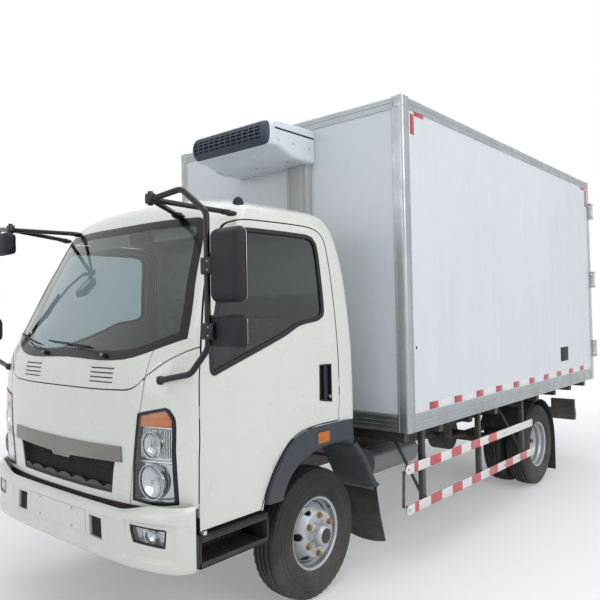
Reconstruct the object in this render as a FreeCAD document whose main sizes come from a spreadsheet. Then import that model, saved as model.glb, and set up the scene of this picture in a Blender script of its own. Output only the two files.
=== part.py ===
"""Refrigerated delivery truck: tilting cab, twin rear wheels and an insulated box.

Millimetres, +Z up, +Y to the rear, +X to the driver's side. The origin lies on the
ground under the middle of the vehicle's bounding box.
"""
import FreeCAD, Part
import Sketcher
import math
import os
import re

doc = FreeCAD.newDocument("RefrigeratedTruck")
sheet = doc.addObject("Spreadsheet::Sheet", "Dims")

SIZES = [
    # whole vehicle
    ("front_overhang", 1190, "bumper face to front axle"),
    ("wheelbase", 3290, "front axle to rear axle"),
    ("hardware_depth", 39, "how far the rear door hardware stands behind the box"),
    ("overrun", 20, "how far every cutter passes the faces it cuts"),
    ("seat_gap", 0.3, "clearance at seats of fixed pieces"),
    ("swing_gap", 6, "clearance round a moving panel"),
    # wheels
    ("tyre_radius", 386, "outer radius of the tyre"),
    ("tyre_width", 200, "section width"),
    ("tyre_sides", 36, "flat steps round a tyre"),
    ("rim_sides", 24, "flat steps round a rim"),
    ("tyre_shoulder", 26, "drop of the tread at the shoulder"),
    ("tread_half_width", 78, "half width of the flat tread"),
    ("bead_radius", 207, "inner radius of the tyre"),
    ("rim_flange_radius", 218, "outer radius of the rim flange"),
    ("rim_half_width", 84, "half width of the rim"),
    ("rim_wall", 9, "thickness of the rim and the disc"),
    ("rim_well_drop", 22, "depth of the rim well"),
    ("disc_radius", 165, "outer radius of the disc's dish"),
    ("disc_depth", 104, "how far a disc's nave lies from the rim's middle plane"),
    ("nave_radius", 136, "flat nave of the disc"),
    ("hand_hole_radius", 19.5, "half width of a hand hole"),
    ("hand_hole_circle", 152, "radius on which the hand holes lie"),
    ("hub_cap_radius", 76, "radius of the hub cap"),
    ("hub_cap_length", 62, "how far the hub cap stands out"),
    ("nut_circle", 111, "radius of the wheel nuts' circle"),
    ("nut_radius", 14, "radius of a wheel nut"),
    ("nut_length", 26, "length of a wheel nut"),
    ("front_wheel_x", 801, "middle of a front tyre"),
    ("rear_outer_x", 942, "middle of an outer rear tyre"),
    ("twin_spacing", 232, "middle to middle of twin tyres"),
    # axles and steering
    ("king_pin_x", 700, "distance of the king pin from the middle"),
    ("king_pin_radius", 17, "radius of the king pin"),
    ("knuckle_height", 150, "height of the knuckle"),
    ("knuckle_radius", 42, "radius of the knuckle barrel"),
    ("drum_radius", 122, "radius of a brake drum"),
    ("front_drum_width", 66, "width of a front drum"),
    ("spindle_radius", 34, "radius of the spindle"),
    ("axle_beam_width", 60, "width of the front axle beam"),
    ("axle_beam_height", 84, "height of the front axle beam"),
    ("axle_beam_web", 20, "web of the beam"),
    ("axle_beam_flange", 18, "flange of the beam"),
    ("axle_beam_drop", 58, "how far the beam lies under the wheel's middle"),
    ("arm_length", 172, "steering arm, rearwards"),
    ("arm_inset", 46, "how far the arm's ball lies inboard of the king pin"),
    ("arm_thickness", 22, "thickness of a steering arm"),
    ("arm_drop", 52, "how far the arm lies under the wheel's middle"),
    ("tie_rod_radius", 14, "radius of the tie rod"),
    ("ball_radius", 19, "radius of a tie rod end"),
    ("axle_tube_radius", 52, "radius of the rear axle tube"),
    ("diff_radius", 168, "radius of the differential housing"),
    ("diff_width", 190, "width of the differential housing"),
    ("rear_drum_width", 96, "width of a rear drum"),
    ("shaft_radius", 38, "radius of the propeller shaft"),
    ("spring_width", 62, "width of a leaf spring"),
    ("leaf_thickness", 11, "thickness of a leaf"),
    ("front_spring_length", 1180, "length of a front spring"),
    ("rear_spring_length", 1260, "length of a rear spring"),
    ("spring_eye_radius", 24, "radius of a spring eye"),
    ("spring_drop", 64, "how far a spring's middle hangs under its eyes"),
    # frame
    ("rail_x", 390, "middle of a frame rail"),
    ("rail_flange", 64, "width of a frame rail"),
    ("rail_height", 164, "height of a frame rail"),
    ("rail_wall", 8, "wall of a frame rail"),
    ("rail_top", 764, "top of the frame rails"),
    ("rail_front", 985, "front end of the rails ahead of the front axle"),
    ("rail_end_inset", 120, "rear end of the rails ahead of the box's rear face"),
    ("member_width", 90, "width of a cross member"),
    ("member_height", 120, "height of a cross member"),
    ("bearer_width", 60, "width of a cross bearer under the box"),
    ("bearer_count", 9, "cross bearers under the box"),
    ("sill_height", 60, "height of the long sills between rails and bearers"),
    # engine
    ("engine_width", 560, "width of the engine block"),
    ("engine_length", 860, "length of the engine and gearbox"),
    ("engine_height", 440, "height of the engine"),
    ("engine_base", 520, "underside of the engine"),
    ("engine_front", 400, "front of the engine ahead of the front axle"),
    # box
    ("box_front", 661, "front of the box behind the front axle"),
    ("box_length", 4100, "length of the box without door hardware"),
    ("box_width", 2300, "width of the box"),
    ("box_base", 902, "underside of the box"),
    ("box_top", 3152, "top of the box"),
    ("panel_thickness", 80, "thickness of an insulated panel"),
    ("floor_thickness", 92, "thickness of the insulated floor"),
    ("rail_cover", 66, "width of the aluminium edge rails"),
    ("rail_stand", 5, "how far an edge rail stands out from its panels"),
    ("base_rail_height", 120, "height of the bottom rail"),
    ("post_width", 82, "width of a rear frame post"),
    ("portal_depth", 78, "depth of the rear frame"),
    ("leaf_thickness_rear", 74, "thickness of a rear door leaf"),
    ("leaf_gap", 8, "gap round a rear door leaf"),
    ("leaf_half_gap", 8, "half the gap between the two leaves"),
    ("hinge_out", 24, "rear hinge pins outside the box side"),
    ("hinge_back", 24, "rear hinge pins behind the door face"),
    ("hinge_pin_radius", 6, "radius of a rear hinge pin"),
    ("hinge_radius", 14, "radius of a hinge knuckle"),
    ("hinge_length", 110, "length of a hinge knuckle"),
    ("lock_rod_radius", 13, "radius of a lock rod"),
    ("height_of_handle", 420, "lock handles over the leaves' lower edge"),
    ("lock_rod_inset", 190, "lock rod's distance from the free edge"),
    # refrigeration unit
    ("unit_half_width", 398, "half width of the refrigeration unit"),
    ("unit_depth", 535, "how far the unit stands ahead of the box"),
    ("unit_top", 3058, "top of the unit"),
    ("unit_height", 190, "height of the unit's side"),
    ("unit_pan", 62, "depth of the pan under the unit"),
    ("unit_round", 62, "rounding of the unit's nose"),
    ("unit_grille_height", 128, "height of the louvre grille"),
    ("unit_grille_depth", 46, "depth of the louvre grille"),
    ("duct_x", 265, "middle of the pipe duct"),
    ("duct_width", 200, "width of the pipe duct"),
    ("duct_depth", 62, "depth of the pipe duct"),
    ("duct_base", 2180, "lower end of the pipe duct"),
    ("evaporator_width", 1500, "width of the evaporator"),
    ("evaporator_depth", 420, "depth of the evaporator"),
    ("evaporator_height", 190, "height of the evaporator"),
    # cab
    ("cab_front", 1140, "front of the cab ahead of the front axle"),
    ("cab_length", 1500, "length of the cab"),
    ("cab_half_width", 940, "half width of the cab"),
    ("cab_base", 650, "lower edge of the doors"),
    ("cab_height", 1750, "height of the cab from there"),
    ("cab_wall", 45, "thickness of doors and cab walls"),
    ("glass_inset", 9, "how deep the glass lies"),
    ("glass_thickness", 6, "thickness of the glass"),
    ("floor_plate", 30, "thickness of the cab floor"),
    ("footwell_height", 200, "footwell floor over the doors' lower edge"),
    ("platform_height", 350, "seat platform over the doors' lower edge"),
    ("platform_front", 470, "front of the seat platform ahead of the front axle"),
    ("tilt_pin_y", 1020, "cab tilt pins ahead of the front axle"),
    ("tilt_pin_z", 820, "height of the cab tilt pins"),
    ("tilt_pin_radius", 12, "radius of a tilt pin"),
    ("tilt_cheek", 12, "thickness of a tilt bracket's cheek"),
    ("tilt_lug", 20, "thickness of a cab lug on a tilt pin"),
    ("tilt_lug_radius", 20, "radius of a cab lug"),
    ("tilt_bracket_length", 110, "length of a tilt bracket behind its pin"),
    ("cab_rest_y", 190, "front of the rear cab rests behind the front axle"),
    ("cab_rest_length", 70, "length of a rear cab rest"),
    ("door_run_out", 4, "wider gap behind the door's rear edge"),
    ("door_clearance", 16, "room inside the doors for their swing"),
    ("door_rebate", 10, "wider gap round the door's inner half"),
    ("door_rebate_depth", 20, "depth of the door's outer flange"),
    ("arch_liner_inner", 560, "inner edge of the front wheel arch liners"),
    ("arch_liner_wall", 6, "thickness of the wheel arch liners"),
    # bumper and steps
    ("bumper_half_width", 957, "half width of the bumper"),
    ("bumper_wall", 14, "thickness of the bumper's shell"),
    ("bumper_base", 480, "lower edge of the bumper"),
    ("bumper_height", 268, "height of the bumper at the middle"),
    ("bumper_corner_rise", 44, "rise of the bumper at the corners"),
    ("bumper_sweep", 222, "how far the bumper's ends wrap back"),
    ("bumper_arm_height", 70, "height of the bumper's brackets"),
    ("fog_recess", 30, "depth of a fog lamp's recess"),
    ("step_length", 490, "length of a step well"),
    ("step_front", 944, "front of the steps ahead of the front axle"),
    ("step_top", 632, "top of the step well"),
    ("step_height", 160, "height of the step well"),
    ("step_outer", 930, "outer face of the steps"),
    ("step_width", 210, "width of the steps"),
    ("step_wall", 14, "wall of the steps"),
    # guards, tanks and rear end
    ("guard_inset", 14, "side guards inside the box's side"),
    ("guard_thickness", 26, "thickness of a side guard rail"),
    ("guard_height", 66, "height of a side guard rail"),
    ("guard_low", 373, "lower edge of the lower rail"),
    ("guard_high", 636, "lower edge of the upper rail"),
    ("guard_front", 628, "front of the side guards behind the front axle"),
    ("guard_length", 2240, "length of the side guards"),
    ("guard_post", 40, "width of a guard post"),
    ("underride_height", 124, "height of the rear underride bar"),
    ("underride_depth", 60, "depth of the rear underride bar"),
    ("underride_base", 417, "lower edge of the underride bar"),
    ("underride_half_width", 940, "half length of the underride bar"),
    ("lamp_width", 260, "width of a tail lamp"),
    ("lamp_height", 110, "height of a tail lamp"),
    ("lamp_depth", 44, "depth of a tail lamp"),
    ("tank_radius", 150, "corner radius of the fuel tank"),
    ("tank_length", 760, "length of the fuel tank"),
    ("tank_width", 400, "width of the fuel tank"),
    ("tank_height", 330, "height of the fuel tank"),
    ("tank_base", 330, "underside of the fuel tank"),
    ("tank_front", 900, "front of the tank behind the front axle"),
    ("tank_strap", 4, "thickness of a tank strap"),
    ("air_tank_radius", 102, "radius of an air tank"),
    ("air_tank_length", 620, "length of an air tank"),
    ("silencer_radius", 96, "radius of the silencer"),
    ("silencer_length", 560, "length of the silencer"),
    ("pipe_radius", 27, "radius of the exhaust pipe"),
    ("mudguard_gap", 46, "rear mudguard over the tyre"),
    ("mudguard_wall", 5, "thickness of the mudguards"),
    ("flap_length", 330, "length of a mud flap"),
    ("flap_thickness", 10, "thickness of a mud flap"),
    ("front_guard_inner", 640, "inner edge of the front mudguards"),
    ("front_guard_outer", 950, "outer edge of the front mudguards"),
    ("silencer_x", 200, "middle of the silencer from the vehicle's middle"),
    # mirrors
    ("mirror_tube", 13, "radius of the mirror arm's tube"),
    ("mirror_width", 205, "width of the main mirror"),
    ("mirror_height", 345, "height of the main mirror"),
    ("mirror_depth", 76, "depth of a mirror head"),
    ("mirror_x", 1222, "middle of the mirror heads"),
    ("mirror_y", 1012, "mirror heads ahead of the front axle"),
    ("mirror_z", 1930, "middle of the main mirror"),
    ("wide_mirror_height", 150, "height of the wide mirror"),
    ("wide_mirror_z", 1630, "middle of the wide mirror"),
    ("front_mirror_width", 190, "width of the front-view mirror"),
    ("front_mirror_height", 150, "height of the front-view mirror"),
    ("front_mirror_drop", 95, "front-view mirror under the arm's knee"),
    # inside the cab
    ("seat_width", 520, "width of the driver's seat"),
    ("seat_depth", 500, "depth of a seat"),
    ("seat_cushion", 150, "thickness of a seat cushion"),
    ("seat_back_height", 640, "height of a seat back"),
    ("seat_back_thickness", 110, "thickness of a seat back"),
    ("seat_x", 450, "middle of the driver's seat"),
    ("bench_width", 830, "width of the passengers' seat"),
    ("dash_height", 330, "height of the dashboard"),
    ("dash_depth", 330, "depth of the dashboard"),
    ("dash_top", 1445, "top of the dashboard"),
    ("steering_wheel_radius", 215, "radius of the steering wheel"),
    ("steering_rim_radius", 14, "radius of its rim"),
    ("steering_tilt", 62, "tilt of the steering column in degrees"),
]

row = 1
for alias, value, note in SIZES:
    sheet.set("A%d" % row, alias)
    sheet.set("B%d" % row, str(value))
    sheet.set("C%d" % row, note)
    sheet.setAlias("B%d" % row, alias)
    row += 1
doc.recompute()


class Dims:
    """The sheet's values as plain numbers, for shapes made with Part's functions."""

    def __getattr__(self, alias):
        return float(sheet.get(alias))


d = Dims()
ALIASES = set(alias for alias, value, note in SIZES)
WORD = re.compile(r"[a-z_][a-z_0-9]*")


def cells(text):
    """Point every size named in an expression at its cell."""
    return WORD.sub(lambda m: "Dims." + m.group(0) if m.group(0) in ALIASES else m.group(0), text)


def bind(obj, prop, text):
    obj.setExpression(prop, cells(text))


FRONT_AXLE = "(front_overhang - (front_overhang + box_front + box_length + hardware_depth) / 2)"
REAR_AXLE = "(" + FRONT_AXLE + " + wheelbase)"
RAIL_LENGTH = "(rail_front + box_front + box_length - rail_end_inset)"
GUARD_X = "(box_width / 2 - guard_inset)"
front_axle = (d.front_overhang - d.box_front - d.box_length - d.hardware_depth) / 2
bumper_face = front_axle - d.front_overhang
rear_axle = front_axle + d.wheelbase

NODES = {}


def keep(node, obj):
    obj.Label = node
    NODES[node] = obj
    return obj


def place(obj, x, y, z):
    bind(obj, "Placement.Base.x", x)
    bind(obj, "Placement.Base.y", y)
    bind(obj, "Placement.Base.z", z)


def box(name, x, y, z, length, width, height):
    """A block from its low corner."""
    obj = doc.addObject("Part::Box", name)
    bind(obj, "Length", length)
    bind(obj, "Width", width)
    bind(obj, "Height", height)
    place(obj, x, y, z)
    return obj


TURNS = {
    "X": FreeCAD.Rotation(FreeCAD.Vector(0, 1, 0), 90),
    "Y": FreeCAD.Rotation(FreeCAD.Vector(1, 0, 0), -90),
    "Z": FreeCAD.Rotation(),
}


def rod(name, axis, x, y, z, radius, height):
    """A cylinder that starts at a point and runs along +axis."""
    obj = doc.addObject("Part::Cylinder", name)
    obj.Placement = FreeCAD.Placement(FreeCAD.Vector(0, 0, 0), TURNS[axis])
    bind(obj, "Radius", radius)
    bind(obj, "Height", height)
    place(obj, x, y, z)
    return obj


def prism(name, axis, x, y, z, radius, height, sides):
    """A rod with flat sides that starts at a point and runs along +axis."""
    obj = doc.addObject("Part::Prism", name)
    obj.Polygon = sides
    obj.Placement = FreeCAD.Placement(FreeCAD.Vector(0, 0, 0), TURNS[axis])
    bind(obj, "Circumradius", radius)
    bind(obj, "Height", height)
    place(obj, x, y, z)
    return obj


def fuse(name, pieces):
    obj = doc.addObject("Part::MultiFuse", name)
    obj.Shapes = pieces
    return obj


def cut(name, base, tool):
    obj = doc.addObject("Part::Cut", name)
    obj.Base = base
    obj.Tool = tool
    return obj


def group(name, pieces):
    obj = doc.addObject("Part::Compound", name)
    obj.Links = pieces
    return obj


def mirror(name, source):
    """The same piece on the other side of the vehicle."""
    obj = doc.addObject("Part::Mirroring", name)
    obj.Source = source
    obj.Normal = FreeCAD.Vector(1, 0, 0)
    return obj


def feature(name, shape):
    obj = doc.addObject("Part::Feature", name)
    obj.Shape = shape
    obj.Placement = shape.Placement
    return obj


PLANES = {"XY": "XY_Plane", "XZ": "XZ_Plane", "YZ": "YZ_Plane"}


def profile_body(name, plane, points, offset):
    """A body with one closed sketch of straight lines, every corner bound to the sheet."""
    body = doc.addObject("PartDesign::Body", name)
    support = [f for f in body.Origin.OriginFeatures if f.Role == PLANES[plane]][0]
    sketch = body.newObject("Sketcher::SketchObject", name + "_profile")
    sketch.AttachmentSupport = [(support, "")]
    sketch.MapMode = "FlatFace"
    count = len(points)
    start = [FreeCAD.Vector(k, (k * k) % count, 0) for k in range(count)]
    for k in range(count):
        sketch.addGeometry(Part.LineSegment(start[k], start[(k + 1) % count]), False)
    for k in range(count):
        sketch.addConstraint(Sketcher.Constraint("Coincident", k, 2, (k + 1) % count, 1))
    for k, (u, w) in enumerate(points):
        i = sketch.addConstraint(Sketcher.Constraint("DistanceX", k, 1, start[k].x))
        sketch.setExpression("Constraints[%d]" % i, cells(u))
        i = sketch.addConstraint(Sketcher.Constraint("DistanceY", k, 1, start[k].y))
        sketch.setExpression("Constraints[%d]" % i, cells(w))
    bind(sketch, "AttachmentOffset.Base.z", offset)
    return body, sketch


def pad(name, plane, points, offset, length):
    body, sketch = profile_body(name, plane, points, offset)
    part = body.newObject("PartDesign::Pad", name + "_pad")
    part.Profile = sketch
    bind(part, "Length", length)
    sketch.Visibility = False
    return body


# frame rails, C section, open side inwards
def rail_profile():
    outer = "(rail_x + rail_flange / 2)"
    inner = "(rail_x - rail_flange / 2)"
    top = "rail_top"
    low = "(rail_top - rail_height)"
    return [
        (inner, top), (outer, top), (outer, low), (inner, low),
        (inner, low + " + rail_wall"), (outer + " - rail_wall", low + " + rail_wall"),
        (outer + " - rail_wall", top + " - rail_wall"), (inner, top + " - rail_wall"),
    ]


rail_left = pad("RailLeft", "XZ", rail_profile(),
                "-(" + FRONT_AXLE + " - rail_front + " + RAIL_LENGTH + ")", RAIL_LENGTH)
rail_right = mirror("RailRight", rail_left)
keep("frame_rails", group("FrameRails", [rail_left, rail_right]))

MEMBER_SHARES = [0.03, 0.30, 0.52, 0.74, 0.985]
members = []
for k, share in enumerate(MEMBER_SHARES):
    members.append(box(
        "CrossMember%d" % k, "-(rail_x + rail_flange / 2 - rail_wall)",
        FRONT_AXLE + " - rail_front + %g * %s - member_width / 2" % (share, RAIL_LENGTH),
        "rail_top - rail_height / 2 - member_height / 2",
        "2 * rail_x + rail_flange - 2 * rail_wall", "member_width", "member_height"))
sill_x = "(rail_x - rail_flange / 2)"
bearer_half = "(" + GUARD_X + " - guard_thickness - guard_post - seat_gap)"
sills = []
for side, x in (("Left", sill_x), ("Right", "-rail_x - rail_flange / 2")):
    sills.append(box("Sill" + side, x, FRONT_AXLE + " + box_front", "rail_top", "rail_flange",
                     "box_length", "sill_height"))
keep("box_sills", group("BoxSills", sills))
for k in range(int(d.bearer_count)):
    members.append(box(
        "Bearer%d" % k, "-" + bearer_half,
        FRONT_AXLE + " + box_front + rail_cover + %d * (box_length - 2 * rail_cover - bearer_width) / (bearer_count - 1)" % k,
        "rail_top + sill_height", "2 * " + bearer_half, "bearer_width",
        "box_base - rail_top - sill_height"))
keep("cross_members", group("CrossMembers", members))

# engine with gearbox, one plain block
keep("engine_block", box("EngineBlock", "-engine_width / 2", FRONT_AXLE + " - engine_front",
                         "engine_base", "engine_width", "engine_length", "engine_height"))

# front axle beam, I section, dropped between the springs
beam_low = "(tyre_radius - axle_beam_drop - axle_beam_height / 2)"
beam_top = "(tyre_radius - axle_beam_drop + axle_beam_height / 2)"
half = "axle_beam_width / 2"
web = "axle_beam_web / 2"


def beam_profile():
    lo, hi = beam_low, beam_top
    y0 = FRONT_AXLE
    return [
        (y0 + " - " + half, lo), (y0 + " + " + half, lo),
        (y0 + " + " + half, lo + " + axle_beam_flange"), (y0 + " + " + web, lo + " + axle_beam_flange"),
        (y0 + " + " + web, hi + " - axle_beam_flange"), (y0 + " + " + half, hi + " - axle_beam_flange"),
        (y0 + " + " + half, hi), (y0 + " - " + half, hi),
        (y0 + " - " + half, hi + " - axle_beam_flange"), (y0 + " - " + web, hi + " - axle_beam_flange"),
        (y0 + " - " + web, lo + " + axle_beam_flange"), (y0 + " - " + half, lo + " + axle_beam_flange"),
    ]


beam_half = "(king_pin_x - knuckle_radius - axle_beam_flange)"
beam = pad("AxleBeam", "YZ", beam_profile(), "-" + beam_half, "2 * " + beam_half)
beam_parts = [beam]
for side, s in (("Left", ""), ("Right", "-")):
    x = "king_pin_x" if s == "" else "-king_pin_x"
    beam_parts.append(rod("KingPin" + side, "Z", x, FRONT_AXLE,
                          "tyre_radius - knuckle_height / 2 - swing_gap - axle_beam_flange",
                          "king_pin_radius", "knuckle_height + 2 * swing_gap + 2 * axle_beam_flange"))
    x0 = "king_pin_x - knuckle_radius - 2 * axle_beam_flange" if s == "" else "-king_pin_x - king_pin_radius"
    for level, z in (("Top", "tyre_radius + knuckle_height / 2 + swing_gap"),
                     ("Low", "tyre_radius - knuckle_height / 2 - swing_gap - axle_beam_flange")):
        beam_parts.append(box("Fork" + level + side, x0, FRONT_AXLE + " - " + half, z,
                              "knuckle_radius + 2 * axle_beam_flange + king_pin_radius",
                              "axle_beam_width", "axle_beam_flange"))
    x1 = "king_pin_x - knuckle_radius - 2 * axle_beam_flange" if s == "" else "-(king_pin_x - knuckle_radius - axle_beam_flange)"
    beam_parts.append(box("ForkBack" + side, x1, FRONT_AXLE + " - king_pin_radius",
                          "tyre_radius - knuckle_height / 2 - swing_gap - axle_beam_flange",
                          "axle_beam_flange", "2 * king_pin_radius",
                          "knuckle_height + 2 * swing_gap + 2 * axle_beam_flange"))
keep("front_axle", fuse("FrontAxle", beam_parts))


# knuckles with spindle, drum and steering arm
def knuckle(side):
    s = 1 if side == "left" else -1
    name = "Knuckle" + side.capitalize()
    sign = "" if s > 0 else "-"
    barrel = rod(name + "Barrel", "Z", sign + "king_pin_x", FRONT_AXLE, "tyre_radius - knuckle_height / 2",
                 "knuckle_radius", "knuckle_height")
    bore = rod(name + "Bore", "Z", sign + "king_pin_x", FRONT_AXLE,
               "tyre_radius - knuckle_height / 2 - overrun", "king_pin_radius + seat_gap / 3",
               "knuckle_height + 2 * overrun")
    length = "(front_wheel_x - disc_depth + disc_depth * 2 - rim_wall - king_pin_x - seat_gap)"
    x = "king_pin_x" if s > 0 else "-king_pin_x - " + length
    spindle = rod(name + "Spindle", "X", x, FRONT_AXLE, "tyre_radius", "spindle_radius", length)
    arm_low = "(tyre_radius - arm_drop - arm_thickness / 2)"
    inner = sign + "(king_pin_x - arm_inset)"
    points = [
        (sign + "(king_pin_x + knuckle_radius / 2)", FRONT_AXLE),
        (sign + "(king_pin_x - arm_inset + ball_radius)", FRONT_AXLE + " + arm_length"),
        (sign + "(king_pin_x - arm_inset - ball_radius)", FRONT_AXLE + " + arm_length"),
        (sign + "(king_pin_x - knuckle_radius / 2)", FRONT_AXLE),
    ]
    arm = pad(name + "Arm", "XY", points, arm_low, "arm_thickness")
    eye = rod(name + "Eye", "Z", inner, FRONT_AXLE + " + arm_length", arm_low, "ball_radius", "arm_thickness")
    whole = fuse(name + "Solid", [barrel, spindle, arm, eye])
    return cut(name + "Cut", whole, bore)


keep("knuckle_left", knuckle("left"))
keep("knuckle_right", knuckle("right"))

rod_z = "(tyre_radius - arm_drop - arm_thickness / 2 - ball_radius - seat_gap)"
tie = fuse("TieRodSolid", [
    rod("TieTube", "X", "-(king_pin_x - arm_inset)", FRONT_AXLE + " + arm_length", rod_z, "tie_rod_radius",
        "2 * (king_pin_x - arm_inset)"),
    rod("TieEndLeft", "Z", "king_pin_x - arm_inset", FRONT_AXLE + " + arm_length", rod_z + " - ball_radius",
        "ball_radius", "2 * ball_radius"),
    rod("TieEndRight", "Z", "-(king_pin_x - arm_inset)", FRONT_AXLE + " + arm_length", rod_z + " - ball_radius",
        "ball_radius", "2 * ball_radius"),
])
keep("tie_rod", tie)

# rear axle with differential, drums and propeller shaft
inner_face = "(rear_outer_x - twin_spacing / 2)"
rear_parts = [
    rod("AxleTube", "X", "-(" + inner_face + " - rim_wall - seat_gap)", REAR_AXLE, "tyre_radius", "axle_tube_radius",
        "2 * (" + inner_face + " - rim_wall - seat_gap)"),
    rod("DiffHousing", "X", "-diff_width / 2", REAR_AXLE, "tyre_radius", "diff_radius", "diff_width"),
]
gearbox_y = front_axle - d.engine_front + d.engine_length + d.seat_gap
shaft_from = FreeCAD.Vector(0, gearbox_y + d.shaft_radius / 2, d.engine_base + 2 * d.shaft_radius)
shaft_to = FreeCAD.Vector(0, rear_axle, d.tyre_radius)
shaft = Part.makeCylinder(d.shaft_radius, (shaft_to - shaft_from).Length, shaft_from, shaft_to - shaft_from)
coupling = Part.makeCylinder(1.6 * d.shaft_radius, 2 * d.shaft_radius, FreeCAD.Vector(0, gearbox_y, shaft_from.z),
                             FreeCAD.Vector(0, 1, 0))
rear_parts.append(feature("PropShaft", shaft.fuse(coupling)))
keep("rear_axle", fuse("RearAxle", rear_parts))


# leaf springs, an arc of stacked leaves
def spring(name, sign, axle, length, z_low):
    pieces = []
    for k in range(4):
        share = 1 - 0.2 * k
        pieces.append(box(name + "Leaf%d" % k, sign + "rail_x - spring_width / 2", axle + " - %g * %s / 2" % (share, length),
                          z_low + " + %d * leaf_thickness" % (3 - k), "spring_width", "%g * %s" % (share, length),
                          "leaf_thickness"))
    for end, y in (("Front", axle + " - " + length + " / 2"), ("Rear", axle + " + " + length + " / 2")):
        eye_z = z_low + " + 3 * leaf_thickness + spring_eye_radius"
        pieces.append(prism(name + "Eye" + end, "X", sign + "rail_x - spring_width / 2", y, eye_z,
                            "spring_eye_radius", "spring_width", 8))
        pieces.append(box(name + "Hanger" + end, sign + "rail_x - spring_width / 2", y + " - spring_eye_radius", eye_z,
                          "spring_width", "2 * spring_eye_radius",
                          "rail_top - rail_height - (" + eye_z + ")"))
    return fuse(name, pieces)


front_spring_z = "(" + beam_top + ")"
rear_spring_z = "(tyre_radius + axle_tube_radius)"
springs = []
for side, sign in (("Left", ""), ("Right", "-")):
    springs.append(spring("FrontSpring" + side, sign, FRONT_AXLE, "front_spring_length", front_spring_z))
    springs.append(spring("RearSpring" + side, sign, REAR_AXLE, "rear_spring_length", rear_spring_z))
keep("leaf_springs", group("LeafSprings", springs))


# wheels: sections turned about the axle in flat steps
def faced(rings):
    """A closed solid from rings of points, each joined to the next by flat faces."""
    faces = []
    count = len(rings[0])
    for low, high in zip(rings, rings[1:] + rings[:1]):
        for k in range(count):
            m = (k + 1) % count
            corners = []
            for p in (low[k], high[k], high[m], low[m]):
                if not corners or (p - corners[-1]).Length > d.seat_gap / 100:
                    corners.append(p)
            if (corners[0] - corners[-1]).Length < d.seat_gap / 100:
                corners.pop()
            if len(corners) > 2:
                faces.append(Part.Face(Part.makePolygon(corners + corners[:1])))
    shell = Part.makeShell(faces)
    shell.sewShape()
    solid = Part.makeSolid(shell)
    if solid.Volume < 0:
        solid.reverse()
    return solid


def turned(points, centre, x_sign, sides, outside=True):
    """Turn a closed outline of (x, radius) points about a wheel's axle in flat steps."""
    half = math.pi / sides
    stretch = 1 / math.cos(half) if outside else 1
    rings = []
    for x, r in points:
        rings.append([FreeCAD.Vector(x_sign * x, stretch * r * math.cos((2 * k + 1) * half),
                                     stretch * r * math.sin((2 * k + 1) * half)) for k in range(sides)])
    solid = faced(rings)
    solid.translate(centre)
    return solid


def tube(points, radius, sides):
    """A straight-sided tube along a line of points, mitred where it bends."""
    first = (points[1] - points[0]).normalize()
    level = FreeCAD.Vector(0, 0, 1) if abs(first.z) < 0.9 else FreeCAD.Vector(0, 1, 0)
    across = first.cross(level).normalize()
    up = across.cross(first)
    turns = [(2 * k + 1) * math.pi / sides for k in range(sides)]
    rings = [[points[0] + (across * math.cos(a) + up * math.sin(a)) * radius for a in turns]]
    for k in range(1, len(points)):
        along = (points[k] - points[k - 1]).normalize()
        normal = along
        if k + 1 < len(points):
            normal = along + (points[k + 1] - points[k]).normalize()
        rings.append([q + along * ((points[k] - q).dot(normal) / along.dot(normal)) for q in rings[-1]])
    faces = [Part.Face(Part.makePolygon(ring + ring[:1])) for ring in (rings[0], rings[-1])]
    for low, high in zip(rings, rings[1:]):
        for k in range(sides):
            m = (k + 1) % sides
            faces.append(Part.Face(Part.makePolygon([low[k], high[k], high[m], low[m], low[k]])))
    shell = Part.makeShell(faces)
    shell.sewShape()
    solid = Part.makeSolid(shell)
    if solid.Volume < 0:
        solid.reverse()
    return solid


def tyre_points():
    w = d.tyre_width / 2
    bead = d.rim_half_width - d.rim_wall / 2 - d.seat_gap
    flange = d.rim_flange_radius + d.seat_gap
    half = [
        (bead, d.bead_radius), (bead, flange), (d.rim_half_width, flange + d.rim_wall),
        (w, (d.bead_radius + d.tyre_radius) / 2), (w - d.rim_wall / 2, d.tyre_radius - 2 * d.tyre_shoulder),
        (d.tread_half_width + d.rim_wall, d.tyre_radius - d.tyre_shoulder / 2), (d.tread_half_width, d.tyre_radius),
    ]
    return half + [(-x, r) for x, r in half[::-1]]


def rim_points(nave):
    """Rim and disc as one section; nave is the disc's face, outwards of the rim's middle."""
    half = d.rim_half_width
    t = d.rim_wall
    seat = d.bead_radius - d.seat_gap
    well = seat - d.rim_well_drop
    side = 1 if nave > 0 else -1
    root = d.rim_half_width / 4
    line = [
        (root + t, well - t), (half / 2, well - t), (half, seat - t), (half, d.rim_flange_radius),
        (half - t / 2, d.rim_flange_radius), (half - t / 2, seat), (half / 2, well), (-half / 2, well),
        (-half + t / 2, seat), (-half + t / 2, d.rim_flange_radius), (-half, d.rim_flange_radius),
        (-half, seat - t), (-half / 2, well - t), (root, well - t), (abs(nave) - t, d.nave_radius - t),
        (abs(nave) - t, 0), (abs(nave), 0), (abs(nave), d.nave_radius),
    ]
    return [(side * x, r) for x, r in line]


def wheel_disc(centre, sign, nave):
    whole = turned(rim_points(nave), centre, sign, int(d.rim_sides), False)
    holes = []
    for k in range(6):
        a = math.radians(56 + 60 * k)
        middle = FreeCAD.Vector(centre.x - d.tyre_width, centre.y + d.hand_hole_circle * math.cos(a),
                                centre.z + d.hand_hole_circle * math.sin(a))
        holes.append(post(d.hand_hole_radius, 2 * d.tyre_width, middle, 1, 8))
    return whole.cut(Part.makeCompound(holes))


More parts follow.
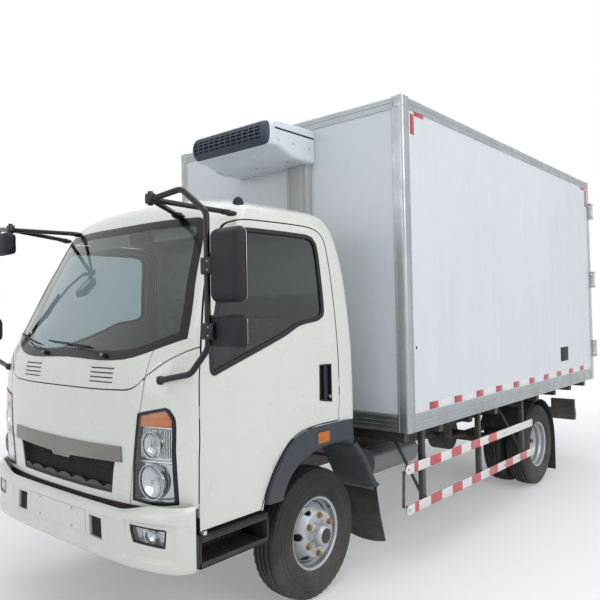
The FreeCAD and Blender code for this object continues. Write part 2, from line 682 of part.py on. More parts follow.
def post(radius, length, start, sign, sides):
    """A straight post along the axle with flat sides."""
    ring = [FreeCAD.Vector(start.x, start.y + radius * math.cos((2 * k + 1) * math.pi / sides),
                           start.z + radius * math.sin((2 * k + 1) * math.pi / sides)) for k in range(sides)]
    return Part.Face(Part.makePolygon(ring + ring[:1])).extrude(FreeCAD.Vector(sign * length, 0, 0))


def hub(x_face, centre, sign, reach):
    """Hub cap and nuts on the nave."""
    base = FreeCAD.Vector(x_face * sign, centre.y, centre.z)
    pieces = [post(d.hub_cap_radius, reach, base, sign, 16)]
    for k in range(6):
        a = math.radians(26 + 60 * k)
        spot = FreeCAD.Vector(base.x, base.y + d.nut_circle * math.cos(a), base.z + d.nut_circle * math.sin(a))
        pieces.append(post(d.nut_radius, d.nut_length, spot, sign, 6))
    return pieces


def drum_ring(face, sign, width, hole):
    """A brake drum as a ring behind the disc."""
    points = [(0, hole), (width, hole), (width, d.drum_radius), (0, d.drum_radius)]
    return turned(points, face, -sign, int(d.rim_sides))


steps_round = int(d.tyre_sides)
for side, sign in (("left", 1), ("right", -1)):
    name = side.capitalize()
    centre = FreeCAD.Vector(sign * d.front_wheel_x, front_axle, d.tyre_radius)
    keep("tyre_front_" + side, feature("TyreFront" + name, turned(tyre_points(), centre, sign, steps_round)))
    face = FreeCAD.Vector(sign * (d.front_wheel_x + d.disc_depth - d.rim_wall / 2), front_axle, d.tyre_radius)
    whole = wheel_disc(centre, sign, d.disc_depth)
    whole = whole.fuse(drum_ring(face, sign, d.front_drum_width, d.spindle_radius + d.seat_gap))
    for piece in hub(d.front_wheel_x + d.disc_depth, centre, sign, d.hub_cap_length):
        whole = whole.fuse(piece)
    keep("rim_front_" + side, feature("RimFront" + name, whole))

    outer = FreeCAD.Vector(sign * d.rear_outer_x, rear_axle, d.tyre_radius)
    inner = FreeCAD.Vector(sign * (d.rear_outer_x - d.twin_spacing), rear_axle, d.tyre_radius)
    pair = [turned(tyre_points(), outer, sign, steps_round), turned(tyre_points(), inner, sign, steps_round)]
    keep("tyres_rear_" + side, feature("TyresRear" + name, Part.makeCompound(pair)))
    nave = d.twin_spacing / 2
    outer_rim = wheel_disc(outer, sign, -nave + d.seat_gap)
    for piece in hub(d.rear_outer_x - nave + d.rim_wall + d.seat_gap, outer, sign, d.hub_cap_length + d.rim_wall):
        outer_rim = outer_rim.fuse(piece)
    drum_face = FreeCAD.Vector(sign * (d.rear_outer_x - nave - d.rim_wall / 2), rear_axle, d.tyre_radius)
    drum = drum_ring(drum_face, sign, d.rear_drum_width, d.axle_tube_radius + d.seat_gap)
    inner_rim = wheel_disc(inner, sign, nave).fuse(drum)
    keep("rims_rear_" + side, feature("RimsRear" + name, Part.makeCompound([outer_rim, inner_rim])))

# insulated box: panels between aluminium edge rails
y_front = "(" + FRONT_AXLE + " + box_front)"
y_rear = "(" + FRONT_AXLE + " + box_front + box_length)"
edge = "(panel_thickness + rail_stand)"
side_in = "(box_width / 2 - panel_thickness - rail_stand)"
y_in = "(" + y_front + " + " + edge + ")"
panel_len = "(box_length - " + edge + " - portal_depth)"
panel_low = "(box_base + base_rail_height)"
panel_high = "(box_top - " + edge + ")"
across = "(2 * " + side_in + ")"
panels = [
    box("PanelLeft", side_in, y_in, panel_low, "panel_thickness", panel_len, panel_high + " - " + panel_low),
    box("PanelRight", "-box_width / 2 + rail_stand", y_in, panel_low, "panel_thickness", panel_len,
        panel_high + " - " + panel_low),
    box("PanelFront", "-" + side_in, y_front + " + rail_stand", panel_low, across, "panel_thickness",
        panel_high + " - " + panel_low),
    box("PanelRoof", "-" + side_in, y_in, panel_high, across, panel_len, "panel_thickness"),
]
keep("box_panels", group("BoxPanels", panels))
keep("box_floor", box("BoxFloor", "-" + side_in, y_in, "box_base", across, panel_len, "floor_thickness"))

edges = []
for side, x in (("Left", side_in), ("Right", "-box_width / 2")):
    edges.append(box("FrontPost" + side, x, y_front, "box_base", edge, edge, "box_top - box_base"))
    edges.append(box("TopRail" + side, x, y_in, panel_high, edge, panel_len, edge))
    edges.append(box("BaseRail" + side, x, y_in, "box_base", edge, panel_len, "base_rail_height"))
edges.append(box("TopRailFront", "-" + side_in, y_front, panel_high, across, edge, edge))
edges.append(box("BaseRailFront", "-" + side_in, y_front, "box_base", across, edge, "base_rail_height"))
keep("box_edge_rails", group("BoxEdgeRails", edges))

portal_y = "(" + y_rear + " - portal_depth)"
portal = [
    box("PortalPostLeft", "box_width / 2 - post_width", portal_y, "box_base", "post_width", "portal_depth",
        "box_top - box_base"),
    box("PortalPostRight", "-box_width / 2", portal_y, "box_base", "post_width", "portal_depth", "box_top - box_base"),
    box("PortalSill", "-box_width / 2 + post_width", portal_y, "box_base", "box_width - 2 * post_width",
        "portal_depth", "floor_thickness"),
    box("PortalLintel", "-box_width / 2 + post_width", portal_y, "box_top - post_width", "box_width - 2 * post_width",
        "portal_depth", "post_width"),
]
hinge_x = "(box_width / 2 + hinge_out)"
hinge_y = "(" + y_rear + " + hinge_back)"
STRAP_SHARES = [0.12, 0.5, 0.88]


def strap_z(share):
    return "(box_base + floor_thickness + leaf_gap + %g * (box_top - box_base - floor_thickness - post_width - 2 * leaf_gap))" % share


for side, s in (("Left", 1), ("Right", -1)):
    for k, share in enumerate(STRAP_SHARES):
        for level, z in (("Top", strap_z(share) + " + hinge_length / 2 + leaf_gap"),
                         ("Low", strap_z(share) + " - hinge_length / 2 - leaf_gap - hinge_radius * 2")):
            x = "box_width / 2" if s > 0 else "-box_width / 2 - hinge_out - hinge_radius"
            portal.append(box("HingeEar%s%s%d" % (level, side, k), x, y_rear + " - post_width / 2", z,
                              "hinge_out + hinge_radius", "post_width / 2 + hinge_back + hinge_radius",
                              "hinge_radius * 2"))
        portal.append(rod("HingePin%s%d" % (side, k), "Z", hinge_x if s > 0 else "-" + hinge_x, hinge_y,
                          strap_z(share) + " - hinge_length / 2 - leaf_gap - hinge_radius", "hinge_pin_radius",
                          "hinge_length + 2 * leaf_gap + 2 * hinge_radius"))
keep("rear_frame", fuse("RearFrame", portal))


def rear_leaf(side):
    s = 1 if side == "left" else -1
    name = "RearLeaf" + side.capitalize()
    z0 = "(box_base + floor_thickness + leaf_gap)"
    height = "(box_top - box_base - floor_thickness - post_width - 2 * leaf_gap)"
    width = "(box_width / 2 - post_width - leaf_gap - leaf_half_gap)"
    x = "leaf_half_gap" if s > 0 else "-leaf_half_gap - " + width
    parts = [box(name + "Panel", x, y_rear + " - leaf_thickness_rear", z0, width, "leaf_thickness_rear", height)]
    for k, share in enumerate(STRAP_SHARES):
        z = strap_z(share) + " - hinge_length / 2"
        reach = "(hinge_out + post_width + leaf_gap + hinge_length)"
        pad_x = hinge_x + " - " + reach if s > 0 else "-" + hinge_x + " + hinge_out + post_width + leaf_gap"
        parts.append(box(name + "StrapFoot%d" % k, pad_x, y_rear, z, "hinge_length", "hinge_back - hinge_radius", "hinge_length"))
        arm_x = hinge_x + " - " + reach if s > 0 else "-" + hinge_x
        parts.append(box(name + "Strap%d" % k, arm_x, y_rear + " + swing_gap", z, reach,
                         "hinge_back - swing_gap", "hinge_length"))
        parts.append(rod(name + "Pin%d" % k, "Z", hinge_x if s > 0 else "-" + hinge_x, hinge_y, z, "hinge_radius",
                         "hinge_length"))
    rod_x = "leaf_half_gap + lock_rod_inset" if s > 0 else "-leaf_half_gap - lock_rod_inset"
    rod_y = y_rear + " + swing_gap + lock_rod_radius"
    parts.append(rod(name + "LockRod", "Z", rod_x, rod_y, z0 + " - post_width / 2", "lock_rod_radius",
                     height + " + post_width"))
    for k, share in enumerate((0.06, 0.35, 0.65, 0.94)):
        parts.append(box(name + "RodGuide%d" % k, rod_x + " - 2 * lock_rod_radius", y_rear,
                         z0 + " + %g * " % share + height + " - lock_rod_radius", "4 * lock_rod_radius",
                         "swing_gap + 2 * lock_rod_radius", "2 * lock_rod_radius"))
    handle_x = rod_x + " - lock_rod_radius" if s > 0 else rod_x + " - lock_rod_inset - lock_rod_radius"
    parts.append(box(name + "Handle", handle_x, y_rear + " + swing_gap + lock_rod_radius", z0 + " + height_of_handle",
                     "lock_rod_inset + 2 * lock_rod_radius",
                     "hardware_depth - swing_gap - lock_rod_radius", "2 * lock_rod_radius"))
    bores = [rod(name + "Bore%d" % k, "Z", hinge_x if s > 0 else "-" + hinge_x, hinge_y,
                 strap_z(share) + " - hinge_length / 2 - overrun", "hinge_pin_radius + seat_gap / 3",
                 "hinge_length + 2 * overrun") for k, share in enumerate(STRAP_SHARES)]
    return cut(name + "Cut", fuse(name + "Solid", parts), fuse(name + "Bores", bores))


keep("rear_door_left", rear_leaf("left"))
keep("rear_door_right", rear_leaf("right"))

# refrigeration unit on the front wall, its pipe duct and the evaporator inside
uy = "(" + y_front + " + rail_stand)"
unit_points = [
    (uy, "unit_top"), (uy + " - unit_depth + unit_round", "unit_top - rail_stand"),
    (uy + " - unit_depth + unit_grille_depth + seat_gap", "unit_top - unit_round / 2"),
    (uy + " - unit_depth + unit_grille_depth + seat_gap", "unit_top - unit_height"),
    (uy + " - unit_depth / 2", "unit_top - unit_height - unit_pan"),
    (uy, "unit_top - unit_height - unit_pan"),
]
unit_shell = pad("UnitShell", "YZ", unit_points, "-unit_half_width", "2 * unit_half_width")
duct = box("Duct", "duct_x - duct_width / 2", uy + " - duct_depth", "duct_base", "duct_width", "duct_depth",
           "unit_top - unit_height - unit_pan - duct_base + overrun")
keep("reefer_unit", fuse("ReeferUnit", [unit_shell, duct]))
gy = "(" + uy + " - unit_depth)"
grille_parts = []
inset = "(unit_half_width - unit_grille_depth / 2)"
grille_parts.append(box("UnitGrilleBack", "-" + inset, gy + " + unit_grille_depth * 0.6",
                        "unit_top - unit_round / 2 - unit_grille_height", "2 * " + inset, "unit_grille_depth * 0.4",
                        "unit_grille_height"))
for k in range(7):
    grille_parts.append(box("UnitSlat%d" % k, "-" + inset, gy,
                            "unit_top - unit_round / 2 - unit_grille_height + %g * (unit_grille_height - rim_wall)" % (k / 6),
                            "2 * " + inset, "unit_grille_depth", "rim_wall"))
keep("reefer_grille", fuse("ReeferGrille", grille_parts))
keep("evaporator", box("Evaporator", "-evaporator_width / 2", y_in, panel_high + " - evaporator_height",
                       "evaporator_width", "evaporator_depth", "evaporator_height"))

# cab: sections across the body give one shell, which is split where the panels meet.
# Each row: height, front, corner start across and back, corner middle across and back,
# side across and back, rear.
CAB_SECTION_SHARES = [
    (-0.0286, 0.0093, 0.8298, 0.052, 0.9255, 0.0893, 0.984, 0.1313, 0.9933),
    (0.0857, 0.004, 0.8404, 0.0453, 0.9362, 0.0827, 0.9915, 0.128, 0.9987),
    (0.2286, 0.0, 0.8511, 0.0387, 0.9447, 0.076, 0.9979, 0.1253, 1.0),
    (0.3886, 0.004, 0.8511, 0.0467, 0.9489, 0.0867, 0.9957, 0.1267, 1.0),
    (0.4743, 0.0227, 0.8574, 0.0707, 0.9404, 0.1033, 0.9915, 0.1433, 0.9987),
    (0.5429, 0.056, 0.9191, 0.1307, 0.9596, 0.1547, 0.9851, 0.1933, 0.9947),
    (0.6286, 0.1033, 0.8787, 0.1733, 0.917, 0.1913, 0.9755, 0.2467, 0.988),
    (0.7143, 0.1507, 0.8362, 0.2133, 0.8787, 0.23, 0.9628, 0.2933, 0.9787),
    (0.8, 0.1967, 0.7957, 0.26, 0.8457, 0.2787, 0.9447, 0.3453, 0.964),
    (0.8743, 0.2373, 0.7596, 0.3, 0.8128, 0.3233, 0.9234, 0.3867, 0.9413),
    (0.9143, 0.2613, 0.7362, 0.324, 0.7894, 0.348, 0.9043, 0.4133, 0.92),
    (0.9486, 0.2893, 0.6915, 0.348, 0.7574, 0.3733, 0.867, 0.4367, 0.8867),
    (0.9714, 0.3213, 0.6064, 0.3733, 0.6809, 0.4, 0.7766, 0.4633, 0.8333),
    (0.9886, 0.3693, 0.4787, 0.4067, 0.5532, 0.432, 0.634, 0.49, 0.7533),
    (1.0, 0.4667, 0.2553, 0.4867, 0.3191, 0.5053, 0.3723, 0.5467, 0.64),
]


def cab_y(share):
    return front_axle - d.cab_front + share * d.cab_length


def cab_z(share):
    return d.cab_base + share * d.cab_height


def cab_x(share):
    return share * d.cab_half_width


def section(row, inset):
    """One closed outline of the cab at a given height, drawn in by an inset."""
    zs, yf, xc, yc, xm, ym, w, ys, yr = row
    drop = min(max((zs - 0.83) / 0.13, 0), 1)
    z = cab_z(zs) - inset * drop

    def at(x, y):
        return FreeCAD.Vector(x, y, z)

    front = cab_y(yf) + inset
    cx, cy = cab_x(xc) - 0.2 * inset, cab_y(yc) + inset
    mx, my = cab_x(xm) - 0.7 * inset, cab_y(ym) + 0.75 * inset
    sx, sy = cab_x(w) - inset, cab_y(ys) + 0.3 * inset
    rear = cab_y(yr) - inset
    round_x = 0.9 * d.cab_wall
    edges = [
        Part.Arc(at(-cx, cy), at(0, front), at(cx, cy)).toShape(),
        Part.Arc(at(cx, cy), at(mx, my), at(sx, sy)).toShape(),
        Part.makeLine(at(sx, sy), at(sx, rear - round_x)),
        Part.makeLine(at(sx, rear - round_x), at(sx - round_x, rear)),
        Part.makeLine(at(sx - round_x, rear), at(-sx + round_x, rear)),
        Part.makeLine(at(-sx + round_x, rear), at(-sx, rear - round_x)),
        Part.makeLine(at(-sx, rear - round_x), at(-sx, sy)),
        Part.Arc(at(-sx, sy), at(-mx, my), at(-cx, cy)).toShape(),
    ]
    return Part.Wire(edges)


def cab_solid(inset, low):
    rows = list(CAB_SECTION_SHARES)
    wires = [section(row, inset) for row in rows]
    if low > 0:
        first = wires[0].copy()
        first.translate(FreeCAD.Vector(0, 0, -low))
        wires = [first] + wires
    return Part.makeLoft(wires, True, True)


DOOR_SHARES = [
    (0.13, 0), (0.1293, 0.2), (0.1307, 0.3886), (0.136, 0.4571), (0.156, 0.5371), (0.1867, 0.6171),
    (0.222, 0.7), (0.26, 0.7714), (0.2967, 0.8286), (0.3233, 0.8657), (0.3467, 0.8886),
    (0.3867, 0.8994), (0.48, 0.904), (0.74, 0.9063), (0.8067, 0.8983), (0.8433, 0.88),
    (0.862, 0.8457), (0.8747, 0.7143), (0.8867, 0.52), (0.8893, 0.3714), (0.8867, 0.2206),
    (0.6967, 0.2171), (0.5867, 0.192), (0.5067, 0.1286), (0.46, 0.0686), (0.4187, 0),
]
WINDOW_SHARES = [
    (0.1827, 0.4514), (0.184, 0.5029), (0.1947, 0.5543), (0.2227, 0.6171), (0.2573, 0.7),
    (0.2947, 0.7714), (0.3313, 0.8286), (0.3533, 0.8543), (0.38, 0.8674), (0.4133, 0.872),
    (0.74, 0.8731), (0.7787, 0.8651), (0.7987, 0.84), (0.804, 0.7314), (0.8067, 0.6114),
    (0.8, 0.5943), (0.7667, 0.5794), (0.6533, 0.564), (0.56, 0.5314), (0.2, 0.4309),
]
WINDSCREEN_SHARES = [
    (-0.5532, 0.4766), (0.5532, 0.4766), (0.9191, 0.5371), (0.884, 0.6171), (0.8436, 0.6971),
    (0.8, 0.7886), (0.7596, 0.8743), (0.7383, 0.9006), (0.6809, 0.912), (-0.6809, 0.912),
    (-0.7383, 0.9006), (-0.7596, 0.8743), (-0.8, 0.7886), (-0.8436, 0.6971), (-0.884, 0.6171),
    (-0.9191, 0.5371),
]
LAMP_SHARES = [
    (0.6564, 0.0811), (0.9298, 0.0811), (0.9298, 0.3143), (0.9043, 0.344), (0.883, 0.3497),
    (0.7064, 0.3303),
]
GRILLE_SHARES = [
    (-0.4926, 0.0891), (0.4926, 0.0891), (0.5319, 0.1846), (0.5872, 0.1909), (0.5872, 0.2291),
    (-0.5872, 0.2291), (-0.5872, 0.1909), (-0.5319, 0.1846),
]
GRILLE_SLOT_SHARES = [0.1, 0.121, 0.142, 0.163]
GRILLE_SPAN_SHARES = [(-0.46, -0.05), (0.05, 0.46)]
GRILLE_SLOT_HEIGHT = 0.0126
PULL_SHARES = [(0.7533, 0.304), (0.8387, 0.2914), (0.8387, 0.4257), (0.7587, 0.4257)]
PULL_BAR_SHARES = [(0.788, 0.284), (0.81, 0.284), (0.81, 0.432), (0.788, 0.432)]
FLARE_OUTER_SHARES = [
    (0.96, 0.2171), (0.8773, 0.2171), (0.6953, 0.2137), (0.5887, 0.1886), (0.51, 0.1257),
    (0.464, 0.0669), (0.44, 0.0171),
]
FLARE_INNER_SHARES = [
    (0.52, 0.0171), (0.54, 0.0543), (0.5867, 0.0971), (0.6667, 0.1297), (0.7933, 0.1491),
    (0.9133, 0.1463), (0.96, 0.1269),
]
ARCH_CUT_SHARES = [
    (0.6953, 0.2171), (1.04, 0.2171), (1.04, -0.0514), (0.3867, -0.0514), (0.4187, 0),
    (0.46, 0.0686), (0.5067, 0.1286), (0.5867, 0.192),
]


def grown(points, gap):
    """Offset a closed outline outwards by a gap."""
    wire = Part.makePolygon([FreeCAD.Vector(a, b, 0) for a, b in points + points[:1]])
    if gap:
        wire = wire.makeOffset2D(gap, 2)
    return wire


def side_prism(shares, x0, x1, gap=0):
    """An outline in side view, run across from x0 to x1."""
    wire = grown([(cab_y(a), cab_z(b)) for a, b in shares], gap)
    face = Part.Face(wire)
    face.rotate(FreeCAD.Vector(0, 0, 0), FreeCAD.Vector(1, 1, 1), 120)
    face.translate(FreeCAD.Vector(x0, 0, 0))
    return face.extrude(FreeCAD.Vector(x1 - x0, 0, 0))


def front_prism(shares, y0, y1, gap=0):
    """An outline in front view, run rearwards from y0 to y1."""
    wire = grown([(cab_x(a), cab_z(b)) for a, b in shares], gap)
    face = Part.Face(wire)
    face.rotate(FreeCAD.Vector(0, 0, 0), FreeCAD.Vector(1, 0, 0), 90)
    face.translate(FreeCAD.Vector(0, y0, 0))
    return face.extrude(FreeCAD.Vector(0, y1 - y0, 0))


def block(x0, x1, y0, y1, z0, z1):
    return Part.makeBox(x1 - x0, y1 - y0, z1 - z0, FreeCAD.Vector(x0, y0, z0))


def flipped(shape):
    return shape.mirror(FreeCAD.Vector(0, 0, 0), FreeCAD.Vector(1, 0, 0))


wide = 2 * d.cab_half_width
half_in = 0.55 * d.cab_half_width
ahead = front_axle - wide
outer = cab_solid(0, 0)
inner = cab_solid(d.cab_wall, 2 * d.overrun)
shell = outer.cut(inner)
glass_zone = cab_solid(d.glass_inset, 0).cut(cab_solid(d.glass_inset + d.glass_thickness, 2 * d.overrun))

door_left = side_prism(DOOR_SHARES, half_in, wide)
door_hole_left = side_prism(DOOR_SHARES, half_in, wide, d.swing_gap)
waist = cab_z(0.25)
run_out = door_hole_left.translated(FreeCAD.Vector(0, d.door_run_out, 0)).common(
    block(half_in, wide, ahead, wide, waist, wide * 2))
rebate = side_prism(DOOR_SHARES, half_in, wide, d.swing_gap + d.door_rebate).common(
    cab_solid(d.door_rebate_depth, 0))
door_hole_left = door_hole_left.fuse(run_out).fuse(rebate)
door_holes = door_hole_left.fuse(flipped(door_hole_left))
door_swing = side_prism(DOOR_SHARES, half_in, wide, 2 * d.swing_gap)
door_room = door_swing.cut(cab_solid(d.cab_wall + d.door_clearance, 0))
door_rooms = door_room.fuse(flipped(door_room))
window_left = side_prism(WINDOW_SHARES, half_in, wide)
window_glass = side_prism(WINDOW_SHARES, half_in, wide, -d.seat_gap)
windscreen_y = cab_y(0.42)
windscreen_hole = front_prism(WINDSCREEN_SHARES, ahead, windscreen_y)
windscreen_fit = front_prism(WINDSCREEN_SHARES, ahead, windscreen_y, -d.seat_gap)
lamp_hole = front_prism(LAMP_SHARES, ahead, cab_y(0.3))
lamp_fit = front_prism(LAMP_SHARES, ahead, cab_y(0.3), -d.seat_gap)
grille_hole = front_prism(GRILLE_SHARES, ahead, cab_y(0.3))
grille_fit = front_prism(GRILLE_SHARES, ahead, cab_y(0.3), -d.seat_gap)
arch = side_prism(ARCH_CUT_SHARES, -wide, wide)

split_low = cab_z(0.0663)
split_roof = cab_z(0.912)
split_door = cab_y(0.36)
below_front = block(-wide, wide, ahead, front_axle - d.cab_front + d.cab_wall * 3, -wide, split_low)

below_cab = block(-wide, wide, ahead, wide, -wide, d.cab_base)
body = shell.cut(door_holes).cut(windscreen_hole).cut(arch).cut(below_front).cut(below_cab)
roof = body.common(block(-wide, wide, ahead, wide, split_roof, 2 * wide))
lower = body.common(block(-wide, wide, ahead, wide, -wide, split_roof))
front = lower.common(block(-wide, wide, ahead, split_door, -wide, wide * 2))
front = front.cut(lamp_hole).cut(flipped(lamp_hole)).cut(grille_hole)
back = lower.common(block(-wide, wide, split_door, wide, -wide, wide * 2))


def big_solids(shape, least=0.02):
    """Leave out slivers that a split may give."""
    solids = sorted(shape.Solids, key=lambda s: -s.Volume)
    chosen = [s for s in solids if s.Volume > least * solids[0].Volume]
    return chosen[0] if len(chosen) == 1 else Part.makeCompound(chosen)


keep("cab_roof", feature("CabRoof", big_solids(roof)))
keep("cab_front_panel", feature("CabFrontPanel", big_solids(front)))
keep("cab_back_wall", feature("CabBackWall", big_solids(back)))
keep("windscreen", feature("Windscreen", big_solids(glass_zone.common(windscreen_fit))))
lamp = big_solids(shell.common(lamp_fit))
keep("headlamps", feature("Headlamps", Part.makeCompound([lamp, flipped(lamp)])))
grille_solid = cab_solid(d.cab_wall / 4, 0).cut(cab_solid(d.cab_wall / 2, d.overrun)).common(grille_fit)
for low in GRILLE_SLOT_SHARES:
    for span_from, span_to in GRILLE_SPAN_SHARES:
        high = low + GRILLE_SLOT_HEIGHT
        ring = [(span_from, low), (span_to, low), (span_to, high), (span_from, high)]
        grille_solid = grille_solid.cut(front_prism(ring, ahead, cab_y(0.3)))
keep("grille", feature("Grille", big_solids(grille_solid)))

door_shell = outer.cut(cab_solid(d.cab_wall, 2 * d.overrun)).common(door_left)
pull_depth = d.cab_wall * 0.4
pocket = side_prism(PULL_SHARES, half_in, wide).cut(cab_solid(pull_depth, 0))
pull_bar = side_prism(PULL_BAR_SHARES, half_in, wide).common(outer).cut(cab_solid(pull_depth / 2, 0))
door = big_solids(door_shell.cut(window_left).cut(pocket).fuse(pull_bar))
glass = big_solids(glass_zone.common(window_glass))
keep("cab_door_left", feature("CabDoorLeft", door))
keep("cab_door_right", feature("CabDoorRight", flipped(door)))
keep("door_window_left", feature("DoorWindowLeft", glass))
keep("door_window_right", feature("DoorWindowRight", flipped(glass)))

# floor: footwell, riser and seat platform inside the walls
fit = cab_solid(d.cab_wall + d.seat_gap, 0)
plate = d.floor_plate
foot = d.cab_base + d.footwell_height
platform = d.cab_base + d.platform_height
riser = front_axle - d.platform_front
inside = d.cab_half_width - d.cab_wall - 2 * d.swing_gap
floor = block(-inside, inside, ahead, riser + plate, foot, foot + plate)
floor = floor.fuse(block(-inside, inside, riser, riser + plate, foot, platform + plate))
floor = floor.fuse(block(-inside, inside, riser, wide, platform, platform + plate))
floor = floor.common(fit).cut(door_rooms).removeSplitter()
pin_y = front_axle - d.tilt_pin_y
for s in (1, -1):
    start = FreeCAD.Vector(s * d.rail_x - d.tilt_lug / 2, pin_y, d.tilt_pin_z)
    lug = Part.makeCylinder(d.tilt_lug_radius, d.tilt_lug, start, FreeCAD.Vector(1, 0, 0))
    neck = block(start.x, start.x + d.tilt_lug, pin_y - d.tilt_lug_radius, pin_y + d.tilt_lug_radius, d.tilt_pin_z,
                 foot + plate / 2)
    eye = Part.makeCylinder(d.tilt_pin_radius + d.seat_gap / 3, d.tilt_lug, start, FreeCAD.Vector(1, 0, 0))
    floor = floor.fuse(lug.fuse(neck).cut(eye))
keep("cab_floor", feature("CabFloor", big_solids(floor)))

# cab mounts on the frame: tilt brackets with their pins, and rests behind the engine
mounts = []
for s in (1, -1):
    gap = d.tilt_lug / 2 + d.swing_gap
    pin_from = FreeCAD.Vector(s * d.rail_x - gap - d.tilt_cheek, pin_y, d.tilt_pin_z)
    bracket = Part.makeCylinder(d.tilt_pin_radius, 2 * (gap + d.tilt_cheek), pin_from, FreeCAD.Vector(1, 0, 0))
    for x in (pin_from.x, s * d.rail_x + gap):
        cheek = block(x, x + d.tilt_cheek, pin_y, pin_y + d.tilt_bracket_length, d.rail_top, d.tilt_pin_z + d.tilt_pin_radius)
        head = Part.makeCylinder(d.tilt_pin_radius * 1.5, d.tilt_cheek, FreeCAD.Vector(x, pin_y, d.tilt_pin_z),
                                 FreeCAD.Vector(1, 0, 0))
        bracket = bracket.fuse(cheek).fuse(head)
    base_y = front_axle - d.rail_front
    foot_plate = block(pin_from.x, pin_from.x + 2 * (gap + d.tilt_cheek), base_y, pin_y + d.tilt_bracket_length,
                       d.rail_top, d.rail_top + d.rail_wall)
    mounts.append(bracket.fuse(foot_plate))
    rest_y = front_axle + d.cab_rest_y
    mounts.append(block(s * d.rail_x - d.rail_flange / 2, s * d.rail_x + d.rail_flange / 2, rest_y,
                        rest_y + d.cab_rest_length, d.rail_top, platform))
keep("cab_mounts", feature("CabMounts", Part.makeCompound(mounts)))

# dashboard across the cab under the windscreen
dash = block(-inside, inside, ahead, cab_y(0.3), d.dash_top - d.dash_height, d.dash_top)
keep("dashboard", feature("Dashboard", big_solids(dash.common(fit).cut(door_rooms))))

# seats
seat_y = cab_y(0.5)
seats = []
for x, width in ((d.seat_x, d.seat_width), (d.seat_x - d.seat_width / 2 - d.overrun - d.bench_width / 2, d.bench_width)):
    base = platform + plate + d.seat_gap
    cushion = block(x - width / 2, x + width / 2, seat_y, seat_y + d.seat_depth, base, base + d.seat_cushion)
    rest = block(x - width / 2, x + width / 2, seat_y + d.seat_depth - d.seat_back_thickness, seat_y + d.seat_depth,
                 base, base + d.seat_cushion + d.seat_back_height)
    seats.append(cushion.fuse(rest).removeSplitter())
keep("seats", feature("Seats", Part.makeCompound(seats)))

# steering wheel with its column
tilt = math.radians(d.steering_tilt)
wheel_z = d.dash_top + d.steering_rim_radius
wheel_y = cab_y(0.34)
axis = FreeCAD.Vector(0, math.cos(tilt), math.sin(tilt))
middle = FreeCAD.Vector(d.seat_x, wheel_y, wheel_z)
rim_ring = [(d.steering_rim_radius * math.sin(math.radians(60 * k)),
             d.steering_wheel_radius + d.steering_rim_radius * math.cos(math.radians(60 * k))) for k in range(6)]
steering = turned(rim_ring, FreeCAD.Vector(0, 0, 0), 1, 28, False)
start = FreeCAD.Vector(0, 0, 0)
steering = steering.fuse(post(d.steering_rim_radius * 3, d.steering_rim_radius * 2, start, -1, 16))
for k in range(3):
    a = math.radians(30 + 120 * k)
    reach = FreeCAD.Vector(0, d.steering_wheel_radius * math.cos(a), d.steering_wheel_radius * math.sin(a))
    steering = steering.fuse(tube([start, reach], d.steering_rim_radius * 0.7, 6))
steering = steering.fuse(post(d.steering_rim_radius * 1.6, d.dash_depth, start, -1, 12))
steering.Placement = FreeCAD.Placement(middle, FreeCAD.Rotation(FreeCAD.Vector(1, 0, 0), axis))
steering = steering.cut(NODES["dashboard"].Shape).cut(cab_solid(0, 0).cut(fit))
keep("steering_wheel", feature("SteeringWheel", big_solids(steering)))

# wheel arch flares
outer_line = [(cab_y(a), cab_z(b)) for a, b in FLARE_OUTER_SHARES]
inner_line = [(cab_y(a), cab_z(b)) for a, b in FLARE_INNER_SHARES]


def flare(x0, x1):
    points = outer_line + inner_line
    wire = grown(points, 0)
    face = Part.Face(wire)
    face.rotate(FreeCAD.Vector(0, 0, 0), FreeCAD.Vector(1, 1, 1), 120)
    face.translate(FreeCAD.Vector(x0, 0, 0))
    return face.extrude(FreeCAD.Vector(x1 - x0, 0, 0))


flare_left = flare(d.cab_half_width - d.cab_wall, d.cab_half_width + d.rail_wall * 3)
liner_points = [FreeCAD.Vector(d.arch_liner_inner, a, b) for a, b in inner_line]
liner_up = [FreeCAD.Vector(d.arch_liner_inner, a, b + d.arch_liner_wall) for a, b in inner_line]
liner = Part.Face(Part.makePolygon(liner_points + liner_up[::-1] + liner_points[:1])).extrude(
    FreeCAD.Vector(d.cab_half_width - d.cab_wall - d.arch_liner_inner, 0, 0))
flare_left = big_solids(flare_left.fuse(liner).cut(door_swing.cut(inner)))
keep("wheel_flares", feature("WheelFlares", Part.makeCompound([flare_left, flipped(flare_left)])))

# mirrors on tube arms at the cab's front corners
ARM_SHARES = [
    (0.5638, 0.28, 0.9200), (0.798, 0.0433, 0.9314), (1.018, 0.06, 0.9463), (1.181, 0.0733, 0.8743),
    (1.181, 0.0733, 0.5143), (1.0713, 0.06, 0.4457), (0.84, 0.0467, 0.4229),
]


arm_points = [FreeCAD.Vector(cab_x(a), cab_y(b), cab_z(c)) for a, b, c in ARM_SHARES]
STAY_SHARES = [
    [(0.7979, 0.0433, 0.9314), (0.5638, 0.28, 0.92)],
    [(0.7979, 0.0433, 0.9314), (0.9043, 0.3467, 0.9143)],
]


def mirror_head(x, y, z, width, height):
    """A mirror housing with drawn-in corners."""
    corner = d.mirror_depth / 4
    half = width / 2
    top = height / 2
    ring = [
        (-half + corner, -top), (half - corner, -top), (half, -top + corner), (half, top - corner),
        (half - corner, top), (-half + corner, top), (-half, top - corner), (-half, -top + corner),
    ]
    wire = Part.makePolygon([FreeCAD.Vector(x + a, y - d.mirror_depth / 2, z + b) for a, b in ring + ring[:1]])
    return Part.Face(wire).extrude(FreeCAD.Vector(0, d.mirror_depth, 0))


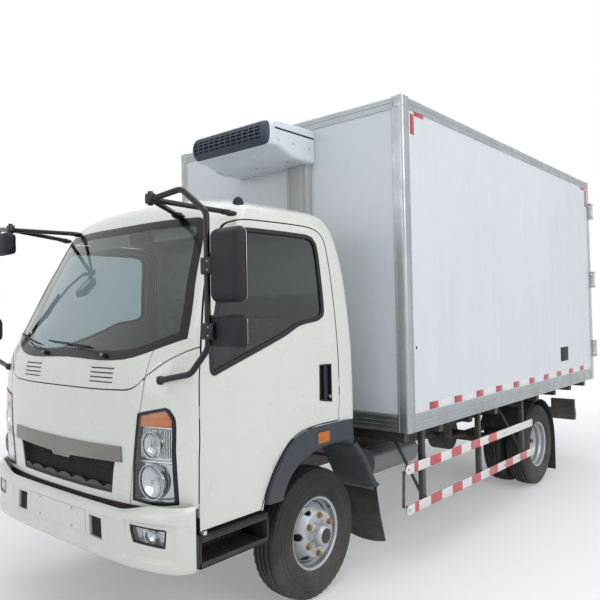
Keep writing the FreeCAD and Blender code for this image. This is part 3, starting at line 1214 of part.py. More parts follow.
mirror_solid = tube(arm_points, d.mirror_tube, 8)
for stay in STAY_SHARES:
    run = [FreeCAD.Vector(cab_x(a), cab_y(b), cab_z(c)) for a, b, c in stay]
    mirror_solid = mirror_solid.fuse(tube(run, d.mirror_tube * 0.8, 8))
knee = arm_points[1]
mirror_solid = mirror_solid.fuse(block(
    knee.x - d.mirror_tube * 2, knee.x + d.mirror_tube * 2, knee.y - d.mirror_tube * 1.6, knee.y + d.mirror_tube * 1.6,
    knee.z - d.mirror_tube * 2, knee.z + d.mirror_tube * 2))
mx = d.mirror_x
my = front_axle - d.mirror_y
for z, height in ((d.mirror_z, d.mirror_height), (d.wide_mirror_z, d.wide_mirror_height)):
    head = mirror_head(mx, my, z, d.mirror_width, height)
    clamp = block(cab_x(ARM_SHARES[3][0]) - d.mirror_tube * 2, mx, my - d.mirror_tube * 2, my + d.mirror_tube,
                  z - d.mirror_tube * 2, z + d.mirror_tube * 2)
    mirror_solid = mirror_solid.fuse(head).fuse(clamp)
mirror_solid = big_solids(mirror_solid.cut(cab_solid(-d.seat_gap, 0)))
front_head = mirror_head(-knee.x, knee.y - d.mirror_depth / 2, knee.z - d.front_mirror_drop, d.front_mirror_width,
                         d.front_mirror_height)
drop = block(-knee.x - d.mirror_tube, -knee.x + d.mirror_tube, knee.y - d.mirror_tube, knee.y + d.mirror_tube,
             knee.z - d.front_mirror_drop, knee.z)
right_mirrors = flipped(mirror_solid).fuse(front_head).fuse(drop).cut(cab_solid(-d.seat_gap, 0))
keep("mirrors", feature("Mirrors", Part.makeCompound([mirror_solid, big_solids(right_mirrors)])))

# front bumper, a thin shell round the cab's lower edge with slots and lamp recesses
BUMPER_SHARES = [
    (0, 0), (0.2, 0.003), (0.38, 0.015), (0.54, 0.04), (0.66, 0.08), (0.76, 0.15), (0.845, 0.255), (0.905, 0.38),
    (0.95, 0.54), (0.98, 0.74), (1, 1),
]
BUMPER_TOP_SHARES = [(0, 0), (0.5, 0.02), (0.62, 0.1), (0.72, 0.5), (0.8, 0.85), (0.88, 1), (1.1, 1)]
SLOT_SHARES = [(0.402, 0.4), (0.428, 0.4), (0.418, 0.76), (0.39, 0.76)]
FOG_SHARES = [(0.69, 0.48), (0.9, 0.48), (0.9, 0.76), (0.87, 0.82), (0.72, 0.82), (0.69, 0.76)]


def bumper_point(a, b):
    return d.bumper_half_width * a, d.bumper_base + d.bumper_height * b


def bumper_body(inset, low, high):
    """The bumper's plan filled in, between two heights."""
    half = [FreeCAD.Vector(a * (d.bumper_half_width - inset), bumper_face + inset + b * d.bumper_sweep, low)
            for a, b in BUMPER_SHARES]
    line = half + [FreeCAD.Vector(-p.x, p.y, low) for p in half[:0:-1]]
    return Part.Face(Part.makePolygon(line + line[:1])).extrude(FreeCAD.Vector(0, 0, high - low))


def bumper_prism(shares, y0, y1):
    """An outline in front view, run rearwards."""
    ring = [FreeCAD.Vector(bumper_point(a, b)[0], y0, bumper_point(a, b)[1]) for a, b in shares]
    return Part.Face(Part.makePolygon(ring + ring[:1])).extrude(FreeCAD.Vector(0, y1 - y0, 0))


bumper_high = d.bumper_base + d.bumper_height + d.bumper_corner_rise
bumper = bumper_body(0, d.bumper_base, bumper_high)
hollow = bumper_body(d.bumper_wall, d.bumper_base - d.overrun, bumper_high + d.overrun)
bumper = bumper.cut(hollow.fuse(hollow.translated(FreeCAD.Vector(0, d.bumper_wall, 0))))
top_line = [(a * d.bumper_half_width, d.bumper_base + d.bumper_height + b * d.bumper_corner_rise)
            for a, b in BUMPER_TOP_SHARES]
over = [(-x, z) for x, z in top_line[:0:-1]] + top_line
over = over + [(over[-1][0], bumper_high + d.overrun), (over[0][0], bumper_high + d.overrun)]
over_ring = [FreeCAD.Vector(x, bumper_face - d.overrun, z) for x, z in over]
bumper = bumper.cut(Part.Face(Part.makePolygon(over_ring + over_ring[:1])).extrude(
    FreeCAD.Vector(0, d.bumper_sweep * 2, 0)))
room = block(-wide, wide, ahead, front_axle - d.cab_front + 3 * d.cab_wall - 2 * d.swing_gap, -wide, wide)
for mirrored in (False, True):
    slot = bumper_prism(SLOT_SHARES, bumper_face - d.overrun, bumper_face + d.bumper_sweep / 2)
    recess = bumper_prism(FOG_SHARES, bumper_face - d.overrun, bumper_face + d.bumper_sweep)
    cup = bumper_prism(FOG_SHARES, bumper_face - d.overrun, bumper_face + d.bumper_sweep)
    cup = cup.common(bumper_body(d.fog_recess, d.bumper_base, bumper_high)).common(room).cut(
        bumper_body(d.fog_recess + d.bumper_wall, d.bumper_base - d.overrun, bumper_high + d.overrun))
    rims = bumper_body(d.bumper_wall / 2, d.bumper_base, bumper_high).cut(
        bumper_body(d.fog_recess + d.bumper_wall, d.bumper_base - d.overrun, bumper_high + d.overrun))
    middle_a = sum(a for a, b in FOG_SHARES) / len(FOG_SHARES)
    middle_b = sum(b for a, b in FOG_SHARES) / len(FOG_SHARES)
    wider = [(middle_a + (a - middle_a) * 1.12, middle_b + (b - middle_b) * 1.12) for a, b in FOG_SHARES]
    walls = bumper_prism(wider, bumper_face - d.overrun, bumper_face + d.bumper_sweep).cut(recess)
    walls = walls.common(rims).common(room)
    if mirrored:
        slot, recess, cup, walls = flipped(slot), flipped(recess), flipped(cup), flipped(walls)
    bumper = bumper.cut(slot).cut(recess).fuse(walls).fuse(cup)
for s in (1, -1):
    x = s * d.rail_x
    z1 = d.rail_top - d.rail_height + d.bumper_arm_height
    bumper = bumper.fuse(block(x - d.rail_flange / 2, x + d.rail_flange / 2, bumper_face + d.bumper_wall,
                               front_axle - d.rail_front, z1 - d.bumper_arm_height, z1))
keep("front_bumper", feature("FrontBumper", big_solids(bumper)))

# step wells under the doors
steps = []
sx = "(step_outer - step_width)"
for side, s in (("Left", 1), ("Right", -1)):
    y0 = FRONT_AXLE + " - step_front"
    x = sx if s > 0 else "-step_outer"
    parts = [
        box("StepFloor" + side, x, y0, "step_top - step_height", "step_width", "step_length", "step_wall"),
        box("StepTop" + side, x, y0, "step_top - step_wall", "step_width", "step_length", "step_wall"),
        box("StepFront" + side, x, y0, "step_top - step_height", "step_width", "step_wall", "step_height"),
        box("StepBack" + side, x, y0 + " + step_length - step_wall", "step_top - step_height", "step_width",
            "step_wall", "step_height"),
    ]
    xb = "rail_x + rail_flange / 2" if s > 0 else "-" + sx + " - step_wall"
    parts.append(box("StepBracket" + side, xb, y0 + " + step_length / 2 - member_width / 2",
                     "step_top - step_wall - axle_beam_flange", sx + " - rail_x - rail_flange / 2 + step_wall",
                     "member_width", "axle_beam_flange"))
    steps.append(fuse("Step" + side, parts))
keep("cab_steps", group("CabSteps", steps))

# side guards between the axles
guards = []
for side, s in (("Left", 1), ("Right", -1)):
    x = GUARD_X + " - guard_thickness" if s > 0 else "-" + GUARD_X
    y0 = FRONT_AXLE + " + guard_front"
    parts = []
    for level in ("guard_low", "guard_high"):
        parts.append(box("GuardRail" + level.split("_")[1].capitalize() + side, x, y0, level, "guard_thickness",
                         "guard_length", "guard_height"))
    for k, share in enumerate((0.12, 0.52, 0.92)):
        px = GUARD_X + " - guard_thickness - guard_post" if s > 0 else "-" + GUARD_X + " + guard_thickness"
        parts.append(box("GuardPost%d%s" % (k, side), px, y0 + " + %g * guard_length" % share, "guard_low",
                         "guard_post", "guard_post", "box_base - guard_low"))
    parts.append(box("GuardEnd" + side, x, y0, "guard_low", "guard_thickness", "guard_post",
                     "guard_high - guard_low"))
    guards.append(fuse("Guard" + side, parts))
keep("side_guards", group("SideGuards", guards))

# rear underride bar with the tail lamps
under_y = "(" + y_rear + " - underride_depth)"
under = [
    box("UnderrideBar", "-underride_half_width", under_y, "underride_base", "2 * underride_half_width",
        "underride_depth", "underride_height"),
]
for side, s in (("Left", 1), ("Right", -1)):
    x = "rail_x - rail_flange / 2" if s > 0 else "-rail_x - rail_flange / 2"
    under.append(box("UnderridePost" + side, x, under_y + " - underride_depth", "underride_base", "rail_flange",
                     "underride_depth", "rail_top - underride_base"))
    lx = "underride_half_width - lamp_width" if s > 0 else "-underride_half_width"
    under.append(box("TailLamp" + side, lx, under_y, "underride_base + underride_height", "lamp_width",
                     "lamp_depth", "lamp_height"))
keep("underride_bar", fuse("Underride", under))

# fuel tank on the right, air tank on the left
tank_x = "-(rail_x + rail_flange / 2 + tank_width)"
tank = box("FuelTankBlock", tank_x, FRONT_AXLE + " + tank_front", "tank_base", "tank_width", "tank_length", "tank_height")
tank_parts = [tank]
for k, share in enumerate((0.2, 0.76)):
    tank_parts.append(box("TankStrap%d" % k, tank_x + " - tank_strap", FRONT_AXLE + " + tank_front + %g * tank_length" % share,
                          "tank_base - tank_strap", "tank_width + tank_strap", "guard_post",
                          "tank_height + 2 * tank_strap"))
keep("fuel_tank", fuse("FuelTank", tank_parts))
air = rod("AirTank", "Y", "rail_x + rail_flange / 2 + air_tank_radius + member_width", FRONT_AXLE + " + tank_front",
          "rail_top - rail_height", "air_tank_radius", "air_tank_length")
strap = box("AirTankStrap", "rail_x + rail_flange / 2", FRONT_AXLE + " + tank_front + air_tank_length / 2",
            "rail_top - rail_height", "member_width + air_tank_radius", "guard_post", "guard_post")
keep("air_tank", fuse("AirTankSolid", [air, strap]))
silencer_y = FRONT_AXLE + " + box_front + member_width"
silencer = rod("Silencer", "Y", "-silencer_x", silencer_y, "rail_top - rail_height - silencer_radius",
               "silencer_radius", "silencer_length")
pipe = rod("TailPipe", "Y", "-silencer_x", silencer_y + " + silencer_length", "rail_top - rail_height - silencer_radius",
           "pipe_radius", "silencer_length")
hanger = box("SilencerHanger", "-(rail_x - rail_flange / 2 + rail_wall)", silencer_y + " + silencer_length / 2",
             "rail_top - rail_height - rail_wall", "rail_x - rail_flange / 2 + rail_wall - silencer_x", "guard_post",
             "rail_wall")
keep("exhaust", fuse("Exhaust", [silencer, pipe, hanger]))

# rear mudguards: arcs over the tyres with flaps behind
guard_solids = []
r0 = d.tyre_radius + d.mudguard_gap
for s in (1, -1):
    outside = s * (d.rear_outer_x + d.tyre_width / 2)
    inside_x = s * (d.rear_outer_x - d.twin_spacing - d.tyre_width / 2)
    x0, x1 = min(outside, inside_x), max(outside, inside_x)
    centre = FreeCAD.Vector(x0, rear_axle, d.tyre_radius)
    ring = Part.makeCylinder(r0 + d.mudguard_wall, x1 - x0, centre, FreeCAD.Vector(1, 0, 0)).cut(
        Part.makeCylinder(r0, x1 - x0, centre, FreeCAD.Vector(1, 0, 0)))
    front_part = block(x0, x1, rear_axle - r0 * 2, rear_axle, d.tyre_radius + 0.45 * r0, wide)
    rear_part = block(x0, x1, rear_axle, rear_axle + r0 * 2, d.tyre_radius, wide)
    ring = ring.common(front_part.fuse(rear_part))
    bearer_y = front_axle + d.box_front + d.rail_cover + 5 * (d.box_length - 2 * d.rail_cover - d.bearer_width) / (
        d.bearer_count - 1)
    hanger = block(x0, x1, bearer_y, bearer_y + d.bearer_width, d.tyre_radius + r0 - d.flap_thickness,
                   d.rail_top + d.sill_height)
    hanger = hanger.cut(Part.makeCylinder(r0 + d.mudguard_wall / 2, x1 - x0, centre, FreeCAD.Vector(1, 0, 0)))
    flap = block(x0, x1, rear_axle + r0, rear_axle + r0 + d.flap_thickness, d.tyre_radius + d.mudguard_wall - d.flap_length,
                 d.tyre_radius + d.mudguard_wall)
    guard_solids.append(ring.fuse(hanger).fuse(flap))
keep("rear_mudguards", feature("RearMudguards", Part.makeCompound(guard_solids)))

# front mudguards behind the cab's flares, carried by arms from the frame
FRONT_GUARD_SHARES = [(0.9667, 0.12), (1.04, 0.0514), (1.1067, -0.0429), (1.16, -0.0686), (1.2, -0.2914)]
fronts = []
for s in (1, -1):
    x0 = d.front_guard_inner if s > 0 else -d.front_guard_outer
    width = d.front_guard_outer - d.front_guard_inner
    line = [FreeCAD.Vector(x0, cab_y(a), cab_z(b)) for a, b in FRONT_GUARD_SHARES]
    back_line = [FreeCAD.Vector(p.x, p.y + d.flap_thickness, p.z + d.flap_thickness / 4) for p in line[::-1]]
    guard = Part.Face(Part.makePolygon(line + back_line + line[:1])).extrude(FreeCAD.Vector(width, 0, 0))
    arm_z = line[1].z
    inner_x = s * (d.rail_x + d.rail_flange / 2)
    outer_x = s * (d.front_guard_inner + d.member_width)
    arm = Part.makeCylinder(d.tie_rod_radius, abs(outer_x - inner_x),
                            FreeCAD.Vector(min(inner_x, outer_x), line[1].y + d.flap_thickness, arm_z),
                            FreeCAD.Vector(1, 0, 0))
    fronts.append(guard.fuse(arm))
keep("front_mudguards", feature("FrontMudguards", Part.makeCompound(fronts)))

doc.recompute()

problems = []
for obj in doc.Objects:
    if "Invalid" in obj.State or "Error" in obj.State:
        problems.append("%s: %s" % (obj.Name, obj.State))
for node, obj in NODES.items():
    shape = obj.Shape
    if shape.isNull() or not shape.isValid() or not shape.Solids:
        problems.append("%s: shape null, not valid or without a solid" % node)
if problems:
    raise RuntimeError("; ".join(problems))

os.makedirs("parts", exist_ok=True)
for node, obj in NODES.items():
    obj.Shape.exportStep("parts/%s.step" % node)
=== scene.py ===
"""Refrigerated delivery truck: its looks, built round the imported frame.

Metres, +Z up, +Y to the rear, +X to the driver's side.
"""
import bpy
import bmesh
import math
import mathutils.kdtree
from mathutils import Matrix, Vector, geometry


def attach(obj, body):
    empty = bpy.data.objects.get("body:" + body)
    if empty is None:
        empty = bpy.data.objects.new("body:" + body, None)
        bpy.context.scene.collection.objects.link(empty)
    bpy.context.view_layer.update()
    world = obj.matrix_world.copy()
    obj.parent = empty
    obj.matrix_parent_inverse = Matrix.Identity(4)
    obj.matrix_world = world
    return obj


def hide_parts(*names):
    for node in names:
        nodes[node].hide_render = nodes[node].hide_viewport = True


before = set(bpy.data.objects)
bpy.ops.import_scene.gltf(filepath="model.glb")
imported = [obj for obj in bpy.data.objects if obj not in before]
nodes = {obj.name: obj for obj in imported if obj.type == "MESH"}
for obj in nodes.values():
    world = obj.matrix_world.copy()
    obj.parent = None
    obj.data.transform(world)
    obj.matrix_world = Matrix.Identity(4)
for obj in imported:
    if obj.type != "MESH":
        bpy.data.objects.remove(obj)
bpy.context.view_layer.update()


# ---------------------------------------------------------------- effects shared by the finishes
def effect(name, inputs, outputs):
    """An empty node group with named inputs (name, kind, value) and outputs (name, kind)."""
    tree = bpy.data.node_groups.new(name, "ShaderNodeTree")
    for label, kind, value in inputs:
        socket = tree.interface.new_socket(label, in_out="INPUT", socket_type="NodeSocket" + kind)
        socket.default_value = value
    for label, kind in outputs:
        tree.interface.new_socket(label, in_out="OUTPUT", socket_type="NodeSocket" + kind)
    return tree, tree.nodes.new("NodeGroupInput"), tree.nodes.new("NodeGroupOutput")


def node(tree, kind, **values):
    """A shader node with its settings and the values of its inputs by name or number."""
    made = tree.nodes.new("ShaderNode" + kind)
    for key, value in values.items():
        if key.startswith("in_"):
            made.inputs[int(key[3:])].default_value = value
        else:
            setattr(made, key, value)
    return made


def sum_of(tree, operation, *terms):
    """One Math node over sockets and plain numbers."""
    made = tree.nodes.new("ShaderNodeMath")
    made.operation = operation
    for place, term in enumerate(terms):
        if isinstance(term, (int, float)):
            made.inputs[place].default_value = term
        else:
            tree.links.new(term, made.inputs[place])
    return made.outputs[0]


def fade(tree, value, low, high, to_low=0.0, to_high=1.0):
    """value between low and high, spread over to_low and to_high."""
    made = tree.nodes.new("ShaderNodeMapRange")
    made.interpolation_type = "SMOOTHSTEP"
    tree.links.new(value, made.inputs[0])
    for place, term in ((1, low), (2, high), (3, to_low), (4, to_high)):
        if isinstance(term, (int, float)):
            made.inputs[place].default_value = term
        else:
            tree.links.new(term, made.inputs[place])
    return made.outputs[0]


def blended(tree, share, first, second):
    """A colour between two colours, by share."""
    made = tree.nodes.new("ShaderNodeMix")
    made.data_type = "RGBA"
    for place, term in ((0, share), (6, first), (7, second)):
        if isinstance(term, bpy.types.NodeSocket):
            tree.links.new(term, made.inputs[place])
        else:
            made.inputs[place].default_value = term
    return made.outputs[2]


def noise_at(tree, where, scale, detail=3.0, rough=0.5, stretch=None):
    """Noise over a place, stretched along the axes if asked."""
    if stretch:
        turn = node(tree, "Mapping")
        turn.inputs["Scale"].default_value = stretch
        tree.links.new(where, turn.inputs[0])
        where = turn.outputs[0]
    made = node(tree, "TexNoise")
    tree.links.new(where, made.inputs["Vector"])
    if isinstance(scale, (int, float)):
        made.inputs["Scale"].default_value = scale
    else:
        tree.links.new(scale, made.inputs["Scale"])
    made.inputs["Detail"].default_value = detail
    made.inputs["Roughness"].default_value = rough
    return made.outputs[0]


def road_dust_effect():
    """Dust that settles low down and in streaks. It gives back the colour and a mask."""
    tree, given, result = effect("road_dust", [
        ("Place", "Vector", (0, 0, 0)), ("Colour", "Color", (0.5, 0.5, 0.5, 1)),
        ("Dust", "Color", (0.30, 0.27, 0.23, 1)), ("Clean above", "Float", 1.4),
        ("Amount", "Float", 0.3), ("Evenly", "Float", 0.05)], [("Colour", "Color"), ("Mask", "Float")])
    split = node(tree, "SeparateXYZ")
    tree.links.new(given.outputs["Place"], split.inputs[0])
    low = fade(tree, split.outputs["Z"], 0.1, given.outputs["Clean above"], 1.0, 0.0)
    patches = fade(tree, noise_at(tree, given.outputs["Place"], 5.0, 6.0, 0.62), 0.32, 0.74)
    streaks = fade(tree, noise_at(tree, given.outputs["Place"], 9.0, 4.0, 0.6, (1, 1, 0.08)), 0.42, 0.8)
    film = sum_of(tree, "MULTIPLY", low, sum_of(tree, "ADD", sum_of(tree, "MULTIPLY", patches, 0.75), 0.35))
    film = sum_of(tree, "MULTIPLY", film, given.outputs["Amount"])
    even = sum_of(tree, "MULTIPLY", streaks, given.outputs["Evenly"])
    mask = sum_of(tree, "MINIMUM", sum_of(tree, "ADD", film, even), 0.95)
    tree.links.new(blended(tree, mask, given.outputs["Colour"], given.outputs["Dust"]), result.inputs["Colour"])
    tree.links.new(mask, result.inputs["Mask"])
    return tree


def mottle_effect():
    """Slow change of tone over a surface, with a finer speckle."""
    tree, given, result = effect("mottle", [
        ("Place", "Vector", (0, 0, 0)), ("Colour", "Color", (0.5, 0.5, 0.5, 1)),
        ("Shade", "Color", (0.4, 0.4, 0.4, 1)), ("Scale", "Float", 3.0), ("Speckle", "Float", 60.0),
        ("Amount", "Float", 0.3)], [("Colour", "Color"), ("Mask", "Float")])
    slow = noise_at(tree, given.outputs["Place"], given.outputs["Scale"], 4.0, 0.55)
    fine = noise_at(tree, given.outputs["Place"], given.outputs["Speckle"], 2.0, 0.6)
    mask = sum_of(tree, "ADD", sum_of(tree, "MULTIPLY", slow, 0.7), sum_of(tree, "MULTIPLY", fine, 0.3))
    mask = sum_of(tree, "MULTIPLY", fade(tree, mask, 0.34, 0.68), given.outputs["Amount"])
    tree.links.new(blended(tree, mask, given.outputs["Colour"], given.outputs["Shade"]), result.inputs["Colour"])
    tree.links.new(mask, result.inputs["Mask"])
    return tree


def rough_effect():
    """Roughness that changes over a surface, raised where a mask says so."""
    tree, given, result = effect("uneven_gloss", [
        ("Place", "Vector", (0, 0, 0)), ("Roughness", "Float", 0.4), ("Change", "Float", 0.1),
        ("Scale", "Float", 8.0), ("Dull where", "Float", 0.0), ("Dull to", "Float", 0.85)],
        [("Roughness", "Float")])
    wave = fade(tree, noise_at(tree, given.outputs["Place"], given.outputs["Scale"], 5.0, 0.6), 0.3, 0.7, -1.0, 1.0)
    base = sum_of(tree, "ADD", given.outputs["Roughness"], sum_of(tree, "MULTIPLY", wave, given.outputs["Change"]))
    left = sum_of(tree, "SUBTRACT", given.outputs["Dull to"], base)
    rough = sum_of(tree, "ADD", base, sum_of(tree, "MULTIPLY", left, given.outputs["Dull where"]))
    tree.links.new(rough, result.inputs["Roughness"])
    return tree


def grain_effect():
    """The height of a moulded grain: fine cells over a slower swell."""
    tree, given, result = effect("moulded_grain", [
        ("Place", "Vector", (0, 0, 0)), ("Cells", "Float", 400.0), ("Swell", "Float", 6.0),
        ("Cell share", "Float", 0.7)], [("Height", "Float")])
    cells = node(tree, "TexVoronoi")
    cells.feature = "SMOOTH_F1"
    tree.links.new(given.outputs["Place"], cells.inputs["Vector"])
    tree.links.new(given.outputs["Cells"], cells.inputs["Scale"])
    swell = noise_at(tree, given.outputs["Place"], given.outputs["Swell"], 3.0, 0.5)
    left = sum_of(tree, "SUBTRACT", 1.0, given.outputs["Cell share"])
    height = sum_of(tree, "ADD", sum_of(tree, "MULTIPLY", cells.outputs["Distance"], given.outputs["Cell share"]),
                    sum_of(tree, "MULTIPLY", swell, left))
    tree.links.new(height, result.inputs["Height"])
    return tree


def brushed_effect():
    """The height and tone of a metal drawn along one axis."""
    tree, given, result = effect("drawn_metal", [
        ("Place", "Vector", (0, 0, 0)), ("Along", "Vector", (1, 1, 0.02)), ("Scale", "Float", 120.0)],
        [("Height", "Float"), ("Tone", "Float")])
    scaled = node(tree, "VectorMath", operation="MULTIPLY")
    tree.links.new(given.outputs["Place"], scaled.inputs[0])
    tree.links.new(given.outputs["Along"], scaled.inputs[1])
    lines = noise_at(tree, scaled.outputs[0], given.outputs["Scale"], 4.0, 0.7)
    tree.links.new(lines, result.inputs["Height"])
    tree.links.new(fade(tree, lines, 0.3, 0.7), result.inputs["Tone"])
    return tree


def chipped_effect():
    """Where a coat is worn on its outer edges and in small chips."""
    tree, given, result = effect("worn_edges", [
        ("Place", "Vector", (0, 0, 0)), ("Reach", "Float", 0.54), ("Chips", "Float", 40.0),
        ("Amount", "Float", 0.5)], [("Mask", "Float")])
    around = tree.nodes.new("ShaderNodeNewGeometry")
    edges = fade(tree, around.outputs["Pointiness"], given.outputs["Reach"], 0.62)
    chips = fade(tree, noise_at(tree, given.outputs["Place"], given.outputs["Chips"], 6.0, 0.7), 0.46, 0.6)
    mask = sum_of(tree, "MULTIPLY", sum_of(tree, "MULTIPLY", edges, chips), given.outputs["Amount"])
    tree.links.new(mask, result.inputs["Mask"])
    return tree


ROAD_DUST = road_dust_effect()
MOTTLE = mottle_effect()
UNEVEN_GLOSS = rough_effect()
MOULDED_GRAIN = grain_effect()
DRAWN_METAL = brushed_effect()
WORN_EDGES = chipped_effect()


def placed(tree, group, where, **values):
    """A group in a material, fed with the place and with its own values."""
    made = tree.nodes.new("ShaderNodeGroup")
    made.node_tree = group
    tree.links.new(where, made.inputs["Place"])
    for key, value in values.items():
        socket = made.inputs[key.replace("_", " ").capitalize()]
        if isinstance(value, bpy.types.NodeSocket):
            tree.links.new(value, socket)
        else:
            socket.default_value = value
    return made


# ---------------------------------------------------------------- finishes
def rgb(red, green, blue):
    """A colour given as the eye sees it, 0 to 255, for a shader."""
    def plain(value):
        value /= 255.0
        return value / 12.92 if value <= 0.04045 else ((value + 0.055) / 1.055) ** 2.4
    return (plain(red), plain(green), plain(blue), 1.0)


def finish(name, colour, roughness, metallic=0.0, shade=None, mottle=0.3, scale=3.0, speckle=60.0,
           dust=0.0, clean_above=1.4, evenly=0.0, dust_colour=(150, 143, 132), change=0.06, gloss_scale=8.0,
           cells=0.0, swell=6.0, cell_share=0.7, grain=0.0, drawn=None, drawn_depth=0.0, drawn_scale=120.0,
           worn=0.0, worn_to=(120, 116, 110), coat=0.0, coat_roughness=0.08, specular=0.5, sheen=0.0, painted=None):
    """An opaque finish: colour with slow mottle, dust and worn edges, uneven gloss and grain."""
    look = bpy.data.materials.new(name)
    look.use_nodes = True
    tree = look.node_tree
    skin = tree.nodes["Principled BSDF"]
    where = node(tree, "TexCoord").outputs["Object"]
    base = rgb(*colour)
    shade = rgb(*shade) if shade else tuple(0.72 * c for c in base[:3]) + (1.0,)
    if painted:
        base = painted(tree, where)
    tone = placed(tree, MOTTLE, where, colour=base, shade=shade, scale=scale, speckle=speckle, amount=mottle)
    top, mask = tone.outputs["Colour"], None
    if worn:
        bare = placed(tree, WORN_EDGES, where, amount=worn)
        top = blended(tree, bare.outputs["Mask"], top, rgb(*worn_to))
    if dust or evenly:
        film = placed(tree, ROAD_DUST, where, colour=top, dust=rgb(*dust_colour), clean_above=clean_above,
                      amount=dust, evenly=evenly)
        top, mask = film.outputs["Colour"], film.outputs["Mask"]
    tree.links.new(top, skin.inputs["Base Color"])
    gloss = placed(tree, UNEVEN_GLOSS, where, roughness=roughness, change=change, scale=gloss_scale)
    if mask:
        tree.links.new(mask, gloss.inputs["Dull where"])
    tree.links.new(gloss.outputs[0], skin.inputs["Roughness"])
    skin.inputs["Metallic"].default_value = metallic
    skin.inputs["Specular IOR Level"].default_value = specular
    skin.inputs["Coat Weight"].default_value = coat
    skin.inputs["Coat Roughness"].default_value = coat_roughness
    skin.inputs["Sheen Weight"].default_value = sheen
    height = None
    if grain:
        made = placed(tree, MOULDED_GRAIN, where, cells=cells or 400.0, swell=swell, cell_share=cell_share)
        height, depth = made.outputs["Height"], grain
    if drawn:
        made = placed(tree, DRAWN_METAL, where, along=drawn, scale=drawn_scale)
        height, depth = made.outputs["Height"], drawn_depth
    if height:
        bump = node(tree, "Bump")
        bump.inputs["Strength"].default_value = 1.0
        bump.inputs["Distance"].default_value = depth
        tree.links.new(height, bump.inputs["Height"])
        tree.links.new(bump.outputs[0], skin.inputs["Normal"])
    return look


def glazing(name, tint, roughness=0.02, film=0.1, transmission=1.0, ior=1.46, ribs=0.0, rib_scale=90.0, axis="X"):
    """Clear or tinted glass and lenses, with a thin film of dust and optional moulded ribs."""
    look = bpy.data.materials.new(name)
    look.use_nodes = True
    tree = look.node_tree
    skin = tree.nodes["Principled BSDF"]
    where = node(tree, "TexCoord").outputs["Object"]
    haze = placed(tree, MOTTLE, where, colour=rgb(*tint), shade=tuple(0.8 * c for c in rgb(*tint)[:3]) + (1.0,),
                  scale=2.0, speckle=24.0, amount=0.25)
    tree.links.new(haze.outputs["Colour"], skin.inputs["Base Color"])
    gloss = placed(tree, UNEVEN_GLOSS, where, roughness=roughness, change=roughness * 0.6, scale=3.0)
    smear = fade(tree, noise_at(tree, where, 7.0, 5.0, 0.6, (1, 1, 0.25)), 0.5, 0.9, 0.0, film)
    tree.links.new(smear, gloss.inputs["Dull where"])
    tree.links.new(gloss.outputs[0], skin.inputs["Roughness"])
    skin.inputs["Metallic"].default_value = 0.0
    skin.inputs["Transmission Weight"].default_value = transmission
    skin.inputs["IOR"].default_value = ior
    if ribs:
        wave = node(tree, "TexWave", bands_direction=axis)
        wave.inputs["Scale"].default_value = rib_scale
        tree.links.new(where, wave.inputs["Vector"])
        bump = node(tree, "Bump")
        bump.inputs["Distance"].default_value = ribs
        tree.links.new(wave.outputs["Color"], bump.inputs["Height"])
        tree.links.new(bump.outputs[0], skin.inputs["Normal"])
    return look


def banded(first, second, pitch, start, axis="Y", slant=0.0):
    """Colour in blocks along an axis, as reflective tape has it."""
    def paint(tree, where):
        split = node(tree, "SeparateXYZ")
        tree.links.new(where, split.inputs[0])
        along = sum_of(tree, "ADD", split.outputs[axis], -start)
        along = sum_of(tree, "ADD", along, sum_of(tree, "MULTIPLY", split.outputs["Z"], slant))
        turns = sum_of(tree, "FRACT", sum_of(tree, "MULTIPLY", along, 1.0 / pitch))
        return blended(tree, fade(tree, turns, 0.498, 0.502), rgb(*first), rgb(*second))
    return paint


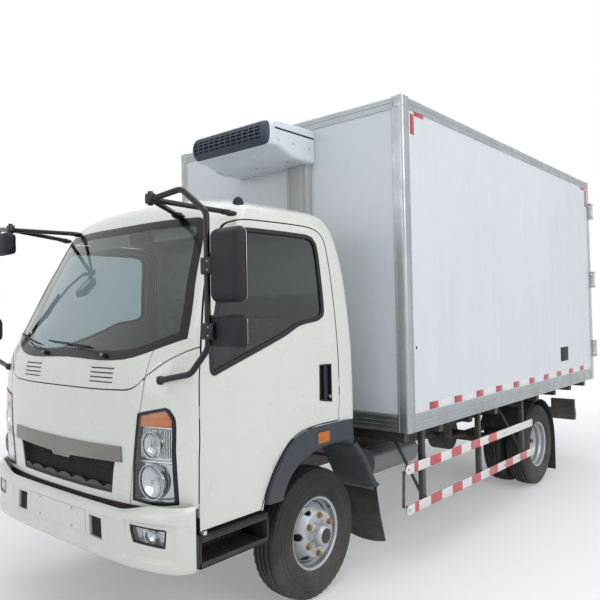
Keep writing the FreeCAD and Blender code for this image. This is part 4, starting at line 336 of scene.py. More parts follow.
LOOKS = {
    "cab_paint": finish("cab_paint", (212, 213, 204), 0.3, shade=(202, 203, 193), mottle=0.35, scale=1.3,
                        speckle=9.0, dust=0.16, clean_above=1.05, evenly=0.05, coat=0.6, coat_roughness=0.06,
                        cells=900, swell=5.0, cell_share=0.12, grain=0.0006, worn=0.12, worn_to=(160, 158, 148)),
    "box_skin": finish("box_skin", (210, 214, 217), 0.34, shade=(199, 204, 207), mottle=0.4, scale=1.1, speckle=14.0,
                       dust=0.13, clean_above=1.5, evenly=0.07, coat=0.25, coat_roughness=0.16, cells=220,
                       swell=2.2, cell_share=0.05, grain=0.0012),
    "box_inner": finish("box_inner", (214, 217, 218), 0.42, shade=(203, 206, 207), mottle=0.4, scale=2.0,
                        cells=160, grain=0.0004),
    "aluminium": finish("aluminium", (176, 181, 184), 0.36, 0.9, shade=(150, 156, 160), mottle=0.5, scale=4.0,
                        dust=0.2, clean_above=1.6, evenly=0.1, drawn=(1, 0.02, 1), drawn_depth=0.0004,
                        drawn_scale=160, change=0.1),
    "upright_aluminium": finish("upright_aluminium", (174, 179, 182), 0.36, 0.9, shade=(148, 154, 158),
                                mottle=0.5, scale=4.0, dust=0.2, clean_above=1.6, evenly=0.1, drawn=(1, 1, 0.02),
                                drawn_depth=0.0004, drawn_scale=160, change=0.1),
    "stainless": finish("stainless", (188, 190, 191), 0.26, 0.95, shade=(160, 162, 165), mottle=0.5, scale=7.0,
                        drawn=(1, 1, 0.05), drawn_depth=0.0003, drawn_scale=220, change=0.1, evenly=0.1),
    "chassis_paint": finish("chassis_paint", (30, 32, 35), 0.46, shade=(20, 22, 24), mottle=0.5, scale=5.0,
                            dust=0.5, clean_above=1.2, evenly=0.05, cells=120, swell=18, cell_share=0.4,
                            grain=0.0008, worn=0.35, worn_to=(104, 78, 60)),
    "axle_paint": finish("axle_paint", (38, 39, 41), 0.55, shade=(26, 26, 27), mottle=0.6, scale=6.0, dust=0.6,
                         clean_above=1.1, cells=90, swell=22, cell_share=0.5, grain=0.0014, worn=0.5,
                         worn_to=(122, 84, 58)),
    "cast_iron": finish("cast_iron", (76, 70, 65), 0.7, 0.5, shade=(96, 66, 48), mottle=0.6, scale=9.0, dust=0.4,
                        clean_above=0.9, cells=110, grain=0.0012),
    "black_plastic": finish("black_plastic", (30, 33, 38), 0.56, shade=(23, 25, 29), mottle=0.5, scale=6.0,
                            dust=0.22, clean_above=1.2, cells=520, grain=0.0006, specular=0.3),
    "slate_plastic": finish("slate_plastic", (52, 58, 66), 0.55, shade=(43, 48, 56), mottle=0.5, scale=5.0,
                            dust=0.25, clean_above=1.1, cells=480, grain=0.0006, specular=0.42),
    "gloss_black": finish("gloss_black", (14, 16, 19), 0.3, shade=(10, 11, 13), mottle=0.4, coat=0.15, specular=0.3),
    "soft_black": finish("soft_black", (22, 23, 25), 0.7, shade=(16, 17, 18), mottle=0.4, scale=9.0, dust=0.2,
                         clean_above=1.2, cells=300, grain=0.0004),
    "tyre_rubber": finish("tyre_rubber", (34, 35, 37), 0.68, shade=(26, 27, 28), mottle=0.5, scale=14.0,
                          dust=0.5, clean_above=0.75, dust_colour=(110, 104, 96), cells=260, swell=30,
                          cell_share=0.4, grain=0.0006, specular=0.36),
    "flap_rubber": finish("flap_rubber", (26, 27, 29), 0.74, shade=(20, 21, 22), mottle=0.5, scale=8.0, dust=0.5,
                          clean_above=0.8, cells=180, grain=0.0008),
    "rim_silver": finish("rim_silver", (186, 190, 194), 0.34, 0.55, shade=(166, 170, 175), mottle=0.4, scale=9.0,
                         dust=0.3, clean_above=0.8, change=0.08, cells=700, grain=0.0003, worn=0.25,
                         worn_to=(90, 88, 86)),
    "brass_nut": finish("brass_nut", (164, 146, 96), 0.36, 0.9, shade=(134, 112, 66), mottle=0.6, scale=20.0,
                        cells=300, grain=0.0003),
    "zinc": finish("zinc", (150, 150, 146), 0.42, 0.85, shade=(120, 120, 116), mottle=0.5, scale=14.0, dust=0.3,
                   clean_above=1.0),
    "reefer_shell": finish("reefer_shell", (214, 219, 224), 0.3, shade=(202, 208, 214), mottle=0.35, scale=3.0,
                           coat=0.3, evenly=0.05, cells=240, swell=5.0, cell_share=0.1, grain=0.0005),
    "reefer_slate": finish("reefer_slate", (46, 56, 72), 0.5, shade=(38, 46, 60), mottle=0.4, scale=8.0,
                           cells=420, grain=0.0004),
    "duct_grey": finish("duct_grey", (168, 170, 170), 0.42, shade=(156, 158, 158), mottle=0.4, scale=3.0,
                        evenly=0.1, cells=200, grain=0.0003),
    "mirror_glass": finish("mirror_glass", (200, 206, 210), 0.04, 1.0, shade=(190, 197, 202), mottle=0.2,
                           change=0.01),
    "reflector": finish("reflector", (214, 216, 218), 0.12, 1.0, shade=(190, 192, 196), mottle=0.3, scale=20.0,
                        change=0.04),
    "bar_metal": finish("bar_metal", (128, 128, 122), 0.3, 0.85, shade=(112, 112, 106), mottle=0.4, scale=5.0,
                        drawn=(0.02, 1, 1), drawn_depth=0.0003, drawn_scale=260),
    "tank_metal": finish("tank_metal", (140, 144, 147), 0.36, 0.85, shade=(118, 122, 126), mottle=0.5, scale=5.0,
                         dust=0.4, clean_above=0.9, drawn=(1, 0.03, 1), drawn_depth=0.0004),
    "silencer_metal": finish("silencer_metal", (120, 112, 102), 0.55, 0.8, shade=(116, 84, 60), mottle=0.6,
                             scale=8.0, dust=0.4, clean_above=0.8, cells=160, grain=0.0006),
    "dash_plastic": finish("dash_plastic", (70, 72, 74), 0.6, shade=(60, 62, 64), mottle=0.4, scale=6.0,
                           cells=360, grain=0.0006, specular=0.4),
    "trim_plastic": finish("trim_plastic", (150, 150, 146), 0.62, shade=(138, 138, 134), mottle=0.4, scale=5.0,
                           cells=420, grain=0.0005),
    "headlining": finish("headlining", (176, 176, 170), 0.9, shade=(164, 164, 158), mottle=0.4, scale=9.0,
                         cells=600, grain=0.0004, sheen=0.2),
    "floor_rubber": finish("floor_rubber", (44, 45, 47), 0.8, shade=(36, 37, 38), mottle=0.5, scale=6.0,
                           dust=0.3, clean_above=1.1, cells=120, grain=0.0012),
    "tape_white": finish("tape_white", (222, 221, 219), 0.3, shade=(206, 206, 205), mottle=0.3, scale=12.0, dust=0.3,
                         clean_above=1.4, cells=260, grain=0.0004, coat=0.3),
    "guard_tape": finish("guard_tape", (200, 200, 200), 0.3, mottle=0.12, scale=12.0, dust=0.3, clean_above=1.2,
                         cells=260, grain=0.0004, coat=0.3,
                         painted=banded((196, 44, 52), (226, 224, 222), 0.32, -1.175)),
    "red_mark": finish("red_mark", (176, 40, 48), 0.34, shade=(156, 32, 40), mottle=0.4, coat=0.3, cells=240,
                       grain=0.0004),
    "amber_shell": finish("amber_shell", (244, 136, 36), 0.26, shade=(226, 108, 24), mottle=0.4, coat=0.5,
                          cells=140, grain=0.0006),
    "amber_lens": glazing("amber_lens", (246, 140, 36), 0.08, 0.1, 0.55, ribs=0.0016, rib_scale=14.0),
    "red_lens": glazing("red_lens", (196, 24, 26), 0.1, 0.1, 0.45, ribs=0.0012, rib_scale=14.0),
    "clear_lens": glazing("clear_lens", (240, 243, 244), 0.015, 0.08),
    "windscreen_glass": glazing("windscreen_glass", (214, 226, 228), 0.012, 0.05),
    "door_glass": glazing("door_glass", (150, 162, 168), 0.02, 0.06),
    "seat_cloth": finish("seat_cloth", (126, 128, 130), 0.9, shade=(104, 106, 109), mottle=0.6, scale=22.0,
                         speckle=240.0, cells=900, swell=60, cell_share=0.7, grain=0.0008, sheen=0.4),
}


# ---------------------------------------------------------------- forms
def new_parts(made):
    """Vertices of a fresh form, its edges and its faces."""
    points = [v for v in made if isinstance(v, bmesh.types.BMVert)]
    inside = set(points)
    edges = [e for e in {e for v in points for e in v.link_edges} if all(v in inside for v in e.verts)]
    faces = [f for f in {f for v in points for f in v.link_faces} if all(v in inside for v in f.verts)]
    return points, edges, faces


def round_off(bm, edges, radius, segments=2):
    return bmesh.ops.bevel(bm, geom=edges, offset=radius, offset_type="OFFSET", segments=segments, profile=0.5,
                           affect="EDGES", clamp_overlap=True, material=-1)


def block(bm, low, high, radius=0.0, look=0, segments=2, turn=None):
    """A block between two corners, its edges rounded."""
    low, high = Vector(low), Vector(high)
    size = [max(b - a, 1e-5) for a, b in zip(low, high)]
    place = Matrix.Translation((low + high) / 2)
    if turn:
        place = place @ turn
    made = bmesh.ops.create_cube(bm, size=1.0, matrix=place @ Matrix.Diagonal((*size, 1.0)))
    points, edges, faces = new_parts(made["verts"])
    for face in faces:
        face.material_index = look
    if radius:
        made = round_off(bm, edges, min(radius, 0.45 * min(size)), segments)
        for face in made["faces"]:
            face.material_index = look
        points = list({v for f in faces + made["faces"] if f.is_valid for v in f.verts})
    return points


def bar(bm, start, end, radius, far_radius=None, look=0, sides=20, edge=0.0, segments=2):
    """A round bar from one point to another, its ends rounded off."""
    start, end = Vector(start), Vector(end)
    run = end - start
    turn = run.to_track_quat("Z", "Y").to_matrix().to_4x4()
    made = bmesh.ops.create_cone(bm, cap_ends=True, cap_tris=False, segments=sides, radius1=radius,
                                 radius2=radius if far_radius is None else far_radius, depth=run.length,
                                 matrix=Matrix.Translation((start + end) / 2) @ turn)
    points, edges, faces = new_parts(made["verts"])
    for face in faces:
        face.material_index = look
    if edge:
        rims = [e for e in edges if any(len(f.verts) > 4 for f in e.link_faces)]
        made = round_off(bm, rims, edge, segments)
        for face in made["faces"]:
            face.material_index = look
    return points


def ball(bm, centre, radii, look=0, sides=20, rings=12):
    """A ball or an egg."""
    made = bmesh.ops.create_uvsphere(bm, u_segments=sides, v_segments=rings, radius=1.0,
                                     matrix=Matrix.Translation(centre) @ Matrix.Diagonal((*radii, 1.0)))
    for face in new_parts(made["verts"])[2]:
        face.material_index = look
    return made["verts"]


def turned(bm, profile, centre, axis=(1, 0, 0), look=0, steps=48, closed=True):
    """A form turned round an axis from (along, radius) points; +along lies on the axis."""
    axis = Vector(axis).normalized()
    out = axis.orthogonal().normalized()
    centre = Vector(centre)
    points = [bm.verts.new(centre + axis * along + out * max(radius, 1e-5)) for along, radius in profile]
    pairs = list(zip(points, points[1:]))
    if closed:
        pairs.append((points[-1], points[0]))
    edges = [bm.edges.new(pair) for pair in pairs]
    bmesh.ops.spin(bm, geom=points + edges, cent=centre, axis=axis, angle=math.tau, steps=steps, use_merge=True,
                   use_duplicate=False)
    ring = {v for e in edges if e.is_valid for v in e.verts}
    grown = set(ring)
    front = set(ring)
    while front:
        front = {e.other_vert(v) for v in front for e in v.link_edges} - grown
        grown |= front
    bmesh.ops.remove_doubles(bm, verts=list(grown), dist=2e-5)
    faces = {f for v in grown if v.is_valid for f in v.link_faces}
    for face in faces:
        face.material_index = look
    return [v for v in grown if v.is_valid]


def plate(bm, outline, away, look=0, corner=0.0, edge=0.0, segments=3, edge_segments=2):
    """A flat outline of points, its corners rounded, run out along a vector."""
    points = [bm.verts.new(Vector(p)) for p in outline]
    face = bm.faces.new(points)
    if corner:
        made = bmesh.ops.bevel(bm, geom=points, offset=corner, offset_type="OFFSET", segments=segments,
                               profile=0.5, affect="VERTICES", clamp_overlap=True, material=-1)
        corners = {v for v in made["verts"] if v.is_valid}
        whole = {f for v in corners for f in v.link_faces} | ({face} if face.is_valid else set())
        face = max(whole, key=lambda f: f.calc_area())
    made = bmesh.ops.extrude_face_region(bm, geom=[face], use_keep_orig=True)
    moved = [v for v in made["geom"] if isinstance(v, bmesh.types.BMVert)]
    bmesh.ops.translate(bm, verts=moved, vec=Vector(away))
    points = list({*moved, *face.verts})
    points, edges, faces = new_parts(points)
    bmesh.ops.recalc_face_normals(bm, faces=faces)
    for each in faces:
        each.material_index = look
    if edge:
        rims = [e for e in edges if len(e.link_faces) == 2
                and any(abs(f.normal.dot(Vector(away).normalized())) > 0.9 for f in e.link_faces)
                and any(abs(f.normal.dot(Vector(away).normalized())) < 0.5 for f in e.link_faces)]
        made = round_off(bm, rims, edge, edge_segments)
        for each in made["faces"]:
            each.material_index = look
        points = list({v for f in faces + made["faces"] if f.is_valid for v in f.verts})
    return points


def mirrored(bm, points):
    """The same form on the other side of the vehicle."""
    parts = list({*points, *{e for v in points for e in v.link_edges}, *{f for v in points for f in v.link_faces}})
    made = bmesh.ops.duplicate(bm, geom=parts)
    copies = [v for v in made["geom"] if isinstance(v, bmesh.types.BMVert)]
    bmesh.ops.scale(bm, verts=copies, vec=(-1, 1, 1))
    faces = [f for f in made["geom"] if isinstance(f, bmesh.types.BMFace)]
    bmesh.ops.reverse_faces(bm, faces=faces)
    return copies


def object_of(bm, name, looks, smooth=32.0):
    """The mesh as an object, doubles merged, faces outwards, shaded smooth up to an angle."""
    bmesh.ops.remove_doubles(bm, verts=bm.verts, dist=1e-5)
    bmesh.ops.dissolve_degenerate(bm, dist=1e-6, edges=bm.edges)
    bmesh.ops.recalc_face_normals(bm, faces=bm.faces)
    mesh = bpy.data.meshes.new(name)
    bm.to_mesh(mesh)
    bm.free()
    for look in looks:
        mesh.materials.append(LOOKS[look])
    mesh.shade_smooth()
    mesh.set_sharp_from_angle(angle=math.radians(smooth))
    made = bpy.data.objects.new(name, mesh)
    bpy.context.scene.collection.objects.link(made)
    return made


def settle(piece, smooth=32.0):
    """Apply a piece's modifiers to its mesh."""
    seen = bpy.context.evaluated_depsgraph_get()
    mesh = bpy.data.meshes.new_from_object(piece.evaluated_get(seen), preserve_all_data_layers=True, depsgraph=seen)
    old = piece.data
    piece.modifiers.clear()
    piece.data = mesh
    bpy.data.meshes.remove(old)
    mesh.shade_smooth()
    mesh.set_sharp_from_angle(angle=math.radians(smooth))
    return piece


def fit_together(piece, tool, operation):
    """Cut a piece by a tool, or keep what both share."""
    whole = piece.data.copy()
    for solver in ("EXACT", "FAST"):
        modifier = piece.modifiers.new(operation, "BOOLEAN")
        modifier.operation = operation
        modifier.solver = solver
        modifier.object = tool
        settle(piece)
        if len(piece.data.polygons):
            break
        piece.data = whole.copy()
    return piece


def discard(*tools):
    for tool in tools:
        mesh = tool.data
        bpy.data.objects.remove(tool)
        bpy.data.meshes.remove(mesh)


def copy_of(piece, name):
    made = piece.copy()
    made.data = piece.data.copy()
    made.name = made.data.name = name
    bpy.context.scene.collection.objects.link(made)
    return made


def softened(piece, width=0.003, segments=2, angle=38):
    """Rounded edges, as pressed sheet and mouldings have."""
    modifier = piece.modifiers.new("edges", "BEVEL")
    modifier.width = width
    modifier.segments = segments
    modifier.limit_method = "ANGLE"
    modifier.angle_limit = math.radians(angle)
    modifier.harden_normals = False
    modifier.miter_outer = "MITER_ARC"
    return piece


def tube(name, route, radius, looks, order=3, resolution=6, sides=4):
    """A bent tube through a few points, as one closed mesh."""
    curve = bpy.data.curves.new(name, "CURVE")
    curve.dimensions = "3D"
    curve.bevel_depth = radius
    curve.bevel_resolution = sides
    curve.use_fill_caps = True
    line = curve.splines.new("NURBS")
    line.points.add(len(route) - 1)
    for point, place in zip(line.points, route):
        point.co = (*place, 1.0)
    line.order_u = order
    line.use_endpoint_u = True
    line.resolution_u = resolution
    curve_object = bpy.data.objects.new(name + "_line", curve)
    bpy.context.scene.collection.objects.link(curve_object)
    seen = bpy.context.evaluated_depsgraph_get()
    mesh = bpy.data.meshes.new_from_object(curve_object.evaluated_get(seen), depsgraph=seen)
    bpy.data.objects.remove(curve_object)
    bpy.data.curves.remove(curve)
    bm = bmesh.new()
    bm.from_mesh(mesh)
    bpy.data.meshes.remove(mesh)
    for face in bm.faces:
        face.material_index = 0
    return object_of(bm, name, looks, 40)


def bent(route, radius_at_corners):
    """Route points doubled near each corner, so that the runs stay straight."""
    points = [Vector(p) for p in route]
    line = [points[0]]
    for before, corner, after in zip(points, points[1:], points[2:]):
        for other in (before, after):
            away = other - corner
            line.append(corner + away.normalized() * min(radius_at_corners, away.length * 0.45))
        line.insert(-1, corner)
    line.append(points[-1])
    return line


def joined(pieces, name):
    """Several pieces as one."""
    bm = bmesh.new()
    looks = []
    for piece in pieces:
        kept = len(bm.faces)
        bm.from_mesh(piece.data)
        bm.faces.ensure_lookup_table()
        slots = []
        for material in piece.data.materials:
            if material.name not in looks:
                looks.append(material.name)
            slots.append(looks.index(material.name))
        for face in bm.faces[kept:]:
            face.material_index = slots[min(face.material_index, len(slots) - 1)]
    discard(*pieces)
    return object_of(bm, name, looks)


def put(piece, body, *stands_for):
    """The piece rides on its body, and stands for the CAD nodes named."""
    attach(piece, body)
    if stands_for:
        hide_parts(*stands_for)
    return piece


def wear(node_name, *looks):
    """Give a CAD node its finish."""
    mesh = nodes[node_name].data
    mesh.materials.clear()
    for look in looks:
        mesh.materials.append(LOOKS[look])


# ---------------------------------------------------------------- CAD nodes that keep their shape
for names, look in (
        (("frame_rails", "cross_members", "box_sills", "cab_mounts", "underride_bar"), "chassis_paint"),
        (("front_axle", "knuckle_left", "knuckle_right", "tie_rod", "rear_axle", "leaf_springs"), "axle_paint"),
        (("engine_block",), "cast_iron"), (("box_panels",), "box_skin"), (("box_floor",), "box_inner"),
        (("box_edge_rails",), "aluminium"), (("rear_frame",), "stainless"),
        (("rear_door_left", "rear_door_right"), "box_skin"), (("reefer_unit",), "reefer_shell"),
        (("reefer_grille",), "reefer_slate"), (("evaporator",), "reefer_shell"),
        (("cab_roof", "cab_front_panel", "cab_back_wall", "cab_door_left", "cab_door_right"), "cab_paint"),
        (("windscreen",), "windscreen_glass"), (("door_window_left", "door_window_right"), "door_glass"),
        (("headlamps",), "clear_lens"), (("grille",), "black_plastic"), (("cab_floor",), "floor_rubber"),
        (("dashboard",), "dash_plastic"), (("seats",), "seat_cloth"), (("steering_wheel",), "soft_black"),
        (("wheel_flares",), "slate_plastic"), (("mirrors",), "black_plastic"), (("front_bumper",), "cab_paint"),
        (("cab_steps", "rear_mudguards", "front_mudguards"), "black_plastic"), (("side_guards",), "guard_tape"),
        (("fuel_tank", "air_tank"), "tank_metal"), (("exhaust",), "silencer_metal"),
        (("rim_front_left", "rim_front_right", "rims_rear_left", "rims_rear_right"), "rim_silver"),
        (("tyre_front_left", "tyre_front_right", "tyres_rear_left", "tyres_rear_right"), "tyre_rubber")):
    for name in names:
        wear(name, look)


# ---------------------------------------------------------------- wheels
FRONT_AXLE, REAR_AXLE, WHEEL_HEIGHT = -1.805, 1.485, 0.386
FRONT_WHEEL, TWIN_OUTER, TWIN_INNER = 0.801, 0.942, 0.710
FRONT_NAVE, TWIN_NAVE = 0.104, 0.107
TYRE_SIDE = [
    (0.068, 0.2075), (0.078, 0.2082), (0.0835, 0.2125), (0.0842, 0.219), (0.086, 0.226), (0.0905, 0.2335),
    (0.0945, 0.246), (0.0945, 0.2475), (0.0962, 0.2485), (0.0972, 0.2600), (0.0972, 0.2615), (0.0988, 0.2625),
    (0.0996, 0.281), (0.0994, 0.300), (0.0978, 0.3005), (0.0974, 0.303), (0.0985, 0.3035), (0.0966, 0.323),
    (0.0950, 0.3235), (0.0946, 0.3262), (0.0955, 0.3268), (0.0922, 0.343), (0.0895, 0.352), (0.0868, 0.3585),
    (0.0845, 0.3635), (0.0800, 0.3705),
]
TREAD = [(0.0755, 0.3788), (0.0560, 0.3828), (0.0545, 0.3820), (0.0525, 0.3705), (0.0455, 0.3705),
         (0.0435, 0.3830), (0.0420, 0.3838), (0.0215, 0.3858), (0.0200, 0.3850), (0.0180, 0.3715),
         (0.0105, 0.3715), (0.0085, 0.3852), (0.0070, 0.3859)]


def tyre(bm, x, y):
    """A ribbed road tyre: bead, side wall with its rings, zigzag grooves and notched shoulders."""
    half = TYRE_SIDE + TREAD
    lining = [(0.0, 0.352), (0.055, 0.348), (0.078, 0.330), (0.086, 0.300), (0.086, 0.265), (0.076, 0.236),
              (0.062, 0.218), (0.060, 0.209)]
    outside = [(-a, r) for a, r in half] + [(a, r) for a, r in reversed(half)]
    inside = [(a, r) for a, r in reversed(lining[1:])] + [(-a, r) for a, r in lining]
    steps = 96
    points = turned(bm, outside + inside, (x, y, WHEEL_HEIGHT), (1, 0, 0), 0, steps)
    for v in points:
        across = v.co.x - x
        radius = math.hypot(v.co.y - y, v.co.z - WHEEL_HEIGHT)
        turn = math.atan2(v.co.z - WHEEL_HEIGHT, v.co.y - y) / math.tau * steps
        if radius > 0.3695 and abs(across) < 0.060:
            v.co.x += 0.0026 * math.cos(math.pi * round(turn) / 2 + 0.6)
        if radius > 0.3695 and 0.0750 < abs(across) < 0.0805 and round(turn) % 2:
            shrink = 1 - 0.0052 / radius
            v.co.y = y + (v.co.y - y) * shrink
            v.co.z = WHEEL_HEIGHT + (v.co.z - WHEEL_HEIGHT) * shrink
    return points


def tyres(name, places, body, cad_node):
    bm = bmesh.new()
    for x, y in places:
        tyre(bm, x, y)
    put(object_of(bm, name, ["tyre_rubber"], 24), body, cad_node)


RIM_BARREL = [(-0.084, 0.2165), (-0.0825, 0.2178), (-0.0795, 0.2170), (-0.0765, 0.2100), (-0.0745, 0.2055),
              (-0.050, 0.2020), (-0.036, 0.1920), (0.020, 0.1900), (0.036, 0.2020), (0.0745, 0.2055),
              (0.0765, 0.2100), (0.0795, 0.2170), (0.0825, 0.2178), (0.084, 0.2165), (0.0822, 0.2095),
              (0.0790, 0.2010), (0.0760, 0.1985), (0.042, 0.1955), (0.028, 0.1830), (-0.040, 0.1830),
              (-0.054, 0.1955), (-0.076, 0.1985), (-0.080, 0.2020), (-0.0825, 0.2095)]


def disc_profile(nave, out=0.020, thick=0.009):
    """The dished disc: from the barrel to the bolt face, as thick sheet."""
    front = [(out - 0.006, 0.1822), (out + 0.004, 0.1760), (nave * 0.45 + out * 0.55, 0.1630),
             (nave - 0.010, 0.1400), (nave, 0.1320), (nave, 0.0700)]
    back = [(a - thick, r - 0.002) for a, r in reversed(front[1:-1])]
    return front + [(nave - thick, 0.0700)] + back + [(out - 0.006 - thick, 0.1822)]


def rim(name, x, side, nave, looks):
    """One road wheel: barrel and dished disc with hand holes, the bolt face at nave along the axle."""
    axis = (side, 0, 0)
    centre = Vector((x, 0, WHEEL_HEIGHT))
    bm = bmesh.new()
    turned(bm, RIM_BARREL, centre, axis, 0, 72)
    barrel = object_of(bm, name + "_barrel", looks, 30)
    bm = bmesh.new()
    profile = disc_profile(abs(nave))
    if nave < 0:
        profile = [(-a, r) for a, r in profile]
    turned(bm, profile, centre, axis, 0, 72)
    disc = object_of(bm, name + "_disc", looks, 30)
    bm = bmesh.new()
    for k in range(6):
        angle = math.radians(56 + 60 * k)
        spot = centre + Vector((0, math.cos(angle) * 0.1535, math.sin(angle) * 0.1535))
        points = bar(bm, spot - Vector((0.2, 0, 0)), spot + Vector((0.2, 0, 0)), 0.0195, sides=24)
        flat = Matrix.Rotation(angle, 4, "X")
        bmesh.ops.scale(bm, verts=points, vec=(1, 0.86, 1.18),
                        space=(Matrix.Translation(spot) @ flat).inverted())
    holes = object_of(bm, name + "_holes", looks, 30)
    fit_together(disc, holes, "DIFFERENCE")
    discard(holes)
    softened(disc, 0.0022, 2, 40)
    settle(disc, 40)
    return barrel, disc


def hub(bm, face, side, drum_from, drum_width):
    """Hub cap with its bolted rim and dark centre, the wheel nuts and studs, and the drum behind."""
    centre = Vector((face, 0, WHEEL_HEIGHT))
    axis = Vector((side, 0, 0))
    cap = [(-0.012, 0.0), (-0.012, 0.0790), (0.0, 0.0790), (0.004, 0.0770), (0.006, 0.0700), (0.016, 0.0665),
           (0.036, 0.0640), (0.048, 0.0600), (0.0555, 0.0520), (0.0575, 0.0440), (0.0550, 0.0420),
           (0.0540, 0.0300), (0.0575, 0.0280), (0.0590, 0.0200), (0.0600, 0.0)]
    turned(bm, cap, centre, axis, 0, 40, closed=False)
    dark = [(0.0545, 0.0), (0.0545, 0.0440), (0.0585, 0.0425), (0.0600, 0.0380), (0.0605, 0.0)]
    turned(bm, dark, centre, axis, 4, 32, closed=False)
    for k in range(8):
        angle = math.tau * (k + 0.5) / 8
        spot = centre + Vector((0, math.cos(angle) * 0.0735, math.sin(angle) * 0.0735))
        bar(bm, spot, spot + axis * 0.0085, 0.0056, look=3, sides=6, edge=0.001, segments=1)
    for k in range(6):
        angle = math.radians(26 + 60 * k)
        spot = centre + Vector((0, math.cos(angle) * 0.111, math.sin(angle) * 0.111))
        bar(bm, spot - axis * 0.004, spot + axis * 0.0035, 0.0205, look=1, sides=24, edge=0.0012)
        bar(bm, spot, spot + axis * 0.020, 0.0158, look=1, sides=6, edge=0.0022)
        bar(bm, spot, spot + axis * 0.0255, 0.0088, 0.0076, look=3, sides=14, edge=0.0012)
    drum = [(0.0, 0.052), (0.0, 0.118), (-0.004, 0.1215), (-0.014, 0.1215), (-0.018, 0.117),
            (-drum_width + 0.016, 0.117), (-drum_width + 0.012, 0.1215), (-drum_width, 0.1215), (-drum_width, 0.052)]
    turned(bm, drum, (drum_from, 0, WHEEL_HEIGHT), axis, 2, 48)


def wheel_rims():
    for side, sign in (("left", 1), ("right", -1)):
        looks = ["rim_silver"]
        hub_looks = ["rim_silver", "brass_nut", "cast_iron", "zinc", "soft_black"]
        x = sign * FRONT_WHEEL
        pieces = list(rim("rim_" + side, x, sign, FRONT_NAVE, looks))
        bm = bmesh.new()
        hub(bm, x + sign * FRONT_NAVE, sign, x + sign * (FRONT_NAVE - 0.010), 0.066)
        valve = Vector((x + sign * 0.060, 0.140, WHEEL_HEIGHT + 0.120))
        bar(bm, valve, valve + Vector((sign * 0.028, 0.0, 0.006)), 0.0045, 0.0035, look=4, sides=10, edge=0.0008)
        pieces.append(object_of(bm, "hub_" + side, hub_looks, 34))
        whole = joined(pieces, "wheel_rim_front_" + side)
        whole.data.transform(Matrix.Translation((0, FRONT_AXLE, 0)))
        put(whole, "wheel_front_" + side, "rim_front_" + side)

        outer, inner = sign * TWIN_OUTER, sign * TWIN_INNER
        pieces = list(rim("rim_outer_" + side, outer, sign, -TWIN_NAVE, looks))
        pieces += list(rim("rim_inner_" + side, inner, sign, TWIN_NAVE, looks))
        bm = bmesh.new()
        hub(bm, outer - sign * TWIN_NAVE, sign, inner + sign * (TWIN_NAVE - 0.009), 0.094)
        pieces.append(object_of(bm, "hub_rear_" + side, hub_looks, 34))
        whole = joined(pieces, "wheel_rims_rear_" + side)
        whole.data.transform(Matrix.Translation((0, REAR_AXLE, 0)))
        put(whole, "wheels_rear_" + side, "rims_rear_" + side)


for side, sign in (("left", 1), ("right", -1)):
    tyres("tyre_front_" + side + "_ribbed", [(sign * FRONT_WHEEL, FRONT_AXLE)], "wheel_front_" + side,
          "tyre_front_" + side)
    tyres("tyres_rear_" + side + "_ribbed", [(sign * TWIN_OUTER, REAR_AXLE), (sign * TWIN_INNER, REAR_AXLE)],
          "wheels_rear_" + side, "tyres_rear_" + side)
wheel_rims()


# ---------------------------------------------------------------- cab: one smooth skin, split where its panels meet
CAB_FRONT_Y, CAB_BASE_Z = -2.945, 0.65
CAB_LENGTH, CAB_HEIGHT, CAB_HALF = 1.5, 1.75, 0.94
CAB_ROWS = [
    (-0.0286, 0.0093, 0.8298, 0.052, 0.9255, 0.0893, 0.984, 0.1313, 0.9933),
    (0.0857, 0.004, 0.8404, 0.0453, 0.9362, 0.0827, 0.9915, 0.128, 0.9987),
    (0.2286, 0.0, 0.8511, 0.0387, 0.9447, 0.076, 0.9979, 0.1253, 1.0),
    (0.3886, 0.004, 0.8511, 0.0467, 0.9489, 0.0867, 0.9957, 0.1267, 1.0),
    (0.4743, 0.0227, 0.8574, 0.0707, 0.9404, 0.1033, 0.9915, 0.1433, 0.9987),
    (0.5429, 0.056, 0.9191, 0.1307, 0.9596, 0.1547, 0.9851, 0.1933, 0.9947),
    (0.6286, 0.1033, 0.8787, 0.1733, 0.917, 0.1913, 0.9755, 0.2467, 0.988),
    (0.7143, 0.1507, 0.8362, 0.2133, 0.8787, 0.23, 0.9628, 0.2933, 0.9787),
    (0.8, 0.1967, 0.7957, 0.26, 0.8457, 0.2787, 0.9447, 0.3453, 0.964),
    (0.8743, 0.2373, 0.7596, 0.3, 0.8128, 0.3233, 0.9234, 0.3867, 0.9413),
    (0.9143, 0.2613, 0.7362, 0.324, 0.7894, 0.348, 0.9043, 0.4133, 0.92),
    (0.9486, 0.2893, 0.6915, 0.348, 0.7574, 0.3733, 0.867, 0.4367, 0.8867),
    (0.9714, 0.3213, 0.6064, 0.3733, 0.6809, 0.4, 0.7766, 0.4633, 0.8333),
    (0.9886, 0.3693, 0.4787, 0.4067, 0.5532, 0.432, 0.634, 0.49, 0.7533),
    (1.0, 0.4667, 0.2553, 0.4867, 0.3191, 0.5053, 0.3723, 0.5467, 0.64),
]
DOOR_EDGE = [
    (0.13, 0), (0.1293, 0.2), (0.1307, 0.3886), (0.136, 0.4571), (0.156, 0.5371), (0.1867, 0.6171),
    (0.222, 0.7), (0.26, 0.7714), (0.2967, 0.8286), (0.3233, 0.8657), (0.3467, 0.8886),
    (0.3867, 0.8994), (0.48, 0.904), (0.74, 0.9063), (0.8067, 0.8983), (0.8433, 0.88),
    (0.862, 0.8457), (0.8747, 0.7143), (0.8867, 0.52), (0.8893, 0.3714), (0.8867, 0.2206),
    (0.6967, 0.2171), (0.5867, 0.192), (0.5067, 0.1286), (0.46, 0.0686), (0.4187, 0),
]
